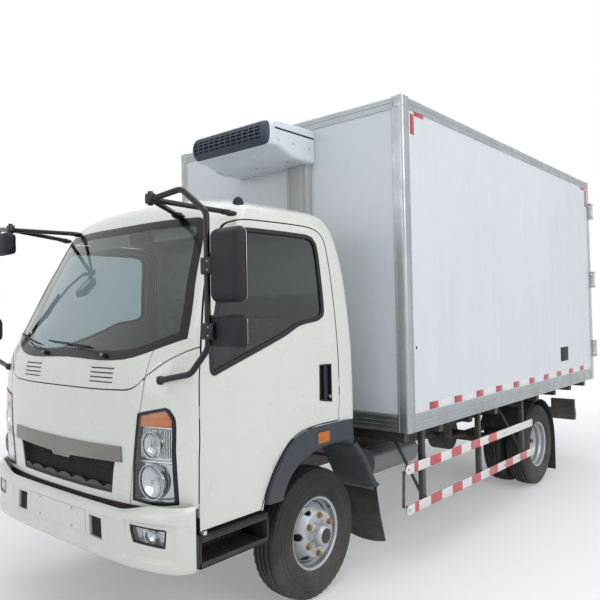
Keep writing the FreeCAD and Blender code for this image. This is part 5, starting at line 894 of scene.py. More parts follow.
WINDOW_EDGE = [
    (0.1827, 0.456), (0.184, 0.5029), (0.1947, 0.5543), (0.2227, 0.6171), (0.2573, 0.7),
    (0.2947, 0.7714), (0.3313, 0.8286), (0.3533, 0.8543), (0.38, 0.8674), (0.4133, 0.872),
    (0.74, 0.8731), (0.7787, 0.8651), (0.7987, 0.84), (0.804, 0.7314), (0.8067, 0.6114),
    (0.8, 0.5943), (0.7667, 0.5794), (0.6533, 0.564), (0.56, 0.5314),
    (0.225, 0.4379), (0.207, 0.4325), (0.198, 0.4318), (0.19, 0.436), (0.1845, 0.444),
]
WINDSCREEN_EDGE = [
    (-0.5532, 0.4766), (0, 0.4766), (0.5532, 0.4766), (0.9191, 0.5371), (0.884, 0.6171), (0.8436, 0.6971),
    (0.8, 0.7886), (0.7596, 0.8743), (0.7383, 0.9006), (0.6809, 0.912), (0, 0.912), (-0.6809, 0.912),
    (-0.7383, 0.9006), (-0.7596, 0.8743), (-0.8, 0.7886), (-0.8436, 0.6971), (-0.884, 0.6171),
    (-0.9191, 0.5371),
]
PULL_EDGE = [(-1.814, 1.182), (-1.689, 1.160), (-1.687, 1.394), (-1.806, 1.396)]
AROUND_MARKS = (0.0, 0.26, 0.34, 0.44, 0.76, 0.84, 1.0)


def between(rows, place):
    """Values at a place along rows of values, on a smooth curve through them."""
    last = len(rows) - 1
    place = min(max(place, 0.0), last - 1e-6)
    k = int(place)
    t = place - k
    a, b, c, d = (rows[min(max(k + i, 0), last)] for i in (-1, 0, 1, 2))
    return [q + 0.5 * t * (r - p + t * (2 * p - 5 * q + 4 * r - s + t * (3 * (q - r) + s - p)))
            for p, q, r, s in zip(a, b, c, d)]


def eased(start, end, leave, arrive, t):
    """A point on a smooth curve from start to end, leaving and arriving in given directions."""
    start, end = Vector(start), Vector(end)
    reach = (end - start).length
    leave, arrive = Vector(leave).normalized() * reach, Vector(arrive).normalized() * reach
    return ((2 * t ** 3 - 3 * t ** 2 + 1) * start + (t ** 3 - 2 * t ** 2 + t) * leave
            + (3 * t ** 2 - 2 * t ** 3) * end + (t ** 3 - t ** 2) * arrive)


def swell(value, low, high):
    t = min(max((value - low) / (high - low), 0.0), 1.0)
    return t * t * (3 - 2 * t)


def side_crease(y):
    """Height of the crease that runs along the cab's side."""
    rise = swell(y, -2.83, -1.95)
    return 1.052 + 0.082 * rise


def cab_point(around, up):
    """A point on the cab: around from 0 at the front to 1 at the back, up through the rows."""
    zs, yf, xc, yc, xm, ym, w, ys, yr = between(CAB_ROWS, up)
    x = lambda share: share * CAB_HALF
    y = lambda share: CAB_FRONT_Y + share * CAB_LENGTH
    side = -1 if around < 0 else 1
    share = abs(around)
    k = max(i for i, mark in enumerate(AROUND_MARKS[:-1]) if share >= mark - 1e-9)
    t = (share - AROUND_MARKS[k]) / (AROUND_MARKS[k + 1] - AROUND_MARKS[k])
    middle, corner, bend, flank = (0, y(yf)), (x(xc), y(yc)), (x(xm), y(ym)), (x(w), y(ys))
    slope = Vector((1, 1.7 * (corner[1] - middle[1]) / corner[0]))
    chord = Vector(bend) - Vector(corner)
    leaving = slope.normalized() + 0.45 * chord.normalized()
    turning = (Vector(flank) - Vector(corner))
    rear_round = 0.045
    if k == 0:
        spot = eased(middle, corner, (1, 0), leaving, t)
    elif k == 1:
        spot = eased(corner, bend, leaving, turning, t)
    elif k == 2:
        spot = eased(bend, flank, turning, (0, 1), t)
    elif k == 3:
        spot = Vector(flank).lerp(Vector((x(w), y(yr) - rear_round)), t)
    elif k == 4:
        a = t * math.pi / 2
        spot = Vector((x(w) - rear_round * (1 - math.cos(a)), y(yr) - rear_round * (1 - math.sin(a))))
    else:
        spot = Vector((x(w) - rear_round, y(yr))).lerp(Vector((0, y(yr))), t)
    return Vector((side * spot.x, spot.y, CAB_BASE_Z + zs * CAB_HEIGHT))


def cab_skin(low=(-2, -4, 0), high=(2, 0, 3), outwards=0.0, across=216, up=84):
    """The cab's surface within a box, moved outwards by a little."""
    bm = bmesh.new()
    bmesh.ops.create_grid(bm, x_segments=across, y_segments=up, size=1.0)
    rows = len(CAB_ROWS) - 1
    for v in bm.verts:
        v.co = cab_point(v.co.x, (v.co.y + 1) / 2 * rows)
    bmesh.ops.remove_doubles(bm, verts=bm.verts, dist=1e-4)
    rim = [e for e in bm.edges if e.is_boundary and e.verts[0].co.z > 2.3]
    if rim:
        bmesh.ops.edgeloop_fill(bm, edges=rim)
    bmesh.ops.recalc_face_normals(bm, faces=bm.faces)
    bm.normal_update()
    probe = max(bm.faces, key=lambda f: f.calc_center_median().z)
    if probe.normal.z < 0:
        bmesh.ops.reverse_faces(bm, faces=bm.faces)
        bm.normal_update()
    for v in bm.verts:
        side = abs(v.co.x)
        if side > 0.8 and v.co.y > -2.93:
            drop = v.co.z - side_crease(v.co.y)
            step = 0.006 * (1 - swell(drop, -0.014, 0.006)) * swell(v.co.z, 0.62, 0.80)
            fading = swell(side, 0.82, 0.90) * (1 - swell(v.co.y, -1.62, -1.50))
            v.co.x -= math.copysign(step * fading, v.co.x)
    bm.normal_update()
    if outwards:
        moved = {v: v.co + v.normal * outwards for v in bm.verts}
        for v, place in moved.items():
            v.co = place
    far = [f for f in bm.faces if not all(a <= c <= b for a, c, b in zip(low, f.calc_center_median(), high))]
    bmesh.ops.delete(bm, geom=far, context="FACES")
    return bm


def flowing(points, steps=5, sharp=38):
    """A closed outline on a smooth curve through its points, kept sharp where it turns hard."""
    count = len(points)
    points = [Vector(p) for p in points]
    turns = []
    for k in range(count):
        before, after = points[k] - points[k - 1], points[(k + 1) % count] - points[k]
        turns.append(math.degrees(before.angle(after)) > sharp)
    line = []
    for k in range(count):
        a, b = points[k], points[(k + 1) % count]
        leave = b - a if turns[k] else (b - points[k - 1])
        arrive = b - a if turns[(k + 1) % count] else (points[(k + 2) % count] - a)
        for i in range(steps):
            line.append(eased(a, b, leave, arrive, i / steps))
    return line


def distance_to(spot, start, end):
    """How far a place lies from the run between two points."""
    foot, share = geometry.intersect_point_line(spot, start, end)
    if 0 <= share <= 1:
        return (spot - foot.to_2d()).length
    return min((spot - start).length, (spot - end).length)


def drawn_in(line, gap):
    """A closed outline moved inwards by a gap, or outwards by a negative one."""
    points = [Vector((p[0], p[1])) for p in line]
    points = [p for k, p in enumerate(points) if (p - points[k - 1]).length > 1e-5]
    count = len(points)
    area = sum(points[k - 1].x * points[k].y - points[k].x * points[k - 1].y for k in range(count))
    turn = 1 if area > 0 else -1
    moved = []
    for k in range(count):
        before = (points[k] - points[k - 1]).normalized()
        after = (points[(k + 1) % count] - points[k]).normalized()
        first, second = Vector((-before.y, before.x)), Vector((-after.y, after.x))
        middle = (first + second).normalized()
        moved.append(points[k] + middle * turn * gap / max(middle.dot(first), 0.4))
    kept = []
    for spot in moved:
        near = min(distance_to(spot, a, b) for a, b in zip(points, points[1:] + points[:1]))
        if near > abs(gap) * 0.97 and (not kept or (spot - kept[-1]).length > 1e-4):
            kept.append(spot)
    return kept


def side_cutter(line, near=0.45, far=1.3):
    """A prism across the driver's side from an outline in side view (y, z)."""
    bm = bmesh.new()
    plate(bm, [(near, p[0], p[1]) for p in line], (far - near, 0, 0))
    return object_of(bm, "cutter", ["cab_paint"])


def front_cutter(line, near=-3.3, far=-2.3):
    """A prism through the cab's front from an outline in front view (x, z)."""
    bm = bmesh.new()
    plate(bm, [(p[0], near, p[1]) for p in line], (0, far - near, 0))
    return object_of(bm, "cutter", ["cab_paint"])


def in_side_view(shares):
    return [(CAB_FRONT_Y + a * CAB_LENGTH, CAB_BASE_Z + b * CAB_HEIGHT) for a, b in shares]


def in_front_view(shares):
    return [(a * CAB_HALF, CAB_BASE_Z + b * CAB_HEIGHT) for a, b in shares]


def skin_piece(name, looks, keep=(), leave=(), low=(-2, -4, 0), high=(2, 0, 3), outwards=0.0, thickness=0.03,
               edge=0.0025, segments=2):
    """A panel: the cab's skin given a thickness, kept inside some cutters and cut by others."""
    piece = object_of(cab_skin(low, high, outwards), name, looks, 60)
    wall = piece.modifiers.new("wall", "SOLIDIFY")
    wall.thickness = thickness
    wall.offset = -1
    wall.use_even_offset = True
    settle(piece)
    for tool in keep:
        fit_together(piece, tool, "INTERSECT")
    for tool in leave:
        fit_together(piece, tool, "DIFFERENCE")
    if edge:
        softened(piece, edge, segments, 40)
        settle(piece, 44)
    return piece


def painted_gap_shade(piece, line, axis, reach=0.004):
    """Blacken the faces of a cut that follow a line: painted shade in the panel gap, as it looks from outside."""
    spots = [Vector(a).lerp(Vector(b), k / 4) for a, b in zip(line, list(line[1:]) + [line[0]]) for k in range(4)]
    tree = mathutils.kdtree.KDTree(len(spots))
    for k, spot in enumerate(spots):
        tree.insert((spot[0], spot[1], 0), k)
    tree.balance()
    first, second = [i for i in range(3) if i != axis]
    slot = len(piece.data.materials)
    # soft black on the cut faces along the line: painted shade in the gap
    piece.data.materials.append(LOOKS["soft_black"])
    for face in piece.data.polygons:
        if abs(face.normal[axis]) < 0.30:
            centre = face.center
            if tree.find((abs(centre[first]) if axis == 1 else centre[first], centre[second], 0))[2] < reach:
                face.material_index = slot
    return piece


def other_side(piece, name):
    """The same piece on the passenger's side."""
    bm = bmesh.new()
    bm.from_mesh(piece.data)
    bmesh.ops.scale(bm, verts=bm.verts, vec=(-1, 1, 1))
    bmesh.ops.reverse_faces(bm, faces=bm.faces)
    looks = [material.name for material in piece.data.materials]
    return object_of(bm, name, looks, 44)


door_line = flowing(in_side_view(DOOR_EDGE))
window_line = flowing(in_side_view(WINDOW_EDGE))
windscreen_line = flowing(in_front_view(WINDSCREEN_EDGE))
SEAM = 0.0036
DOOR_GAP = 0.0075
HOOD_EDGE = [(-0.596, 0.766), (0, 0.762), (0.596, 0.766), (0.690, 1.300), (0.697, 1.405), (0.640, 1.356),
             (0.560, 1.334), (0, 1.326), (-0.560, 1.334), (-0.640, 1.356), (-0.697, 1.405), (-0.690, 1.300)]
COWL_EDGE = [(0, 1.326), (0.560, 1.334), (0.640, 1.356), (0.697, 1.405), (0.707, 1.60), (-0.707, 1.60),
             (-0.697, 1.405), (-0.640, 1.356), (-0.560, 1.334)]
CORNER_EDGE = [(0.596, 0.766), (0.690, 1.300), (0.697, 1.405), (0.800, 1.480), (0.880, 1.528), (0.940, 1.560),
               (1.05, 1.60), (1.05, 0.766)]
LAMP_EDGE = [(0.617, 0.792), (0.745, 0.785), (0.872, 0.792), (0.874, 1.02), (0.874, 1.200), (0.850, 1.252),
             (0.830, 1.262), (0.664, 1.228), (0.640, 1.02)]
BAR_EDGE = [(-0.556, 0.975), (-0.10, 0.955), (-0.085, 0.938), (0.085, 0.938), (0.10, 0.955), (0.556, 0.975),
            (0.552, 1.051), (0, 1.040), (-0.552, 1.051)]
MOUTH_EDGE = [(-0.463, 0.805), (0, 0.800), (0.463, 0.805), (0.500, 0.973), (0.552, 1.047), (0, 1.036),
              (-0.552, 1.047), (-0.500, 0.973)]


def lamp_opening():
    return flowing(LAMP_EDGE, 4, 30)


def cab_panels():
    """Shell with roof, pillars and back wall, then hood, cowl and corner panels."""
    door_hole = side_cutter(door_line)
    door_hole_right = other_side(door_hole, "cutter")
    glass_hole = front_cutter(windscreen_line, far=-2.15)
    front_zone = [(-1.05, 0.5)] + [(-1.05, 1.60), (-0.94, 1.56), (-0.88, 1.528), (-0.80, 1.48), (-0.697, 1.405)]
    front_zone += [(-0.707, 1.62), (0.707, 1.62)] + [(-x, z) for x, z in reversed(front_zone[1:])] + [(1.05, 0.5)]
    front_hole = front_cutter(drawn_in(front_zone, -SEAM), far=-2.72)
    bm = bmesh.new()
    plate(bm, [(-1.2, a, b) for a, b in [(-1.90, 1.03), (-2.08, 0.985), (-2.20, 0.872), (-2.27, 0.765),
                                         (-2.36, 0.45), (-1.2, 0.45), (-1.2, 1.03)]], (2.4, 0, 0))
    arch = object_of(bm, "cutter", ["cab_paint"])
    bm = bmesh.new()
    block(bm, (-1.5, -2.70, 0.3), (1.5, -1.0, 0.652))
    low = object_of(bm, "cutter", ["cab_paint"])
    shell = skin_piece("cab_shell", ["cab_paint"], thickness=0.035,
                       leave=[door_hole, door_hole_right, glass_hole, front_hole, arch, low])
    # the door cut in the shell turned soft black: painted shade in the door gap
    painted_gap_shade(shell, door_line, 0)
    put(shell, "cab", "cab_roof", "cab_back_wall")

    lower = (-2, -4, 0.6)
    hood_fit = front_cutter(drawn_in(flowing(HOOD_EDGE, 4, 30), SEAM))
    mouth = front_cutter(flowing(MOUTH_EDGE, 4, 30))
    hood = skin_piece("hood_panel", ["cab_paint"], [hood_fit], [mouth], lower, (2, -2.6, 1.6), thickness=0.028)
    cowl_fit = front_cutter(drawn_in(flowing(COWL_EDGE, 4, 30), SEAM))
    cowl = skin_piece("cowl_panel", ["cab_paint"], [cowl_fit], [glass_hole], (-2, -4, 1.2), (2, -2.4, 1.75),
                      thickness=0.028)
    corner_fit = front_cutter(drawn_in(CORNER_EDGE, SEAM), far=-2.5)
    lamp_hole = front_cutter(lamp_opening())
    wide_door = side_cutter(drawn_in(door_line, -0.0005))
    corner = skin_piece("corner_panel_left", ["cab_paint"], [corner_fit], [lamp_hole, wide_door],
                        (0.4, -4, 0.6), (2, -2.3, 1.8), thickness=0.028)
    # the corner panel's door cut turned soft black: painted shade in the door gap
    painted_gap_shade(corner, door_line, 0)
    # the cut edges of hood, cowl and corner turned soft black: painted shade in the panel gaps
    for piece, edge in ((hood, HOOD_EDGE), (cowl, COWL_EDGE), (corner, CORNER_EDGE)):
        painted_gap_shade(piece, [(abs(x), z) for x, z in drawn_in(edge, SEAM)], 1, 0.006)
    other = other_side(corner, "corner_panel_right")
    put(hood, "cab", "cab_front_panel")
    for piece in (cowl, corner, other):
        put(piece, "cab")
    discard(door_hole, door_hole_right, glass_hole, front_hole, arch, low, hood_fit, mouth, cowl_fit, corner_fit,
            lamp_hole, wide_door)


def cab_doors():
    """Each door with its window frame, rubber and glass, and the hole for its handle."""
    leaf_line = drawn_in(door_line, DOOR_GAP)
    leaf_fit = side_cutter(leaf_line)
    hole = side_cutter(window_line)
    pull_hole = side_cutter(flowing(PULL_EDGE, 3, 60), near=0.895)
    leaf = skin_piece("door_skin_left", ["cab_paint"], [leaf_fit], [hole, pull_hole], (0.3, -4, 0.6), (2, -1.3, 2.4),
                      thickness=0.034, edge=0.003)
    # the leaf's cut edge turned soft black: painted shade in the door gap
    painted_gap_shade(leaf, leaf_line, 0)
    rubber_fit = side_cutter(drawn_in(window_line, -0.004))
    rubber_hole = side_cutter(drawn_in(window_line, 0.020))
    rubber = skin_piece("window_rubber_left", ["soft_black"], [rubber_fit], [rubber_hole], (0.3, -4, 1.2),
                        (2, -1.3, 2.4), outwards=0.0022, thickness=0.020, edge=0.002)
    glass_fit = side_cutter(drawn_in(window_line, 0.012))
    glass = skin_piece("window_pane_left", ["door_glass"], [glass_fit], [], (0.3, -4, 1.2), (2, -1.3, 2.4),
                       outwards=-0.008, thickness=0.004, edge=0)
    for piece, kind, stands_for in ((leaf, "door_skin_", "cab_door_"), (rubber, "window_rubber_", None),
                                    (glass, "window_pane_", "door_window_")):
        right = other_side(piece, kind + "right")
        if stands_for:
            put(piece, "cab_door_left", stands_for + "left")
            put(right, "cab_door_right", stands_for + "right")
        else:
            put(piece, "cab_door_left")
            put(right, "cab_door_right")
    discard(leaf_fit, hole, pull_hole, rubber_fit, rubber_hole, glass_fit)


def windscreen():
    """The glass and its black band."""
    fit = front_cutter(drawn_in(windscreen_line, 0.001), far=-2.15)
    band_hole = front_cutter(drawn_in(windscreen_line, 0.050), far=-2.15)
    clear_fit = front_cutter(drawn_in(windscreen_line, 0.048), far=-2.15)
    band = skin_piece("windscreen_band", ["gloss_black"], [fit], [band_hole], (-2, -4, 1.3), (2, -2.1, 2.5),
                      outwards=-0.001, thickness=0.010, edge=0.0012, segments=1)
    pane = skin_piece("windscreen_pane", ["windscreen_glass"], [clear_fit], [], (-2, -4, 1.3), (2, -2.1, 2.5),
                      outwards=-0.0015, thickness=0.005, edge=0)
    put(band, "cab")
    put(pane, "cab", "windscreen")
    discard(fit, band_hole, clear_fit)


cab_panels()
cab_doors()
windscreen()


# ---------------------------------------------------------------- lamps, grille and cowl
def skin_spot(x, z, outwards=0.0):
    """The point of the cab's front skin at a place in front view, with the way it faces."""
    _, where, facing, _ = FRONT_PROBE.ray_cast(Vector((x, -4, z)), Vector((0, 1, 0)))
    return where + facing * outwards, facing


def front_probe():
    """A bare copy of the front skin, to lay pieces on."""
    return object_of(cab_skin((-2, -4, 0.6), (2, -2.3, 2.45)), "front_probe", ["cab_paint"], 60)


def headlamp():
    """Housing, chromed bowls with their bulbs, amber indicator and clear lens."""
    opening = lamp_opening()
    fit = front_cutter(drawn_in(opening, 0.002))
    inner = front_cutter(drawn_in(opening, 0.015))
    back_fit = front_cutter(drawn_in(opening, 0.004))
    zone_low, zone_high = (0.4, -4, 0.6), (1.2, -2.5, 1.4)
    frame_ring = skin_piece("lamp_frame_left", ["gloss_black"], [fit], [inner], zone_low, zone_high,
                            outwards=0.002, thickness=0.034, edge=0.002)
    lens_fit = front_cutter(drawn_in(opening, 0.013))
    lens = skin_piece("lamp_lens_left", ["clear_lens"], [lens_fit], [], zone_low, zone_high, outwards=0.0005,
                      thickness=0.003, edge=0)
    back = skin_piece("lamp_back_left", ["reflector", "gloss_black"], [back_fit], [], zone_low, zone_high,
                      outwards=-0.036, thickness=0.004, edge=0)
    discard(fit, inner, back_fit, lens_fit)

    bm = bmesh.new()
    for centre_x, centre_z, radius, depth in ((0.748, 0.895, 0.082, 0.030), (0.752, 1.075, 0.060, 0.026)):
        spot, facing = skin_spot(centre_x, centre_z, -0.034)
        ahead = (facing + Vector((0, -1.2, 0))).normalized()
        bowl = [(depth, radius), (depth + 0.003, radius + 0.001), (depth + 0.003, radius + 0.005),
                (-0.001, radius + 0.004), (-0.004, radius * 0.8), (-0.004, 0.0), (0.0, 0.0), (0.001, radius * 0.18),
                (depth * 0.14, radius * 0.42), (depth * 0.42, radius * 0.74), (depth * 0.76, radius * 0.93)]
        turned(bm, bowl, spot, ahead, 0, 40, closed=False)
        bar(bm, spot, spot + ahead * depth * 0.7, radius * 0.12, radius * 0.1, look=2, sides=16, edge=0.002)
        ball(bm, spot + ahead * depth * 0.75, (radius * 0.13,) * 3, 2, 16, 10)
    for k in range(13):
        x = 0.668 + 0.0145 * k
        low, facing = skin_spot(x, 1.010, -0.030)
        bar(bm, low, skin_spot(x, 1.152, -0.030)[0], 0.0042, look=0, sides=8)
    for z in (1.158, 0.990, 0.800):
        left, right = skin_spot(0.640, z, -0.022)[0], skin_spot(0.862, z, -0.022)[0]
        bar(bm, left, right, 0.0075, look=0, sides=10, edge=0.002)
    dishes = object_of(bm, "lamp_bowls_left", ["reflector", "gloss_black", "clear_lens"], 40)

    amber_zone = front_cutter([(0.60, 1.160), (0.90, 1.168), (0.90, 1.30), (0.60, 1.30)])
    amber_fit = front_cutter(drawn_in(opening, 0.017))
    amber = skin_piece("lamp_amber_left", ["amber_shell"], [amber_zone, amber_fit], [], zone_low, zone_high,
                       outwards=-0.010, thickness=0.016, edge=0.0015)
    discard(amber_zone, amber_fit)
    for piece, kind in ((frame_ring, "lamp_frame_"), (lens, "lamp_lens_"), (back, "lamp_back_"),
                        (dishes, "lamp_bowls_"), (amber, "lamp_amber_")):
        right = other_side(piece, kind + "right")
        put(right, "cab")
        if piece is lens:
            put(piece, "cab", "headlamps")
        else:
            put(piece, "cab")


def grille():
    """Brushed bar, dark mesh, its surround and the scalloped lower blade."""
    mouth = flowing(MOUTH_EDGE, 4, 30)
    fit = front_cutter(drawn_in(mouth, 0.0012))
    hole = front_cutter(drawn_in(mouth, 0.013))
    low, high = (-0.7, -4, 0.7), (0.7, -2.7, 1.15)
    surround = skin_piece("grille_surround", ["soft_black"], [fit], [hole], low, high, outwards=-0.003,
                          thickness=0.030, edge=0.002)
    # soft black sheet behind the mouth: painted shade behind the mesh
    back_fit = front_cutter(drawn_in(mouth, 0.004))
    back = skin_piece("grille_back", ["soft_black"], [back_fit], [], low, high, outwards=-0.040, thickness=0.004,
                      edge=0)
    bar_fit = front_cutter(flowing(BAR_EDGE, 3, 20))
    metal = skin_piece("grille_bar", ["bar_metal"], [bar_fit], [], low, high, outwards=0.010, thickness=0.016,
                       edge=0.003, segments=3)
    discard(fit, hole, back_fit, bar_fit)

    bm = bmesh.new()
    bmesh.ops.create_grid(bm, x_segments=58, y_segments=11, size=0.5)
    for v in bm.verts:
        level = round((v.co.y + 0.5) * 11)
        x = (v.co.x + (0.25 / 58 if level % 2 else -0.25 / 58)) * 0.955
        z = 0.808 + (v.co.y + 0.5) * 0.160
        v.co = skin_spot(x * (1 + 0.07 * (z - 0.808) / 0.16), z, -0.020)[0]
    mesh_piece = object_of(bm, "grille_mesh", ["soft_black"], 30)
    wires = mesh_piece.modifiers.new("wires", "WIREFRAME")
    wires.thickness = 0.0036
    wires.use_even_offset = False
    wires.use_boundary = True
    settle(mesh_piece)

    scallop = [(-0.452, 0.806)]
    for k in range(49):
        share = k / 48
        dip = abs(math.cos(math.pi * 6 * share))
        scallop.append((-0.452 + 0.904 * share, 0.846 - 0.022 * (1 - dip) ** 1.3))
    scallop.append((0.452, 0.806))
    blade_fit = front_cutter(scallop)
    blade = skin_piece("grille_blade", ["dash_plastic"], [blade_fit], [], low, high, outwards=-0.006,
                       thickness=0.008, edge=0.0018)
    discard(blade_fit)
    put(metal, "cab", "grille")
    for piece in (surround, back, mesh_piece, blade):
        put(piece, "cab")


def cowl_louvres():
    """Pressed slots either side of the cowl: painted ribs, each with a soft black bar under it as painted shade in the
    slot.
    """
    bm = bmesh.new()
    for side in (-1, 1):
        for k in range(4):
            z = 1.376 + 0.0235 * k
            inner, outer = side * 0.272, side * 0.462
            # look 1 is the soft black bar under each rib: painted shade in the slot
            for x0, x1, look, rise, width in ((inner, outer, 0, 0.001, 0.0070), (inner, outer, 1, -0.0012, 0.0050)):
                drop = 0.0 if look == 0 else -0.0078
                points = []
                for i in range(9):
                    x = x0 + (x1 - x0) * i / 8
                    points.append(skin_spot(x, z + drop, rise)[0])
                for a, b in zip(points, points[1:]):
                    bar(bm, a - (b - a) * 0.02, b + (b - a) * 0.02, width, look=look, sides=12)
                for end in (points[0], points[-1]):
                    ball(bm, end, (width, width, width), look, 12, 8)
    for v in bm.verts:
        spot, facing = skin_spot(v.co.x, v.co.z)
        off = (v.co - spot).dot(facing)
        v.co -= facing * off * 0.45
    put(object_of(bm, "cowl_louvres", ["cab_paint", "soft_black"], 50), "cab")


FRONT_PROBE = front_probe()
bpy.context.view_layer.update()
headlamp()
grille()
cowl_louvres()


# ---------------------------------------------------------------- bumper
BUMPER_HALF, BUMPER_FACE, BUMPER_SWEEP = 0.957, -2.995, 0.200
BUMPER_LOW, BUMPER_MIDDLE, BUMPER_HIGH = 0.480, 0.748, 0.792
BUMPER_PLAN = [(0, 0), (0.2, 0.003), (0.38, 0.015), (0.54, 0.04), (0.66, 0.08), (0.76, 0.15), (0.845, 0.255),
               (0.905, 0.38), (0.95, 0.54), (0.98, 0.74), (1, 1)]
BUMPER_CURL = [(0.0, 0.034), (0.03, 0.016), (0.08, 0.005), (0.15, 0.0), (0.83, 0.001), (0.90, 0.007), (0.95, 0.018),
               (1.0, 0.040)]
SLOT_EDGE = [(0.334, 0.578), (0.452, 0.574), (0.442, 0.688), (0.328, 0.690)]
FOG_EDGE = [(0.674, 0.612), (0.862, 0.603), (0.868, 0.686), (0.858, 0.692), (0.652, 0.696), (0.656, 0.662)]
PLATE_EDGE = [(-0.300, 0.586), (0.300, 0.586), (0.296, 0.702), (-0.296, 0.702)]


def read_off(line, value):
    """The height read off a line of (place, height) points."""
    for (a, p), (b, q) in zip(line, line[1:]):
        if value <= b:
            return p + (q - p) * max(value - a, 0) / (b - a)
    return line[-1][1]


def pressed(x, z, left, right, low, high, soft=0.014):
    """How far a place lies inside a pressed field, 0 to 1, with soft edges."""
    return (swell(x, left, left + soft) * (1 - swell(x, right - soft, right))
            * swell(z, low, low + soft) * (1 - swell(z, high - soft, high)))


def bumper_skin(outwards=0.0):
    bm = bmesh.new()
    bmesh.ops.create_grid(bm, x_segments=250, y_segments=56, size=1.0)
    for v in bm.verts:
        u, share = v.co.x, (v.co.y + 1) / 2
        across, back = between(BUMPER_PLAN, abs(u) * (len(BUMPER_PLAN) - 1))
        rise = swell(across, 0.56, 0.86)
        top = BUMPER_MIDDLE + (BUMPER_HIGH - BUMPER_MIDDLE) * rise
        curl = read_off(BUMPER_CURL, share)
        z = BUMPER_LOW + (top - BUMPER_LOW) * share
        x = across * BUMPER_HALF
        dip = 0.009 * pressed(x, z, -0.2, 0.520, 0.558, 0.710) + 0.013 * pressed(x, z, 0.620, 0.915, 0.536, 0.722)
        dip += 0.005 * (1 - swell(z, 0.700, 0.712)) * swell(z, 0.50, 0.53) * swell(x, 0.50, 0.56)
        inwards = (curl + dip) * (1 - 0.55 * swell(across, 0.90, 1.0))
        v.co = (math.copysign(x - inwards * 0.6 * swell(across, 0.55, 0.95), u or 1),
                BUMPER_FACE + back * BUMPER_SWEEP + inwards * (1 - 0.5 * swell(across, 0.8, 1.0)), z)
    bmesh.ops.recalc_face_normals(bm, faces=bm.faces)
    bm.normal_update()
    probe = min(bm.faces, key=lambda f: f.calc_center_median().y)
    if probe.normal.y > 0:
        bmesh.ops.reverse_faces(bm, faces=bm.faces)
        bm.normal_update()
    if outwards:
        moved = {v: v.co + v.normal * outwards for v in bm.verts}
        for v, place in moved.items():
            v.co = place
    return bm


def bumper_piece(name, looks, keep=(), leave=(), outwards=0.0, thickness=0.010, edge=0.003):
    piece = object_of(bumper_skin(outwards), name, looks, 60)
    wall = piece.modifiers.new("wall", "SOLIDIFY")
    wall.thickness = thickness
    wall.offset = -1
    settle(piece)
    for tool in keep:
        fit_together(piece, tool, "INTERSECT")
    for tool in leave:
        fit_together(piece, tool, "DIFFERENCE")
    if edge:
        softened(piece, edge, 2, 40)
        settle(piece, 40)
    return piece


def bumper_spot(probe, x, z, outwards=0.0):
    _, where, facing, _ = probe.ray_cast(Vector((x, -4, z)), Vector((0, 1, 0)))
    return where + facing * outwards


def both_sides(line):
    return [line, [(-x, z) for x, z in line[::-1]]]


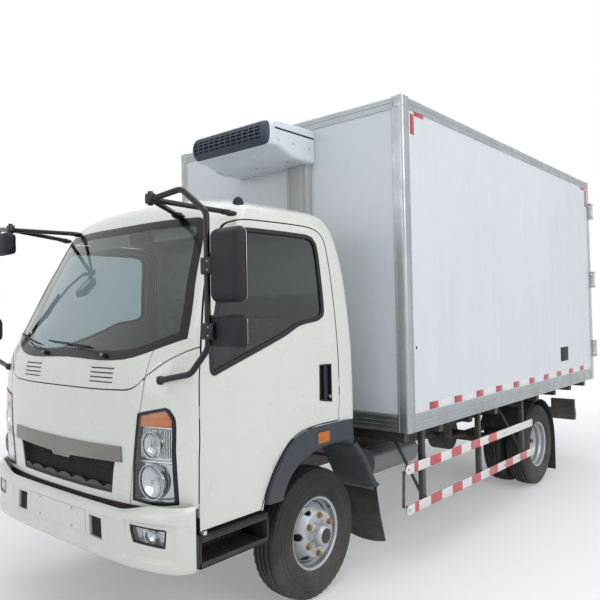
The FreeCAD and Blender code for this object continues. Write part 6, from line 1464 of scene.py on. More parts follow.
def front_bumper():
    """Painted shell with its pressed fields, slots with mesh, plate panel and fog lamps."""
    openings = [front_cutter(line, far=-2.6) for line in both_sides(SLOT_EDGE) + both_sides(FOG_EDGE)]
    shell = bumper_piece("bumper_shell", ["cab_paint"], leave=openings)
    discard(*openings)
    put(shell, "chassis", "front_bumper")

    probe = object_of(bumper_skin(), "bumper_probe", ["cab_paint"], 60)
    bpy.context.view_layer.update()
    bm = bmesh.new()
    for side in (-1, 1):
        for k in range(10):
            x = side * (0.332 + 0.0132 * k)
            bar(bm, bumper_spot(probe, x, 0.574, -0.014), bumper_spot(probe, x, 0.692, -0.014), 0.0016, sides=6)
        for k in range(9):
            z = 0.580 + 0.0132 * k
            bar(bm, bumper_spot(probe, side * 0.326, z, -0.014), bumper_spot(probe, side * 0.456, z, -0.014), 0.0016,
                sides=6)
        for x, z in ((0.17, 0.690), (0.17, 0.598)):
            spot = bumper_spot(probe, side * x, z, 0.002)
            bar(bm, spot + Vector((0, 0.004, 0)), spot - Vector((0, 0.003, 0)), 0.0065, look=1, sides=6, edge=0.001)
    put(object_of(bm, "bumper_mesh", ["soft_black", "zinc"]), "chassis")

    for k, line in enumerate(both_sides(SLOT_EDGE)):
        fit = front_cutter(drawn_in(line, -0.008), far=-2.6)
        # soft black sheet behind each slot: painted shade behind the mesh
        put(bumper_piece("slot_back_%d" % k, ["soft_black"], [fit], outwards=-0.022, thickness=0.004, edge=0),
            "chassis")
        rim_hole = front_cutter(drawn_in(line, 0.004), far=-2.6)
        rim_fit = front_cutter(drawn_in(line, -0.001), far=-2.6)
        put(bumper_piece("slot_lip_%d" % k, ["cab_paint"], [rim_fit], [rim_hole], outwards=0.0008, thickness=0.020,
                         edge=0.001), "chassis")
        discard(fit, rim_hole, rim_fit)
    fit = front_cutter(PLATE_EDGE, far=-2.6)
    put(bumper_piece("plate_panel", ["cab_paint"], [fit], outwards=0.0035, thickness=0.004, edge=0.0012), "chassis")
    discard(fit)
    for k, line in enumerate(both_sides(FOG_EDGE)):
        side = 1 if k == 0 else -1
        outline = flowing(line, 3, 60)
        wide = front_cutter(drawn_in(outline, -0.004), far=-2.6)
        fit = front_cutter(drawn_in(outline, 0.001), far=-2.6)
        hole = front_cutter(drawn_in(outline, 0.009), far=-2.6)
        lens_fit = front_cutter(drawn_in(outline, 0.006), far=-2.6)
        put(bumper_piece("fog_back_%d" % k, ["reflector"], [wide], outwards=-0.040, thickness=0.004, edge=0), "chassis")
        put(bumper_piece("fog_frame_%d" % k, ["gloss_black"], [fit], [hole], outwards=-0.001, thickness=0.040,
                         edge=0.0015), "chassis")
        put(bumper_piece("fog_lens_%d" % k, ["clear_lens"], [lens_fit], outwards=-0.006, thickness=0.003, edge=0),
            "chassis")
        discard(wide, fit, hole, lens_fit)
        bm = bmesh.new()
        spot, radius = bumper_spot(probe, side * 0.775, 0.648, -0.036), 0.034
        ahead = Vector((side * 0.25, -1, 0)).normalized()
        bowl = [(0.020, radius), (0.022, radius + 0.003), (-0.001, radius + 0.002), (-0.002, 0.0), (0.0, 0.0),
                (0.002, radius * 0.4), (0.009, radius * 0.75)]
        turned(bm, bowl, spot, ahead, 0, 32, closed=False)
        ball(bm, spot + ahead * 0.012, (0.008, 0.008, 0.008), 1, 14, 8)
        for i in range(9):
            for x0 in (0.668, 0.824):
                x = side * (x0 + 0.0046 * i)
                bar(bm, bumper_spot(probe, x, 0.615, -0.034), bumper_spot(probe, x, 0.684, -0.034), 0.0022, sides=6)
        put(object_of(bm, "fog_bowl_%d" % k, ["reflector", "clear_lens"], 40), "chassis")
    discard(probe)


def gap_shade_band():
    """A soft black band set back between cab and bumper, with the hinge covers behind the lamps: painted shade in the
    gap between them.
    """
    low, high = (-2, -4, 0.6), (2, -2.72, 0.82)
    fit = front_cutter([(-0.90, 0.702), (0.90, 0.702), (0.90, 0.790), (0.62, 0.790), (0.60, 0.772), (-0.60, 0.772),
                        (-0.62, 0.790), (-0.90, 0.790)], far=-2.6)
    # soft black sheet set back from the skin: painted shade in the gap
    put(skin_piece("gap_shade_band", ["soft_black"], [fit], [], low, high, outwards=-0.016, thickness=0.006, edge=0.001),
        "cab")
    discard(fit)


# ---------------------------------------------------------------- wheel flares, steps and mudguards
FLARE_OUTER = [(0.96, 0.2171), (0.8773, 0.2171), (0.6953, 0.2137), (0.5887, 0.1886), (0.51, 0.1257),
               (0.464, 0.0669), (0.44, 0.0171)]
FLARE_INNER = [(0.96, 0.1269), (0.9133, 0.1463), (0.7933, 0.1491), (0.6667, 0.1297), (0.5867, 0.0971),
               (0.54, 0.0543), (0.52, 0.0171)]
FLARE_SECTION = [(0.0, 0.900), (0.004, 0.946), (0.03, 0.9515), (0.12, 0.9545), (0.40, 0.9575), (0.80, 0.9585),
                 (0.90, 0.9570), (0.965, 0.952), (1.0, 0.942), (1.0, 0.90), (1.0, 0.74), (1.0, 0.570)]


def sheet_of(rows, name, looks, thickness, edge=0.0, smooth=40):
    """A surface through rows of points, given a thickness."""
    bm = bmesh.new()
    made = [[bm.verts.new(p) for p in row] for row in rows]
    for low, high in zip(made, made[1:]):
        for k in range(len(low) - 1):
            bm.faces.new((low[k], low[k + 1], high[k + 1], high[k]))
    piece = object_of(bm, name, looks, smooth)
    wall = piece.modifiers.new("wall", "SOLIDIFY")
    wall.thickness = thickness
    wall.offset = 0
    wall.use_even_offset = True
    if edge:
        softened(piece, edge, 2, 45)
    return settle(piece, smooth)


def wheel_flares():
    """Moulded arch over the front wheel with its liner and the amber side lamp."""
    outer, inner = in_side_view(FLARE_OUTER), in_side_view(FLARE_INNER)
    rows = []
    for k in range(61):
        place = k / 60 * (len(outer) - 1)
        a, b = between(outer, place), between(inner, place)
        row = []
        for share, x in FLARE_SECTION:
            row.append((x, a[0] + (b[0] - a[0]) * share, a[1] + (b[1] - a[1]) * share))
        rows.append(row)
    left = sheet_of(rows, "wheel_flare_left", ["slate_plastic"], 0.0045, 0.0012)
    right = other_side(left, "wheel_flare_right")
    put(left, "cab", "wheel_flares")
    put(right, "cab")
    bm = bmesh.new()
    block(bm, (0.9545, -1.868, 0.928), (0.9600, -1.746, 1.006), 0.002, look=1)
    block(bm, (0.9560, -1.862, 0.934), (0.9638, -1.752, 1.000), 0.0035, look=0, segments=3)
    for k in range(7):
        block(bm, (0.9600, -1.856 + 0.0150 * k, 0.938), (0.9641, -1.850 + 0.0150 * k, 0.996), 0.001, look=0)
    marker = object_of(bm, "side_lamp_left", ["amber_lens", "gloss_black"])
    put(other_side(marker, "side_lamp_right"), "cab")
    put(marker, "cab")


GUARD_LINE = [(-1.497, 0.862), (-1.440, 0.808), (-1.385, 0.742), (-1.330, 0.652), (-1.285, 0.578), (-1.240, 0.540)]


def front_mudguards():
    """Moulded rear part of the arch with a rubber flap."""
    arch_rows = []
    for k in range(25):
        y, z = between(GUARD_LINE, k / 24 * (len(GUARD_LINE) - 1))
        arch_rows.append([(x, y + push, z + push * 0.6) for x, push in (
            (0.642, 0.002), (0.90, 0.002), (0.930, 0.004), (0.944, 0.008), (0.948, 0.016), (0.948, 0.034))])
    left = sheet_of(arch_rows, "mudguard_left", ["slate_plastic"], 0.005, 0.001)
    flap_rows = []
    for s in [i / 14 for i in range(15)]:
        y = -1.236 + 0.012 * s + 0.085 * s ** 1.4
        flap_rows.append([(x, y, 0.556 - 0.412 * s + 0.02 * s * ((x - 0.79) / 0.15) ** 2)
                          for x in [0.645 + 0.0125 * i for i in range(25)]])
    flap = sheet_of(flap_rows, "front_flap_left", ["flap_rubber"], 0.007, 0.0015)
    bm = bmesh.new()
    bar(bm, (0.424, -1.372, 0.742), (0.735, -1.372, 0.742), 0.0135, look=0, sides=18, edge=0.003)
    block(bm, (0.700, -1.385, 0.735), (0.760, -1.350, 0.752), 0.003)
    for x in (0.68, 0.79, 0.90):
        bar(bm, (x, -1.246, 0.538), (x, -1.222, 0.538), 0.009, look=1, sides=6, edge=0.001)
    block(bm, (0.655, -1.243, 0.525), (0.925, -1.235, 0.552), 0.002, look=1)
    stay = object_of(bm, "mudguard_stay_left", ["chassis_paint", "zinc"])
    put(other_side(left, "mudguard_right"), "chassis")
    put(left, "chassis", "front_mudguards")
    for piece, kind in ((flap, "front_flap_"), (stay, "mudguard_stay_")):
        put(other_side(piece, kind + "right"), "chassis")
        put(piece, "chassis")


def cab_steps():
    """Step wells with ribbed treads, and the dark corner piece ahead of them."""
    bm = bmesh.new()
    front, back, inner, outer = -2.747, -2.261, 0.722, 0.928
    block(bm, (inner, front, 0.620), (outer, back, 0.632), 0.004)
    block(bm, (inner, front, 0.472), (outer, back, 0.485), 0.005)
    block(bm, (inner, front, 0.474), (inner + 0.012, back, 0.630), 0.003)
    for y in (front, back - 0.013):
        block(bm, (inner, y, 0.474), (outer, y + 0.013, 0.630), 0.004)
    block(bm, (outer - 0.012, front, 0.472), (outer, back, 0.502), 0.004)
    block(bm, (outer - 0.016, front, 0.596), (outer, back, 0.632), 0.005)
    for k in range(9):
        x = inner + 0.026 + 0.0200 * k
        block(bm, (x, front + 0.02, 0.484), (x + 0.009, back - 0.02, 0.4905), 0.002)
    for k in range(22):
        y = front + 0.030 + 0.0196 * k
        block(bm, (outer - 0.010, y, 0.6335), (outer - 0.070, y + 0.010, 0.6300), 0.001)
        block(bm, (inner + 0.030, y, 0.4860), (outer - 0.020, y + 0.006, 0.4930), 0.0015)
    for z in (0.515, 0.545, 0.575):
        block(bm, (inner + 0.010, front + 0.02, z), (inner + 0.020, back - 0.02, z + 0.010), 0.002)
    for k in range(11):
        y = front + 0.040 + 0.040 * k
        block(bm, (inner + 0.010, y, 0.488), (inner + 0.017, y + 0.008, 0.615), 0.001)
    block(bm, (0.424, -2.549, 0.600), (0.735, -2.459, 0.617), 0.003, look=1)
    left = object_of(bm, "step_left", ["black_plastic", "chassis_paint"])
    put(other_side(left, "step_right"), "chassis")
    put(left, "chassis", "cab_steps")
    bm = bmesh.new()
    plate(bm, [(0.880, -2.806, 0.486), (0.880, -2.752, 0.486), (0.880, -2.752, 0.640), (0.880, -2.768, 0.642),
               (0.880, -2.768, 0.740), (0.880, -2.800, 0.752)], (0.052, 0, 0), edge=0.004)
    block(bm, (0.72, -2.790, 0.50), (0.885, -2.752, 0.72), 0.006)
    corner = object_of(bm, "step_corner_left", ["black_plastic"])
    put(other_side(corner, "step_corner_right"), "chassis")
    put(corner, "chassis")


front_bumper()
gap_shade_band()
wheel_flares()
front_mudguards()
cab_steps()


# ---------------------------------------------------------------- mirrors, wipers and door handles
def mirror_arm():
    """Tube arm with its brackets and the two rear-view mirrors, then the front-view one."""
    knee, near_foot = Vector((0.750, -2.880, 2.280)), Vector((0.532, -2.532, 2.262))
    side_foot = Vector((0.846, -2.432, 2.252))
    route = [knee, (0.957, -2.857, 2.306), (1.110, -2.837, 2.180), (1.110, -2.837, 1.550), (1.007, -2.857, 1.430),
             (0.798, -2.876, 1.392)]
    arm = tube("mirror_tube_left", bent(route, 0.055), 0.0150, ["gloss_black"], 3, 5, 4)
    bm = bmesh.new()
    for foot in (near_foot, side_foot):
        bar(bm, knee, foot, 0.0140, look=0, sides=16, edge=0.002)
        away = (knee - foot).normalized()
        clamp = foot + away * 0.030
        block(bm, clamp - Vector((0.022, 0.026, 0.014)), clamp + Vector((0.022, 0.026, 0.012)), 0.009, look=0,
              segments=3)
        ball(bm, foot + Vector((0, 0, -0.004)), (0.030, 0.040, 0.016), 0, 16, 8)
    block(bm, knee - Vector((0.026, 0.020, 0.022)), knee + Vector((0.022, 0.020, 0.030)), 0.008, look=0, segments=3)
    bar(bm, knee + Vector((-0.002, 0, -0.03)), knee + Vector((-0.002, 0, 0.040)), 0.014, look=0, sides=18, edge=0.003)
    for z, half in ((1.930, 0.040), (1.630, 0.038)):
        block(bm, (1.084, -2.8595, z - half), (1.158, -2.812, z + half), 0.009, look=0, segments=3)
        for bolt in (z - 0.5 * half, z + 0.5 * half):
            bar(bm, (1.136, -2.8625, bolt), (1.136, -2.8580, bolt), 0.006, look=3, sides=6, edge=0.001)
    ball(bm, (0.800, -2.872, 1.392), (0.022, 0.022, 0.022), 0, 16, 10)
    block(bm, (0.782, -2.886, 1.372), (0.812, -2.858, 1.412), 0.006, look=0)
    for z, height in ((1.930, 0.345), (1.630, 0.150)):
        low, high = (1.1205, -2.8540, z - height / 2), (1.3235, -2.7835, z + height / 2)
        if height < 0.2:
            low = (1.0760, -2.8300, low[2])
        points = block(bm, low, high, 0.030, look=1, segments=6)
        for v in points:
            ahead = swell(-v.co.y, 2.80, -low[1])
            v.co.x += ((low[0] + high[0]) / 2 - v.co.x) * 0.16 * ahead
            v.co.z += (z - v.co.z) * 0.10 * ahead
        plate(bm, [(low[0] + 0.009, -2.7845, low[2] + 0.009), (high[0] - 0.009, -2.7845, low[2] + 0.009),
                   (high[0] - 0.009, -2.7845, high[2] - 0.009), (low[0] + 0.009, -2.7845, high[2] - 0.009)],
              (0, 0.0022, 0), look=2, corner=0.022, edge=0.0006, segments=5)
    head = object_of(bm, "mirror_heads_left", ["gloss_black", "black_plastic", "mirror_glass", "zinc"], 40)
    for piece, kind in ((arm, "mirror_tube_"), (head, "mirror_heads_")):
        put(other_side(piece, kind + "right"), "cab")
    put(arm, "cab")
    put(head, "cab", "mirrors")
    bm = bmesh.new()
    points = block(bm, (-0.842, -2.957, 2.112), (-0.658, -2.884, 2.256), 0.034, look=0, segments=6)
    bar(bm, (-0.750, -2.880, 2.285), (-0.750, -2.892, 2.190), 0.010, look=1, sides=14)
    plate(bm, [(-0.834, -2.8850, 2.120), (-0.666, -2.8850, 2.120), (-0.666, -2.8850, 2.248), (-0.834, -2.8850, 2.248)],
          (0, 0.0020, 0), look=2, corner=0.030, edge=0.0006, segments=5)
    put(object_of(bm, "front_view_mirror", ["black_plastic", "gloss_black", "mirror_glass"], 40), "cab")


def wiper(name, pivot, tip, blade):
    """Arm from its pivot and a blade that lies on the glass."""
    bm = bmesh.new()
    base, facing = skin_spot(*pivot, 0.006)
    bar(bm, base - facing * 0.010, base + facing * 0.014, 0.015, 0.012, look=0, sides=18, edge=0.003)
    bar(bm, base + facing * 0.008, base + facing * 0.022, 0.008, look=1, sides=6, edge=0.001)
    route = []
    for k in range(9):
        share = k / 8
        x, z = pivot[0] + (tip[0] - pivot[0]) * share, pivot[1] + (tip[1] - pivot[1]) * share
        route.append(skin_spot(x, z, 0.017 + 0.012 * math.sin(math.pi * share))[0])
    for k, (a, b) in enumerate(zip(route, route[1:])):
        bar(bm, a, b, 0.0062 - 0.0004 * k, 0.0058 - 0.0004 * k, look=0, sides=12)
        ball(bm, b, (0.0058 - 0.0004 * k,) * 3, 0, 10, 6)
    line = []
    for k in range(25):
        share = k / 24
        x, z = blade[0][0] + (blade[1][0] - blade[0][0]) * share, blade[0][1] + (blade[1][1] - blade[0][1]) * share
        line.append((skin_spot(x, z, 0.003)[0], skin_spot(x, z, 0.012)[0]))
    for a, b in zip(line, line[1:]):
        bar(bm, a[0], b[0], 0.0028, look=2, sides=8)
        bar(bm, a[1], b[1], 0.0046, look=0, sides=8)
    for k in (2, 8, 16, 22):
        bar(bm, line[k][0], line[k][1], 0.004, look=0, sides=8)
    middle = line[12][1]
    bar(bm, middle, route[-1], 0.005, look=0, sides=10)
    put(object_of(bm, name, ["black_plastic", "zinc", "soft_black"], 40), "cab")


def roof_dome():
    bm = bmesh.new()
    spot = Vector((0.770, -2.300, 2.306))
    bar(bm, spot, spot + Vector((0, 0, 0.016)), 0.038, 0.034, look=0, sides=32, edge=0.003)
    ball(bm, spot + Vector((0, 0, 0.016)), (0.029, 0.034, 0.044), 0, 28, 18)
    put(object_of(bm, "roof_aerial", ["black_plastic"], 40), "cab")


def door_handle():
    """Dark cup sunk in the door with an upright grip and the lock."""
    outline = flowing(drawn_in(PULL_EDGE, 0.001), 3, 60)
    low, high = (0.3, -4, 1.0), (2, -1.5, 1.6)
    fit = side_cutter(outline)
    hole = side_cutter(drawn_in(outline, 0.009))
    ring = skin_piece("pull_rim_left", ["black_plastic"], [fit], [hole], low, high, outwards=0.0018, thickness=0.024,
                      edge=0.0022, segments=3)
    back = skin_piece("pull_cup_left", ["soft_black"], [fit], [], low, high, outwards=-0.021, thickness=0.004, edge=0)
    grip_fit = side_cutter(flowing([(-1.772, 1.150), (-1.742, 1.146), (-1.738, 1.404), (-1.768, 1.406)], 3, 60))
    trimmed = side_cutter(drawn_in(outline, -0.001))
    grip = skin_piece("pull_grip_left", ["black_plastic"], [grip_fit, trimmed], [], low, high, outwards=0.0042,
                      thickness=0.014, edge=0.004, segments=3)
    discard(fit, hole, grip_fit, trimmed)
    bm = bmesh.new()
    bar(bm, (0.925, -1.708, 1.196), (0.9425, -1.708, 1.196), 0.0115, look=0, sides=24, edge=0.0015)
    block(bm, (0.9405, -1.7095, 1.189), (0.9430, -1.7065, 1.203), 0.0005, look=1)
    lock = object_of(bm, "door_lock_left", ["zinc", "soft_black"])
    for piece, kind in ((ring, "pull_rim_"), (back, "pull_cup_"), (grip, "pull_grip_"), (lock, "door_lock_")):
        put(other_side(piece, kind + "right"), "cab_door_right")
        put(piece, "cab_door_left")


def door_cards():
    """Inner door linings with armrest, pull, crank and pocket."""
    low, high = (0.3, -4, 0.6), (2, -1.3, 2.4)
    fit = side_cutter(drawn_in(door_line, 0.016))
    hole = side_cutter(drawn_in(window_line, -0.004))
    arch = side_cutter([(-2.36, 0.50), (-2.25, 0.70), (-2.18, 0.82), (-2.05, 0.93), (-1.90, 0.995), (-1.50, 1.03),
                        (-1.50, 0.50)])
    card = skin_piece("door_card_left", ["trim_plastic"], [fit], [hole, arch], low, high, outwards=-0.0365,
                      thickness=0.006, edge=0.002)
    discard(fit, hole, arch)
    bm = bmesh.new()
    block(bm, (0.868, -2.300, 1.205), (0.895, -1.860, 1.262), 0.012, look=0, segments=3)
    block(bm, (0.872, -2.560, 0.790), (0.895, -2.320, 0.900), 0.010, look=0, segments=3)
    bar(bm, (0.895, -2.050, 1.120), (0.872, -2.050, 1.120), 0.020, look=1, sides=20, edge=0.003)
    bar(bm, (0.876, -2.050, 1.120), (0.872, -2.130, 1.090), 0.008, look=1, sides=12, edge=0.002)
    ball(bm, (0.862, -2.132, 1.089), (0.013, 0.012, 0.012), 1, 14, 8)
    block(bm, (0.876, -2.420, 1.195), (0.893, -2.330, 1.228), 0.006, look=1)
    for k in range(6):
        block(bm, (0.889, -2.55 + 0.04 * k, 0.93), (0.8965, -2.53 + 0.04 * k, 1.05), 0.003, look=0)
    trim = object_of(bm, "door_trim_left", ["trim_plastic", "black_plastic"])
    for piece, kind in ((card, "door_card_"), (trim, "door_trim_")):
        put(other_side(piece, kind + "right"), "cab_door_right")
        put(piece, "cab_door_left")


mirror_arm()
wiper("wiper_left", (0.360, 1.500), (-0.020, 1.556), ((0.210, 1.540), (-0.250, 1.566)))
wiper("wiper_right", (-0.250, 1.500), (-0.560, 1.570), ((-0.350, 1.545), (-0.760, 1.600)))
roof_dome()
discard(FRONT_PROBE)
door_handle()
door_cards()


# ---------------------------------------------------------------- insulated box
BOX_SIDE, BOX_FRONT, BOX_REAR, BOX_LOW, BOX_TOP = 1.150, -1.144, 2.956, 0.902, 3.152


def corner_profile(size=0.085, round_at=0.020, groove=0.0035):
    """Outline of an edge extrusion: a from the corner along one face, b along the other."""
    line = [(size, 0.0012), (size - 0.002, 0.0), (size - 0.009, 0.0), (size - 0.011, groove), (0.044, groove),
            (0.042, 0.0), (round_at, 0.0)]
    arc = [(round_at * (1 - math.sin(t)), round_at * (1 - math.cos(t))) for t in
           [math.pi / 2 * k / 8 for k in range(1, 8)]]
    return line + arc + [(b, a) for a, b in line[::-1]] + [(size, size)]


def rivets(bm, spots, out, radius=0.0045, look=1):
    for spot in spots:
        ball(bm, Vector(spot) - Vector(out) * radius * 0.35, (radius,) * 3, look, 10, 6)


def spaced(start, end, pitch):
    count = max(int(round((end - start) / pitch)), 1)
    return [start + (end - start) * k / count for k in range(count + 1)]


def box_edges():
    """Grooved aluminium posts and rails round the box, riveted to its panels."""
    profile = corner_profile()
    bm = bmesh.new()
    plate(bm, [(BOX_SIDE - b, BOX_FRONT + a, BOX_LOW) for a, b in profile], (0, 0, BOX_TOP - BOX_LOW), look=0)
    plate(bm, [(BOX_SIDE - b, BOX_FRONT + 0.085, BOX_TOP - a) for a, b in profile], (0, 3.937, 0), look=0)
    low = [(0.0, 0.0015), (0.003, 0.0), (0.014, 0.0), (0.016, 0.0035), (0.036, 0.0035), (0.038, 0.0), (0.044, 0.0),
           (0.046, 0.0035), (0.064, 0.0035), (0.066, 0.0), (0.072, 0.0), (0.074, 0.0035), (0.094, 0.0035),
           (0.096, 0.0), (0.117, 0.0), (0.120, 0.0015), (0.120, 0.085), (0.0, 0.085)]
    plate(bm, [(BOX_SIDE - b, BOX_FRONT + 0.085, BOX_LOW + a) for a, b in low], (0, 3.937, 0), look=0)
    side_z = [1.012, BOX_TOP - 0.0795]
    spots = [(BOX_SIDE, y, z) for z in side_z for y in spaced(BOX_FRONT + 0.12, BOX_REAR - 0.12, 0.15)]
    spots += [(BOX_SIDE, BOX_FRONT + 0.0795, z) for z in spaced(BOX_LOW + 0.06, BOX_TOP - 0.06, 0.15)]
    rivets(bm, spots, (1, 0, 0))
    rivets(bm, [(BOX_SIDE - 0.0795, BOX_FRONT, z) for z in spaced(BOX_LOW + 0.06, BOX_TOP - 0.06, 0.15)], (0, -1, 0))
    bm.normal_update()
    mirrored(bm, list(bm.verts))
    plate(bm, [(-1.065, BOX_FRONT + b, BOX_TOP - a) for a, b in profile], (2.13, 0, 0), look=0)
    plate(bm, [(-1.065, BOX_FRONT + b, BOX_LOW + a) for a, b in low], (2.13, 0, 0), look=0)
    for z in (BOX_TOP - 0.0795, 1.012):
        rivets(bm, [(x, BOX_FRONT, z) for x in spaced(-1.02, 1.02, 0.15)], (0, -1, 0))
    for side in (-1, 1):
        x0, x1 = sorted((side * (BOX_SIDE - 0.083), side * (BOX_SIDE + 0.0012)))
        block(bm, (x0, BOX_FRONT - 0.0006, BOX_TOP - 0.086), (x1, BOX_FRONT + 0.083, BOX_TOP - 0.0006), 0.018, look=2,
              segments=5)
    put(object_of(bm, "box_edge_extrusions", ["upright_aluminium", "zinc", "aluminium"], 30), "chassis",
        "box_edge_rails")


def tape_and_marks():
    """Red and white reflectors along the sides, the red corner marks and the small dark hatch."""
    bm = bmesh.new()
    start, pitch, red_length, white_length = -0.86, 0.371, 0.125, 0.165
    panel, face, soft = 1.1448, 1.1462, 0.0006
    for k in range(11):
        red, white = start + pitch * k, start + pitch * k + 0.160
        if red + 0.13 < BOX_REAR - 0.1:
            block(bm, (panel, red, 1.027), (1.1464, red + red_length, 1.077), soft, look=0)
        if white + 0.16 < BOX_REAR - 0.09:
            block(bm, (panel, white, 1.027), (face, white + white_length, 1.077), soft, look=1)
    for y0, y1, z0, z1 in ((-1.038, -0.988, 2.905, 3.045), (-0.985, -0.855, 3.040, 3.072),
                           (2.815, 2.862, 2.860, 3.045), (2.690, 2.820, 3.040, 3.072)):
        block(bm, (panel, y0, z0), (face, y1, z1), soft, look=0)
    bar(bm, (1.1440, -1.02, 1.46), (1.1468, -1.02, 1.46), 0.010, look=2, sides=16, edge=0.001)
    mirrored(bm, list(bm.verts))
    block(bm, (1.1445, 1.862, 1.170), (1.1475, 2.092, 1.312), 0.003, look=2, segments=3)
    block(bm, (1.1470, 1.880, 1.186), (1.1492, 2.074, 1.296), 0.002, look=2)
    for k in range(5):
        block(bm, (1.1480, 1.894, 1.199 + 0.018 * k), (1.1500, 2.060, 1.208 + 0.018 * k), 0.001, look=2)
    put(object_of(bm, "side_reflectors", ["red_mark", "tape_white", "black_plastic"]), "chassis")


def rear_end():
    """Hinge ears, lock rod cams, top lamps and seals of the rear frame; tail lamps on the bar."""
    bm = bmesh.new()
    for side in (-1, 1):
        for x in (0.30, 0.62, 0.94):
            block(bm, (side * x - 0.032, 2.9555, 3.092), (side * x + 0.032, 2.966, 3.122), 0.004, look=1, segments=3)
        for z in spaced(BOX_LOW + 0.10, BOX_TOP - 0.10, 0.17):
            ball(bm, (side * (BOX_SIDE - 0.020), 2.9555, z), (0.0045, 0.003, 0.0045), 2, 10, 6)
        post = side * (BOX_SIDE - 0.058)
        for k in range(9):
            z = 1.05 + 0.24 * k
            block(bm, (post - 0.0125, 2.9556, z), (post + 0.0125, 2.9572, z + 0.12), 0.0006, look=0 if k % 2 else 3)
        for x in (0.10, 0.34, 0.58, 0.82):
            block(bm, (side * x - 0.05, 2.9556, 0.935), (side * x + 0.05, 2.9572, 0.975), 0.0006,
                  look=3 if round(x * 100) % 48 == 10 else 0)
    block(bm, (-1.066, 2.884, 0.9925), (1.066, 2.944, 0.9955), 0.001, look=2)
    put(object_of(bm, "rear_frame_fittings", ["tape_white", "red_lens", "zinc", "red_mark"]), "chassis")

    for side, s in (("left", 1), ("right", -1)):
        bm = bmesh.new()
        inner, outer = 0.012, 1.056
        for x0, x1, z0, z1 in ((inner, outer, 1.004, 1.020), (inner, outer, 3.044, 3.060),
                               (inner, inner + 0.012, 1.004, 3.060), (outer - 0.014, outer, 1.004, 3.060)):
            x0, x1 = sorted((s * x0, s * x1))
            block(bm, (x0, 2.9540, z0), (x1, 2.9595, z1), 0.0025, look=0)
        for share in (0.06, 0.35, 0.65, 0.94):
            z = 1.002 + share * 2.060
            for dx in (-0.036, 0.036):
                bar(bm, (s * 0.198 + dx * 0.72, 2.954, z), (s * 0.198 + dx * 0.72, 2.9765, z), 0.006, look=1, sides=6,
                    edge=0.001)
        for share in (0.12, 0.5, 0.88):
            z = 1.002 + share * 2.060
            for x in (0.985, 0.955):
                for dz in (-0.034, 0.034):
                    bar(bm, (s * x, 2.960, z + dz), (s * x, 2.9835, z + dz), 0.007, look=1, sides=6, edge=0.001)
        block(bm, (s * 0.170 - 0.03, 2.9555, 1.345), (s * 0.170 + 0.03, 2.972, 1.400), 0.004, look=1)
        put(object_of(bm, "rear_door_fittings_" + side, ["soft_black", "zinc"]), "rear_door_" + side)

    bm = bmesh.new()
    for side in (-1, 1):
        for x, look in ((0.905, 1), (0.845, 2), (0.785, 1), (0.725, 3)):
            x0 = side * x
            block(bm, (x0 - 0.027, 2.937, 0.552), (x0 + 0.027, 2.9455, 0.640), 0.006, look=look, segments=3)
            for k in range(5):
                block(bm, (x0 - 0.024, 2.9440, 0.560 + 0.016 * k), (x0 + 0.024, 2.9470, 0.567 + 0.016 * k), 0.001,
                      look=look)
        x0, x1 = sorted((side * 0.685, side * 0.938))
        block(bm, (x0, 2.897, 0.541), (x1, 2.9400, 0.651), 0.008, look=0, segments=3)
    for side in (-1, 1):
        for k in range(5):
            x = side * (0.10 + 0.20 * k)
            block(bm, (x - 0.045, 2.9550, 0.455), (x + 0.045, 2.9572, 0.505), 0.0006, look=4 if k % 2 else 5)
    block(bm, (-0.26, 2.936, 0.552), (0.26, 2.943, 0.672), 0.004, look=6)
    block(bm, (-0.24, 2.9425, 0.560), (0.24, 2.9445, 0.664), 0.003, look=5)
    for x in (-0.17, 0.17):
        block(bm, (x - 0.02, 2.925, 0.672), (x + 0.02, 2.950, 0.690), 0.004, look=0)
    put(object_of(bm, "tail_lamps", ["black_plastic", "red_lens", "amber_lens", "clear_lens", "red_mark", "tape_white",
                                     "black_plastic"]), "chassis")


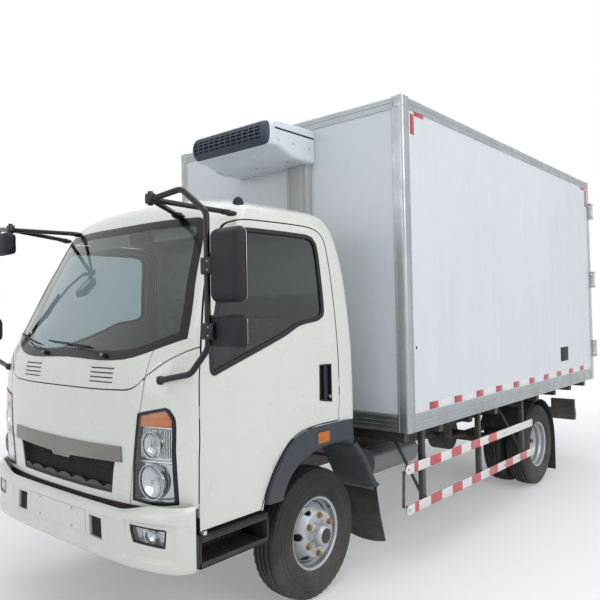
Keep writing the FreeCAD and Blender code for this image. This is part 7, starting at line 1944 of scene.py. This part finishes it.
# ---------------------------------------------------------------- cooling unit
def cooling_unit():
    """Rounded shell with its dark seam (a soft black block as painted shade in the cut), wrapped louvre grille, pan and
    pipe duct.
    """
    wall = BOX_FRONT + 0.005
    top, low, pan = 3.058, 2.868, 2.806
    nose, half = wall - 0.535, 0.398

    bm = bmesh.new()
    columns, rows, side_round, flat_share = 72, 40, 0.070, 0.80
    grid = []
    for i in range(columns + 1):
        u = -1 + 2 * i / columns
        bend = min(1, max(0, (abs(u) - flat_share) / 0.20)) * math.pi / 2
        x = u / flat_share * (half - side_round)
        if bend:
            x = math.copysign(half - side_round + side_round * math.sin(bend), u)
        back = side_round * (1 - math.cos(bend))
        line = []
        for j in range(rows + 1):
            t = j / rows
            if t < 0.30:
                s = t / 0.30
                y, z = wall + (nose + 0.075 - wall) * s, top - 0.010 * s ** 2
            elif t < 0.70:
                angle = (t - 0.30) / 0.40 * math.pi
                y = nose + 0.075 - 0.075 * math.sin(angle)
                z = (top - 0.010 + low) / 2 + (top - 0.010 - low) / 2 * math.cos(angle)
            else:
                s = (t - 0.70) / 0.30
                y = nose + 0.075 + (wall - nose - 0.075) * s
                z = low + (pan - low) * swell(s, 0.0, 0.55)
            squeeze = swell(-y, -(wall - 0.05), -(nose + 0.12))
            z = (top + low) / 2 + (z - (top + low) / 2) * (1 - 0.16 * (back / side_round) ** 2)
            line.append(bm.verts.new((x, min(y + back * squeeze, wall), z)))
        grid.append(line)
    for a, b in zip(grid, grid[1:]):
        for j in range(rows):
            bm.faces.new((a[j], a[j + 1], b[j + 1], b[j]))
    for line in (grid[0], grid[-1]):
        bm.faces.new(line)
    bm.faces.new([line[0] for line in grid] + [line[-1] for line in grid[::-1]])
    shell = object_of(bm, "unit_shell", ["reefer_shell"], 50)
    softened(shell, 0.010, 3, 50)
    settle(shell, 50)
    bm = bmesh.new()
    block(bm, (-half - 0.02, nose - 0.02, low - 0.05), (half + 0.02, nose + 0.052, top - 0.022))
    front_tool = object_of(bm, "cutter", ["cab_paint"])
    grille_body = copy_of(shell, "unit_grille")
    fit_together(grille_body, front_tool, "INTERSECT")
    fit_together(shell, front_tool, "DIFFERENCE")
    discard(front_tool)
    grille_body.data.materials.clear()
    grille_body.data.materials.append(LOOKS["reefer_slate"])
    bm = bmesh.new()
    for k in range(6):
        z = low + 0.018 + 0.0245 * k
        for i in range(12):
            x = -0.345 + 0.0585 * i
            block(bm, (x, nose - 0.03, z), (x + 0.0465, nose + 0.022, z + 0.0135), 0.003, segments=2)
    slots = object_of(bm, "cutter", ["soft_black"])
    fit_together(grille_body, slots, "DIFFERENCE")
    discard(slots)
    put(grille_body, "chassis", "reefer_grille")

    bm = bmesh.new()
    seam_z = top - 0.066
    block(bm, (-half - 0.001, nose + 0.10, seam_z - 0.007), (half + 0.001, wall - 0.004, seam_z + 0.007))
    seam = object_of(bm, "cutter", ["cab_paint"])
    fit_together(shell, seam, "DIFFERENCE")
    discard(seam)
    put(shell, "chassis", "reefer_unit")
    bm = bmesh.new()
    # first block: soft black in the cut seam, painted shade in the gap
    block(bm, (-half + 0.006, nose + 0.10, seam_z - 0.008), (half - 0.006, wall - 0.002, seam_z + 0.008), 0.001, look=0)
    block(bm, (-half + 0.05, nose + 0.053, low + 0.014), (half - 0.05, nose + 0.075, top - 0.03), 0.002, look=0)
    for x0, x1 in ((0.1670, 0.1950), (0.2000, 0.3300), (0.3350, 0.3630)):
        block(bm, (x0, wall - 0.062, 2.180), (x1, wall, 2.815), 0.006, look=1, segments=3)
    block(bm, (0.190, wall - 0.057, 2.183), (0.340, wall, 2.810), 0.003, look=1)
    for x in (-0.30, 0.0, 0.30):
        bar(bm, (x, wall - 0.20, 2.812), (x, wall - 0.20, 2.806), 0.014, look=2, sides=6, edge=0.001)
    for side in (-1, 1):
        for y in (-0.06, -0.24, -0.40):
            bar(bm, (side * (half - 0.004), wall + y, 2.912), (side * (half + 0.0015), wall + y, 2.912), 0.007, look=2,
                sides=16, edge=0.001)
    bar(bm, (0.225, wall - 0.03, 2.185), (0.225, wall - 0.03, 2.120), 0.017, look=0, sides=18, edge=0.003)
    bar(bm, (0.275, wall - 0.03, 2.185), (0.275, wall - 0.03, 2.100), 0.012, look=0, sides=18, edge=0.003)
    put(object_of(bm, "unit_fittings", ["soft_black", "duct_grey", "zinc"], 40), "chassis")


# ---------------------------------------------------------------- side guards
def side_guards():
    """Black tubes and posts with the striped plates and their plain white ends bolted on."""
    front, length = -1.177, 2.240
    outer, inner = 1.136, 1.110
    bm = bmesh.new()
    for low, plain in ((0.373, 0.10), (0.636, 0.78)):
        route = [(outer - 0.003, front + 0.030, low), (outer - 0.003, front + length - 0.03, low),
                 (outer - 0.003, front + length, low + 0.016), (outer - 0.003, front + length, low + 0.050),
                 (outer - 0.003, front + length - 0.03, low + 0.066), (outer - 0.003, front + 0.030, low + 0.066),
                 (outer - 0.003, front + 0.006, low + 0.056), (outer - 0.003, front, low + 0.040),
                 (outer - 0.003, front, low + 0.026), (outer - 0.003, front + 0.006, low + 0.010)]
        plate(bm, route, (0.003, 0, 0), look=0, edge=0.0008)
        route = [(outer, front + 0.105, low + 0.0655)]
        for k in range(11):
            turn = math.pi / 2 * (1 + 2 * k / 10)
            route.append((outer, front + 0.0325 + 0.032 * math.cos(turn), low + 0.033 + 0.0325 * math.sin(turn)))
        route += [(outer, front + 0.105, low + 0.0005)]
        plate(bm, route, (0.0012, 0, 0), look=3, edge=0.0004)
        block(bm, (outer, front + length - plain, low + 0.001), (outer + 0.0012, front + length - 0.012, low + 0.065),
              0.0004, look=3)
        block(bm, (inner, front + 0.03, low + 0.010), (outer - 0.003, front + length - 0.01, low + 0.056), 0.006,
              look=1)
        for k in range(8):
            y = front + 0.035 + (length - 0.07) * k / 7
            bar(bm, (outer - 0.002, y, low + 0.033), (outer + 0.0035, y, low + 0.033), 0.008, look=2, sides=6,
                edge=0.001)
    for share in (0.12, 0.52, 0.92):
        y = front + share * length
        block(bm, (1.070, y, 0.380), (inner, y + 0.040, 0.900), 0.005, look=1)
        block(bm, (1.075, y - 0.014, 0.893), (inner - 0.003, y + 0.054, 0.901), 0.002, look=1)
        for z in (0.406, 0.669):
            block(bm, (1.098, y - 0.006, z - 0.030), (1.112, y + 0.046, z + 0.030), 0.003, look=1)
    y = front + 0.12 * length
    bar(bm, (1.090, y + 0.020, 0.430), (0.850, y + 0.020, 0.840), 0.011, look=1, sides=14, edge=0.002)
    bar(bm, (1.090, front + 0.92 * length + 0.02, 0.430), (0.850, front + 0.92 * length + 0.02, 0.840), 0.011, look=1,
        sides=14, edge=0.002)
    bar(bm, (1.112, front + 0.015, 0.660), (1.104, front + 0.015, 0.420), 0.010, look=1, sides=14, edge=0.002)
    left = object_of(bm, "guards_left", ["guard_tape", "chassis_paint", "zinc", "tape_white"], 40)
    put(other_side(left, "guards_right"), "chassis")
    put(left, "chassis", "side_guards")


box_edges()
tape_and_marks()
rear_end()
cooling_unit()
side_guards()


# ---------------------------------------------------------------- cab interior
SWELL_FRAMES = 18


def padded_form(name, low, high, look, seams=(), radius=0.045, crown=0.020):
    """A sewn cushion: a rounded block with its seams held down while the rest swells."""
    bm = bmesh.new()
    inset = crown * 0.8
    low, high = Vector(low), Vector(high)
    block(bm, low + Vector((inset,) * 3), high - Vector((inset,) * 3), radius, segments=5)
    piece = object_of(bm, name, [look], 60)
    remesh = piece.modifiers.new("even", "REMESH")
    remesh.mode = "VOXEL"
    remesh.voxel_size = 0.0085
    settle(piece, 60)
    mesh = piece.data
    middle, half = (low + high) / 2, (high - low) / 2
    thin = min(range(3), key=lambda i: half[i])
    held = piece.vertex_groups.new(name="held")
    for v in mesh.vertices:
        off = v.co - middle
        weight = 0.0
        if abs(abs(off[thin]) - (half[thin] - inset - radius * 0.75)) < 0.006 and all(
                abs(off[i]) > 0 for i in range(3)) and any(
                abs(off[i]) > half[i] - inset - radius * 0.5 for i in range(3) if i != thin):
            weight = 0.8
        for axis, place in seams:
            near = abs(v.co[axis] - place)
            if near < 0.010 and abs(off[thin]) > half[thin] * 0.4:
                weight = max(weight, 1.0 - near / 0.014)
                v.co[thin] -= math.copysign(0.010 * (1 - near / 0.010), off[thin])
        if weight:
            held.add([v.index], weight, "REPLACE")
    start = [v.co.copy() for v in mesh.vertices]
    cloth = piece.modifiers.new("swelling", "CLOTH")
    cloth.settings.use_pressure = True
    cloth.settings.uniform_pressure_force = 4.0
    cloth.settings.quality = 4
    cloth.settings.mass = 0.3
    cloth.settings.vertex_group_mass = "held"
    cloth.settings.effector_weights.gravity = 0.0
    scene = bpy.context.scene
    for frame_number in range(1, SWELL_FRAMES + 1):
        scene.frame_set(frame_number)
    seen = bpy.context.evaluated_depsgraph_get()
    grown = piece.evaluated_get(seen).to_mesh()
    places = [v.co.copy() for v in grown.vertices]
    piece.evaluated_get(seen).to_mesh_clear()
    piece.modifiers.clear()
    scene.frame_set(1)
    for v, before, after in zip(mesh.vertices, start, places):
        move = after - before
        if move.length > crown:
            move = move.normalized() * crown
        spot = before + move
        v.co = [min(max(c, a + 0.0005), b - 0.0005) for c, a, b in zip(spot, low, high)]
    for v in mesh.vertices:
        v.co = [min(max(c, a + 0.0005), b - 0.0005) for c, a, b in zip(v.co, low, high)]
    mesh.update()
    mesh.shade_smooth()
    piece.vertex_groups.clear()
    return piece


def seats():
    """Driver's seat and double seat: cushions, backs, head rests and their plastic bases."""
    front, back, base = -2.195, -1.695, 1.0303
    first = True
    for name, x0, x1, heads in (("driver", 0.19, 0.71, (0.45,)), ("bench", -0.66, 0.17, (-0.46, -0.05))):
        width = x1 - x0
        lines = [(0, x0 + width * share) for share in ((0.24, 0.76) if len(heads) == 1 else (0.16, 0.5, 0.84))]
        cushion = padded_form("seat_cushion_" + name, (x0, front, 1.066), (x1, back - 0.055, 1.212), "seat_cloth",
                              lines + [(1, front + 0.13)])
        rest = padded_form("seat_back_" + name, (x0 + 0.004, -1.815, 1.150), (x1 - 0.004, back, 1.640), "seat_cloth",
                           lines + [(2, 1.53)])
        put(cushion, "cab", *(("seats",) if first else ()))
        put(rest, "cab")
        first = False
        for k, x in enumerate(heads):
            put(padded_form("head_rest_%s_%d" % (name, k + 1), (x - 0.125, -1.800, 1.665), (x + 0.125, -1.705, 1.820),
                            "seat_cloth", radius=0.030, crown=0.012), "cab")
        bm = bmesh.new()
        block(bm, (x0 + 0.03, front + 0.03, base), (x1 - 0.03, back - 0.03, base + 0.040), 0.010, look=0)
        for x in (x0 + 0.07, x1 - 0.07):
            block(bm, (x - 0.02, front + 0.015, base), (x + 0.02, back - 0.01, base + 0.018), 0.003, look=1)
        for x in heads:
            for dx in (-0.045, 0.045):
                bar(bm, (x + dx, -1.752, 1.610), (x + dx, -1.752, 1.700), 0.006, look=1, sides=14)
        for side in (x0 + 0.002, x1 - 0.026):
            bar(bm, (side, -1.770, 1.125), (side + 0.024, -1.770, 1.125), 0.040, look=0, sides=28, edge=0.004)
        if len(heads) == 2:
            for x in (-0.28, -0.22):
                block(bm, (x - 0.012, -1.838, 1.20), (x + 0.012, -1.822, 1.29), 0.004, look=2)
        block(bm, (x1 - 0.045, -1.87, 1.195), (x1 - 0.015, -1.845, 1.262), 0.006, look=0)
        put(object_of(bm, "seat_base_" + name, ["trim_plastic", "zinc", "red_lens"]), "cab")


def dashboard_parts():
    """Binnacle with dials, vents, radio, glove box, switches and the top pad."""
    bm = bmesh.new()
    hood = [(-2.730, 1.446), (-2.700, 1.490), (-2.620, 1.520), (-2.545, 1.514), (-2.535, 1.500), (-2.580, 1.492),
            (-2.606, 1.446)]
    plate(bm, [(0.250, a, b) for a, b in hood], (0.400, 0, 0), look=0, edge=0.006, edge_segments=3)
    plate(bm, [(0.268, a, b) for a, b in ((-2.600, 1.449), (-2.574, 1.494), (-2.582, 1.496), (-2.612, 1.449))],
          (0.364, 0, 0), look=1)
    lean = Vector((0, 0.87, -0.49)).normalized()
    for x, size in ((0.365, 0.038), (0.535, 0.038), (0.450, 0.020)):
        centre = Vector((x, -2.580, 1.470))
        turned(bm, [(0.000, size), (0.004, size), (0.004, size - 0.004), (0.001, size - 0.005)], centre, lean, 2, 40)
        bar(bm, centre - lean * 0.001, centre + lean * 0.0012, size - 0.004, look=1, sides=36)
        tip = Vector((0.6 * size, 0, 0))
        bar(bm, centre + lean * 0.003, centre + lean * 0.003 + tip, 0.0012, 0.0005, look=3, sides=8)
    face = -2.4945
    for x in (-0.80, -0.06, 0.12, 0.80):
        block(bm, (x - 0.062, face - 0.02, 1.330), (x + 0.062, face + 0.004, 1.400), 0.008, look=0, segments=3)
        for k in range(5):
            block(bm, (x - 0.054, face + 0.001, 1.340 + 0.0115 * k), (x + 0.054, face + 0.0065, 1.3455 + 0.0115 * k),
                  0.0015, look=1)
    block(bm, (-0.115, face - 0.01, 1.250), (0.175, face + 0.004, 1.318), 0.006, look=1)
    for x in (-0.092, 0.152):
        bar(bm, (x, face + 0.002, 1.284), (x, face + 0.014, 1.284), 0.011, look=2, sides=24, edge=0.002)
    block(bm, (-0.060, face + 0.002, 1.268), (0.120, face + 0.0055, 1.302), 0.002, look=4)
    for k in range(3):
        x = -0.06 + 0.09 * k
        bar(bm, (x, face - 0.001, 1.195), (x, face + 0.018, 1.195), 0.021, look=1, sides=30, edge=0.003)
        block(bm, (x - 0.002, face + 0.0165, 1.196), (x + 0.002, face + 0.0195, 1.214), 0.0008, look=3)
    for k in range(5):
        block(bm, (0.215 + 0.036 * k, face - 0.002, 1.350), (0.243 + 0.036 * k, face + 0.005, 1.378), 0.003, look=1)
    block(bm, (-0.745, face - 0.004, 1.150), (-0.225, face + 0.0045, 1.305), 0.012, look=0, segments=3)
    block(bm, (-0.535, face + 0.003, 1.272), (-0.435, face + 0.0105, 1.292), 0.004, look=1)
    for x in (-0.62, 0.0, 0.62):
        block(bm, (x - 0.16, -2.815 + 0.05 * abs(x), 1.4445), (x + 0.16, -2.790 + 0.05 * abs(x), 1.4495), 0.002, look=1)
    bar(bm, (-0.84, face + 0.020, 1.415), (-0.58, face + 0.020, 1.415), 0.010, look=1, sides=16, edge=0.003)
    for x in (-0.83, -0.59):
        bar(bm, (x, face - 0.005, 1.415), (x, face + 0.020, 1.415), 0.008, look=1, sides=14)
    put(object_of(bm, "dashboard_fittings", ["dash_plastic", "soft_black", "bar_metal", "red_mark", "gloss_black"]),
        "cab")

    bm = bmesh.new()
    bar(bm, (0.06, -2.330, 0.88), (0.06, -2.330, 0.905), 0.070, 0.052, look=0, sides=28, edge=0.004)
    for k in range(4):
        bar(bm, (0.06, -2.330, 0.903 + 0.016 * k), (0.06, -2.330, 0.917 + 0.016 * k), 0.050 - 0.010 * k,
            0.043 - 0.010 * k, look=0, sides=26, edge=0.003)
    bar(bm, (0.06, -2.330, 0.950), (0.075, -2.300, 1.300), 0.0075, look=1, sides=16)
    ball(bm, (0.076, -2.298, 1.318), (0.024, 0.024, 0.028), 2, 22, 14)
    for x, z in ((0.30, 0.98), (0.40, 0.98), (0.56, 0.96)):
        block(bm, (x - 0.030, -2.700, z), (x + 0.030, -2.690, z + 0.055), 0.004, look=0)
        bar(bm, (x, -2.700, z + 0.03), (x, -2.745, z + 0.21), 0.008, look=1, sides=12)
    bar(bm, (-0.03, -2.200, 1.045), (-0.03, -2.365, 1.110), 0.013, look=0, sides=18, edge=0.004)
    put(object_of(bm, "levers_and_pedals", ["soft_black", "zinc", "gloss_black"]), "cab")


def steering_wheel():
    centre = Vector((0.45, -2.435, 1.459))
    tilt = math.radians(62)
    axis = Vector((0, math.cos(tilt), math.sin(tilt)))
    across = Vector((1, 0, 0))
    up = axis.cross(across)
    bm = bmesh.new()
    ring = [(0.0125 * math.sin(a), 0.2015 + 0.0125 * math.cos(a)) for a in [math.tau * k / 14 for k in range(14)]]
    turned(bm, ring, centre, axis, 0, 88)
    hub = [(-0.030, 0.0), (-0.030, 0.036), (-0.010, 0.052), (0.004, 0.050), (0.010, 0.040), (0.012, 0.0)]
    turned(bm, hub, centre - axis * 0.012, axis, 0, 40, closed=False)
    for angle in (math.radians(28), math.radians(152), math.radians(270)):
        away = across * math.cos(angle) - up * math.sin(angle)
        bar(bm, centre - axis * 0.018, centre + away * 0.196, 0.017, 0.0095, look=0, sides=16)
    bar(bm, centre - axis * 0.030, centre - axis * 0.120, 0.036, 0.044, look=1, sides=28, edge=0.004)
    for side in (-1, 1):
        start = centre - axis * 0.075 + across * 0.035 * side
        bar(bm, start, start + across * 0.115 * side + axis * 0.02, 0.0055, look=0, sides=12, edge=0.001)
        bar(bm, start + across * 0.110 * side + axis * 0.019, start + across * 0.150 * side + axis * 0.027, 0.0095,
            look=0, sides=16, edge=0.003)
    put(object_of(bm, "steering_wheel_rim", ["soft_black", "dash_plastic"], 40), "cab", "steering_wheel")


def linings():
    """Headlining, padded back wall, sun visors, inner mirror and roof lamp."""
    roof = skin_piece("headlining", ["headlining"], [], [], (-0.80, -2.38, 2.20), (0.80, -1.56, 2.5),
                      outwards=-0.044, thickness=0.005, edge=0)
    put(roof, "cab")
    bm = bmesh.new()
    for k in range(3):
        x0 = -0.80 + 0.537 * k
        block(bm, (x0, -1.5055, 1.10), (x0 + 0.527, -1.4925, 1.98), 0.006, look=0, segments=3)
    block(bm, (-0.84, -1.4950, 1.04), (0.84, -1.4905, 2.06), 0.003, look=0)
    for side in (-1, 1):
        x0, x1 = sorted((side * 0.12, side * 0.60))
        block(bm, (x0, -2.395, 2.155), (x1, -2.372, 2.262), 0.010, look=0, segments=3)
        bar(bm, (side * 0.12, -2.384, 2.262), (side * 0.60, -2.384, 2.262), 0.006, look=1, sides=12)
    block(bm, (-0.105, -2.415, 2.165), (0.105, -2.395, 2.228), 0.012, look=1, segments=4)
    block(bm, (-0.098, -2.3955, 2.171), (0.098, -2.3935, 2.222), 0.006, look=2)
    bar(bm, (0, -2.405, 2.22), (0, -2.385, 2.285), 0.007, look=1, sides=12)
    block(bm, (-0.07, -1.96, 2.315), (0.07, -1.88, 2.333), 0.006, look=3)
    put(object_of(bm, "cab_linings", ["headlining", "black_plastic", "mirror_glass", "clear_lens"]), "cab")


seats()
dashboard_parts()
steering_wheel()
linings()


# ---------------------------------------------------------------- floor, light and camera
def stage_floor():
    bm = bmesh.new()
    bmesh.ops.create_grid(bm, x_segments=8, y_segments=8, size=60.0)
    mesh = bpy.data.meshes.new("floor")
    bm.to_mesh(mesh)
    bm.free()
    look = bpy.data.materials.new("floor_finish")
    look.use_nodes = True
    tree = look.node_tree
    skin = tree.nodes["Principled BSDF"]
    skin.inputs["Base Color"].default_value = (0.92, 0.92, 0.92, 1)
    skin.inputs["Roughness"].default_value = 0.9
    away = tree.nodes.new("ShaderNodeVectorMath")
    away.operation = "LENGTH"
    tree.links.new(node(tree, "TexCoord").outputs["Object"], away.inputs[0])
    rays = tree.nodes.new("ShaderNodeLightPath")
    seen = sum_of(tree, "MAXIMUM", rays.outputs["Is Camera Ray"], rays.outputs["Is Transmission Ray"])
    seen = sum_of(tree, "MAXIMUM", seen, rays.outputs["Is Glossy Ray"])
    share = sum_of(tree, "MULTIPLY", seen, fade(tree, away.outputs["Value"], 3.2, 8.0, 0.25, 1.0))
    white = tree.nodes.new("ShaderNodeEmission")
    mixed = tree.nodes.new("ShaderNodeMixShader")
    tree.links.new(share, mixed.inputs[0])
    tree.links.new(skin.outputs[0], mixed.inputs[1])
    tree.links.new(white.outputs[0], mixed.inputs[2])
    tree.links.new(mixed.outputs[0], tree.nodes["Material Output"].inputs[0])
    mesh.materials.append(look)
    floor = bpy.data.objects.new("floor", mesh)
    floor.location = (0, 0, -0.001)
    bpy.context.scene.collection.objects.link(floor)


def plain_world():
    world = bpy.data.worlds.new("plain_world")
    world.use_nodes = True
    tree = world.node_tree
    tree.nodes.clear()
    result = tree.nodes.new("ShaderNodeOutputWorld")
    light = tree.nodes.new("ShaderNodeBackground")
    light.inputs["Color"].default_value = (0.86, 0.92, 1.0, 1)
    light.inputs["Strength"].default_value = 0.55
    white = tree.nodes.new("ShaderNodeBackground")
    white.inputs["Color"].default_value = (1, 1, 1, 1)
    white.inputs["Strength"].default_value = 1.0
    rays = tree.nodes.new("ShaderNodeLightPath")
    seen = sum_of(tree, "MAXIMUM", rays.outputs["Is Camera Ray"], rays.outputs["Is Transmission Ray"])
    seen = sum_of(tree, "MAXIMUM", seen, rays.outputs["Is Glossy Ray"])
    mixed = tree.nodes.new("ShaderNodeMixShader")
    tree.links.new(seen, mixed.inputs[0])
    tree.links.new(light.outputs[0], mixed.inputs[1])
    tree.links.new(white.outputs[0], mixed.inputs[2])
    tree.links.new(mixed.outputs[0], result.inputs[0])
    bpy.context.scene.world = world


def lamp(name, place, towards, size, power, colour=(1, 1, 1)):
    data = bpy.data.lights.new(name, "AREA")
    data.shape = "RECTANGLE"
    data.size, data.size_y = size
    data.energy = power
    data.color = colour
    made = bpy.data.objects.new(name, data)
    made.location = place
    made.rotation_euler = (Vector(towards) - Vector(place)).to_track_quat("-Z", "Y").to_euler()
    bpy.context.scene.collection.objects.link(made)


def photo_camera():
    yaw, pitch, roll = (math.radians(a) for a in (40.98, 1.58, -1.03))
    ahead = Vector((-math.sin(yaw) * math.cos(pitch), math.cos(yaw) * math.cos(pitch), math.sin(pitch)))
    level = Vector((math.cos(yaw), math.sin(yaw), 0))
    up = level.cross(ahead)
    right = math.cos(roll) * level + math.sin(roll) * up
    up = -math.sin(roll) * level + math.cos(roll) * up
    data = bpy.data.cameras.new("camera")
    data.sensor_width = 36.0
    data.lens = 37.78
    data.shift_x, data.shift_y = 0.0135, -0.0060
    data.clip_end = 500
    made = bpy.data.objects.new("camera", data)
    turn = Matrix((right, up, -ahead)).transposed().to_4x4()
    made.matrix_world = Matrix.Translation((3.2964, -4.7631, 1.7033)) @ turn
    bpy.context.scene.collection.objects.link(made)
    bpy.context.scene.camera = made


bpy.context.scene.view_settings.view_transform = "Standard"
stage_floor()
plain_world()
lamp("sky_panel", (1.5, -1.0, 9.0), (0, 0, 1), (9, 12), 430, (0.96, 0.98, 1.0))
lamp("front_panel_light", (-1.0, -11.0, 3.6), (0, -2.5, 1.2), (6, 4), 130)
lamp("side_light", (10.0, -1.5, 5.0), (0.5, 0.5, 1.4), (8, 5), 300)
lamp("rear_light", (-6.0, 9.0, 5.0), (0, 1.5, 1.4), (7, 5), 220)
photo_camera()
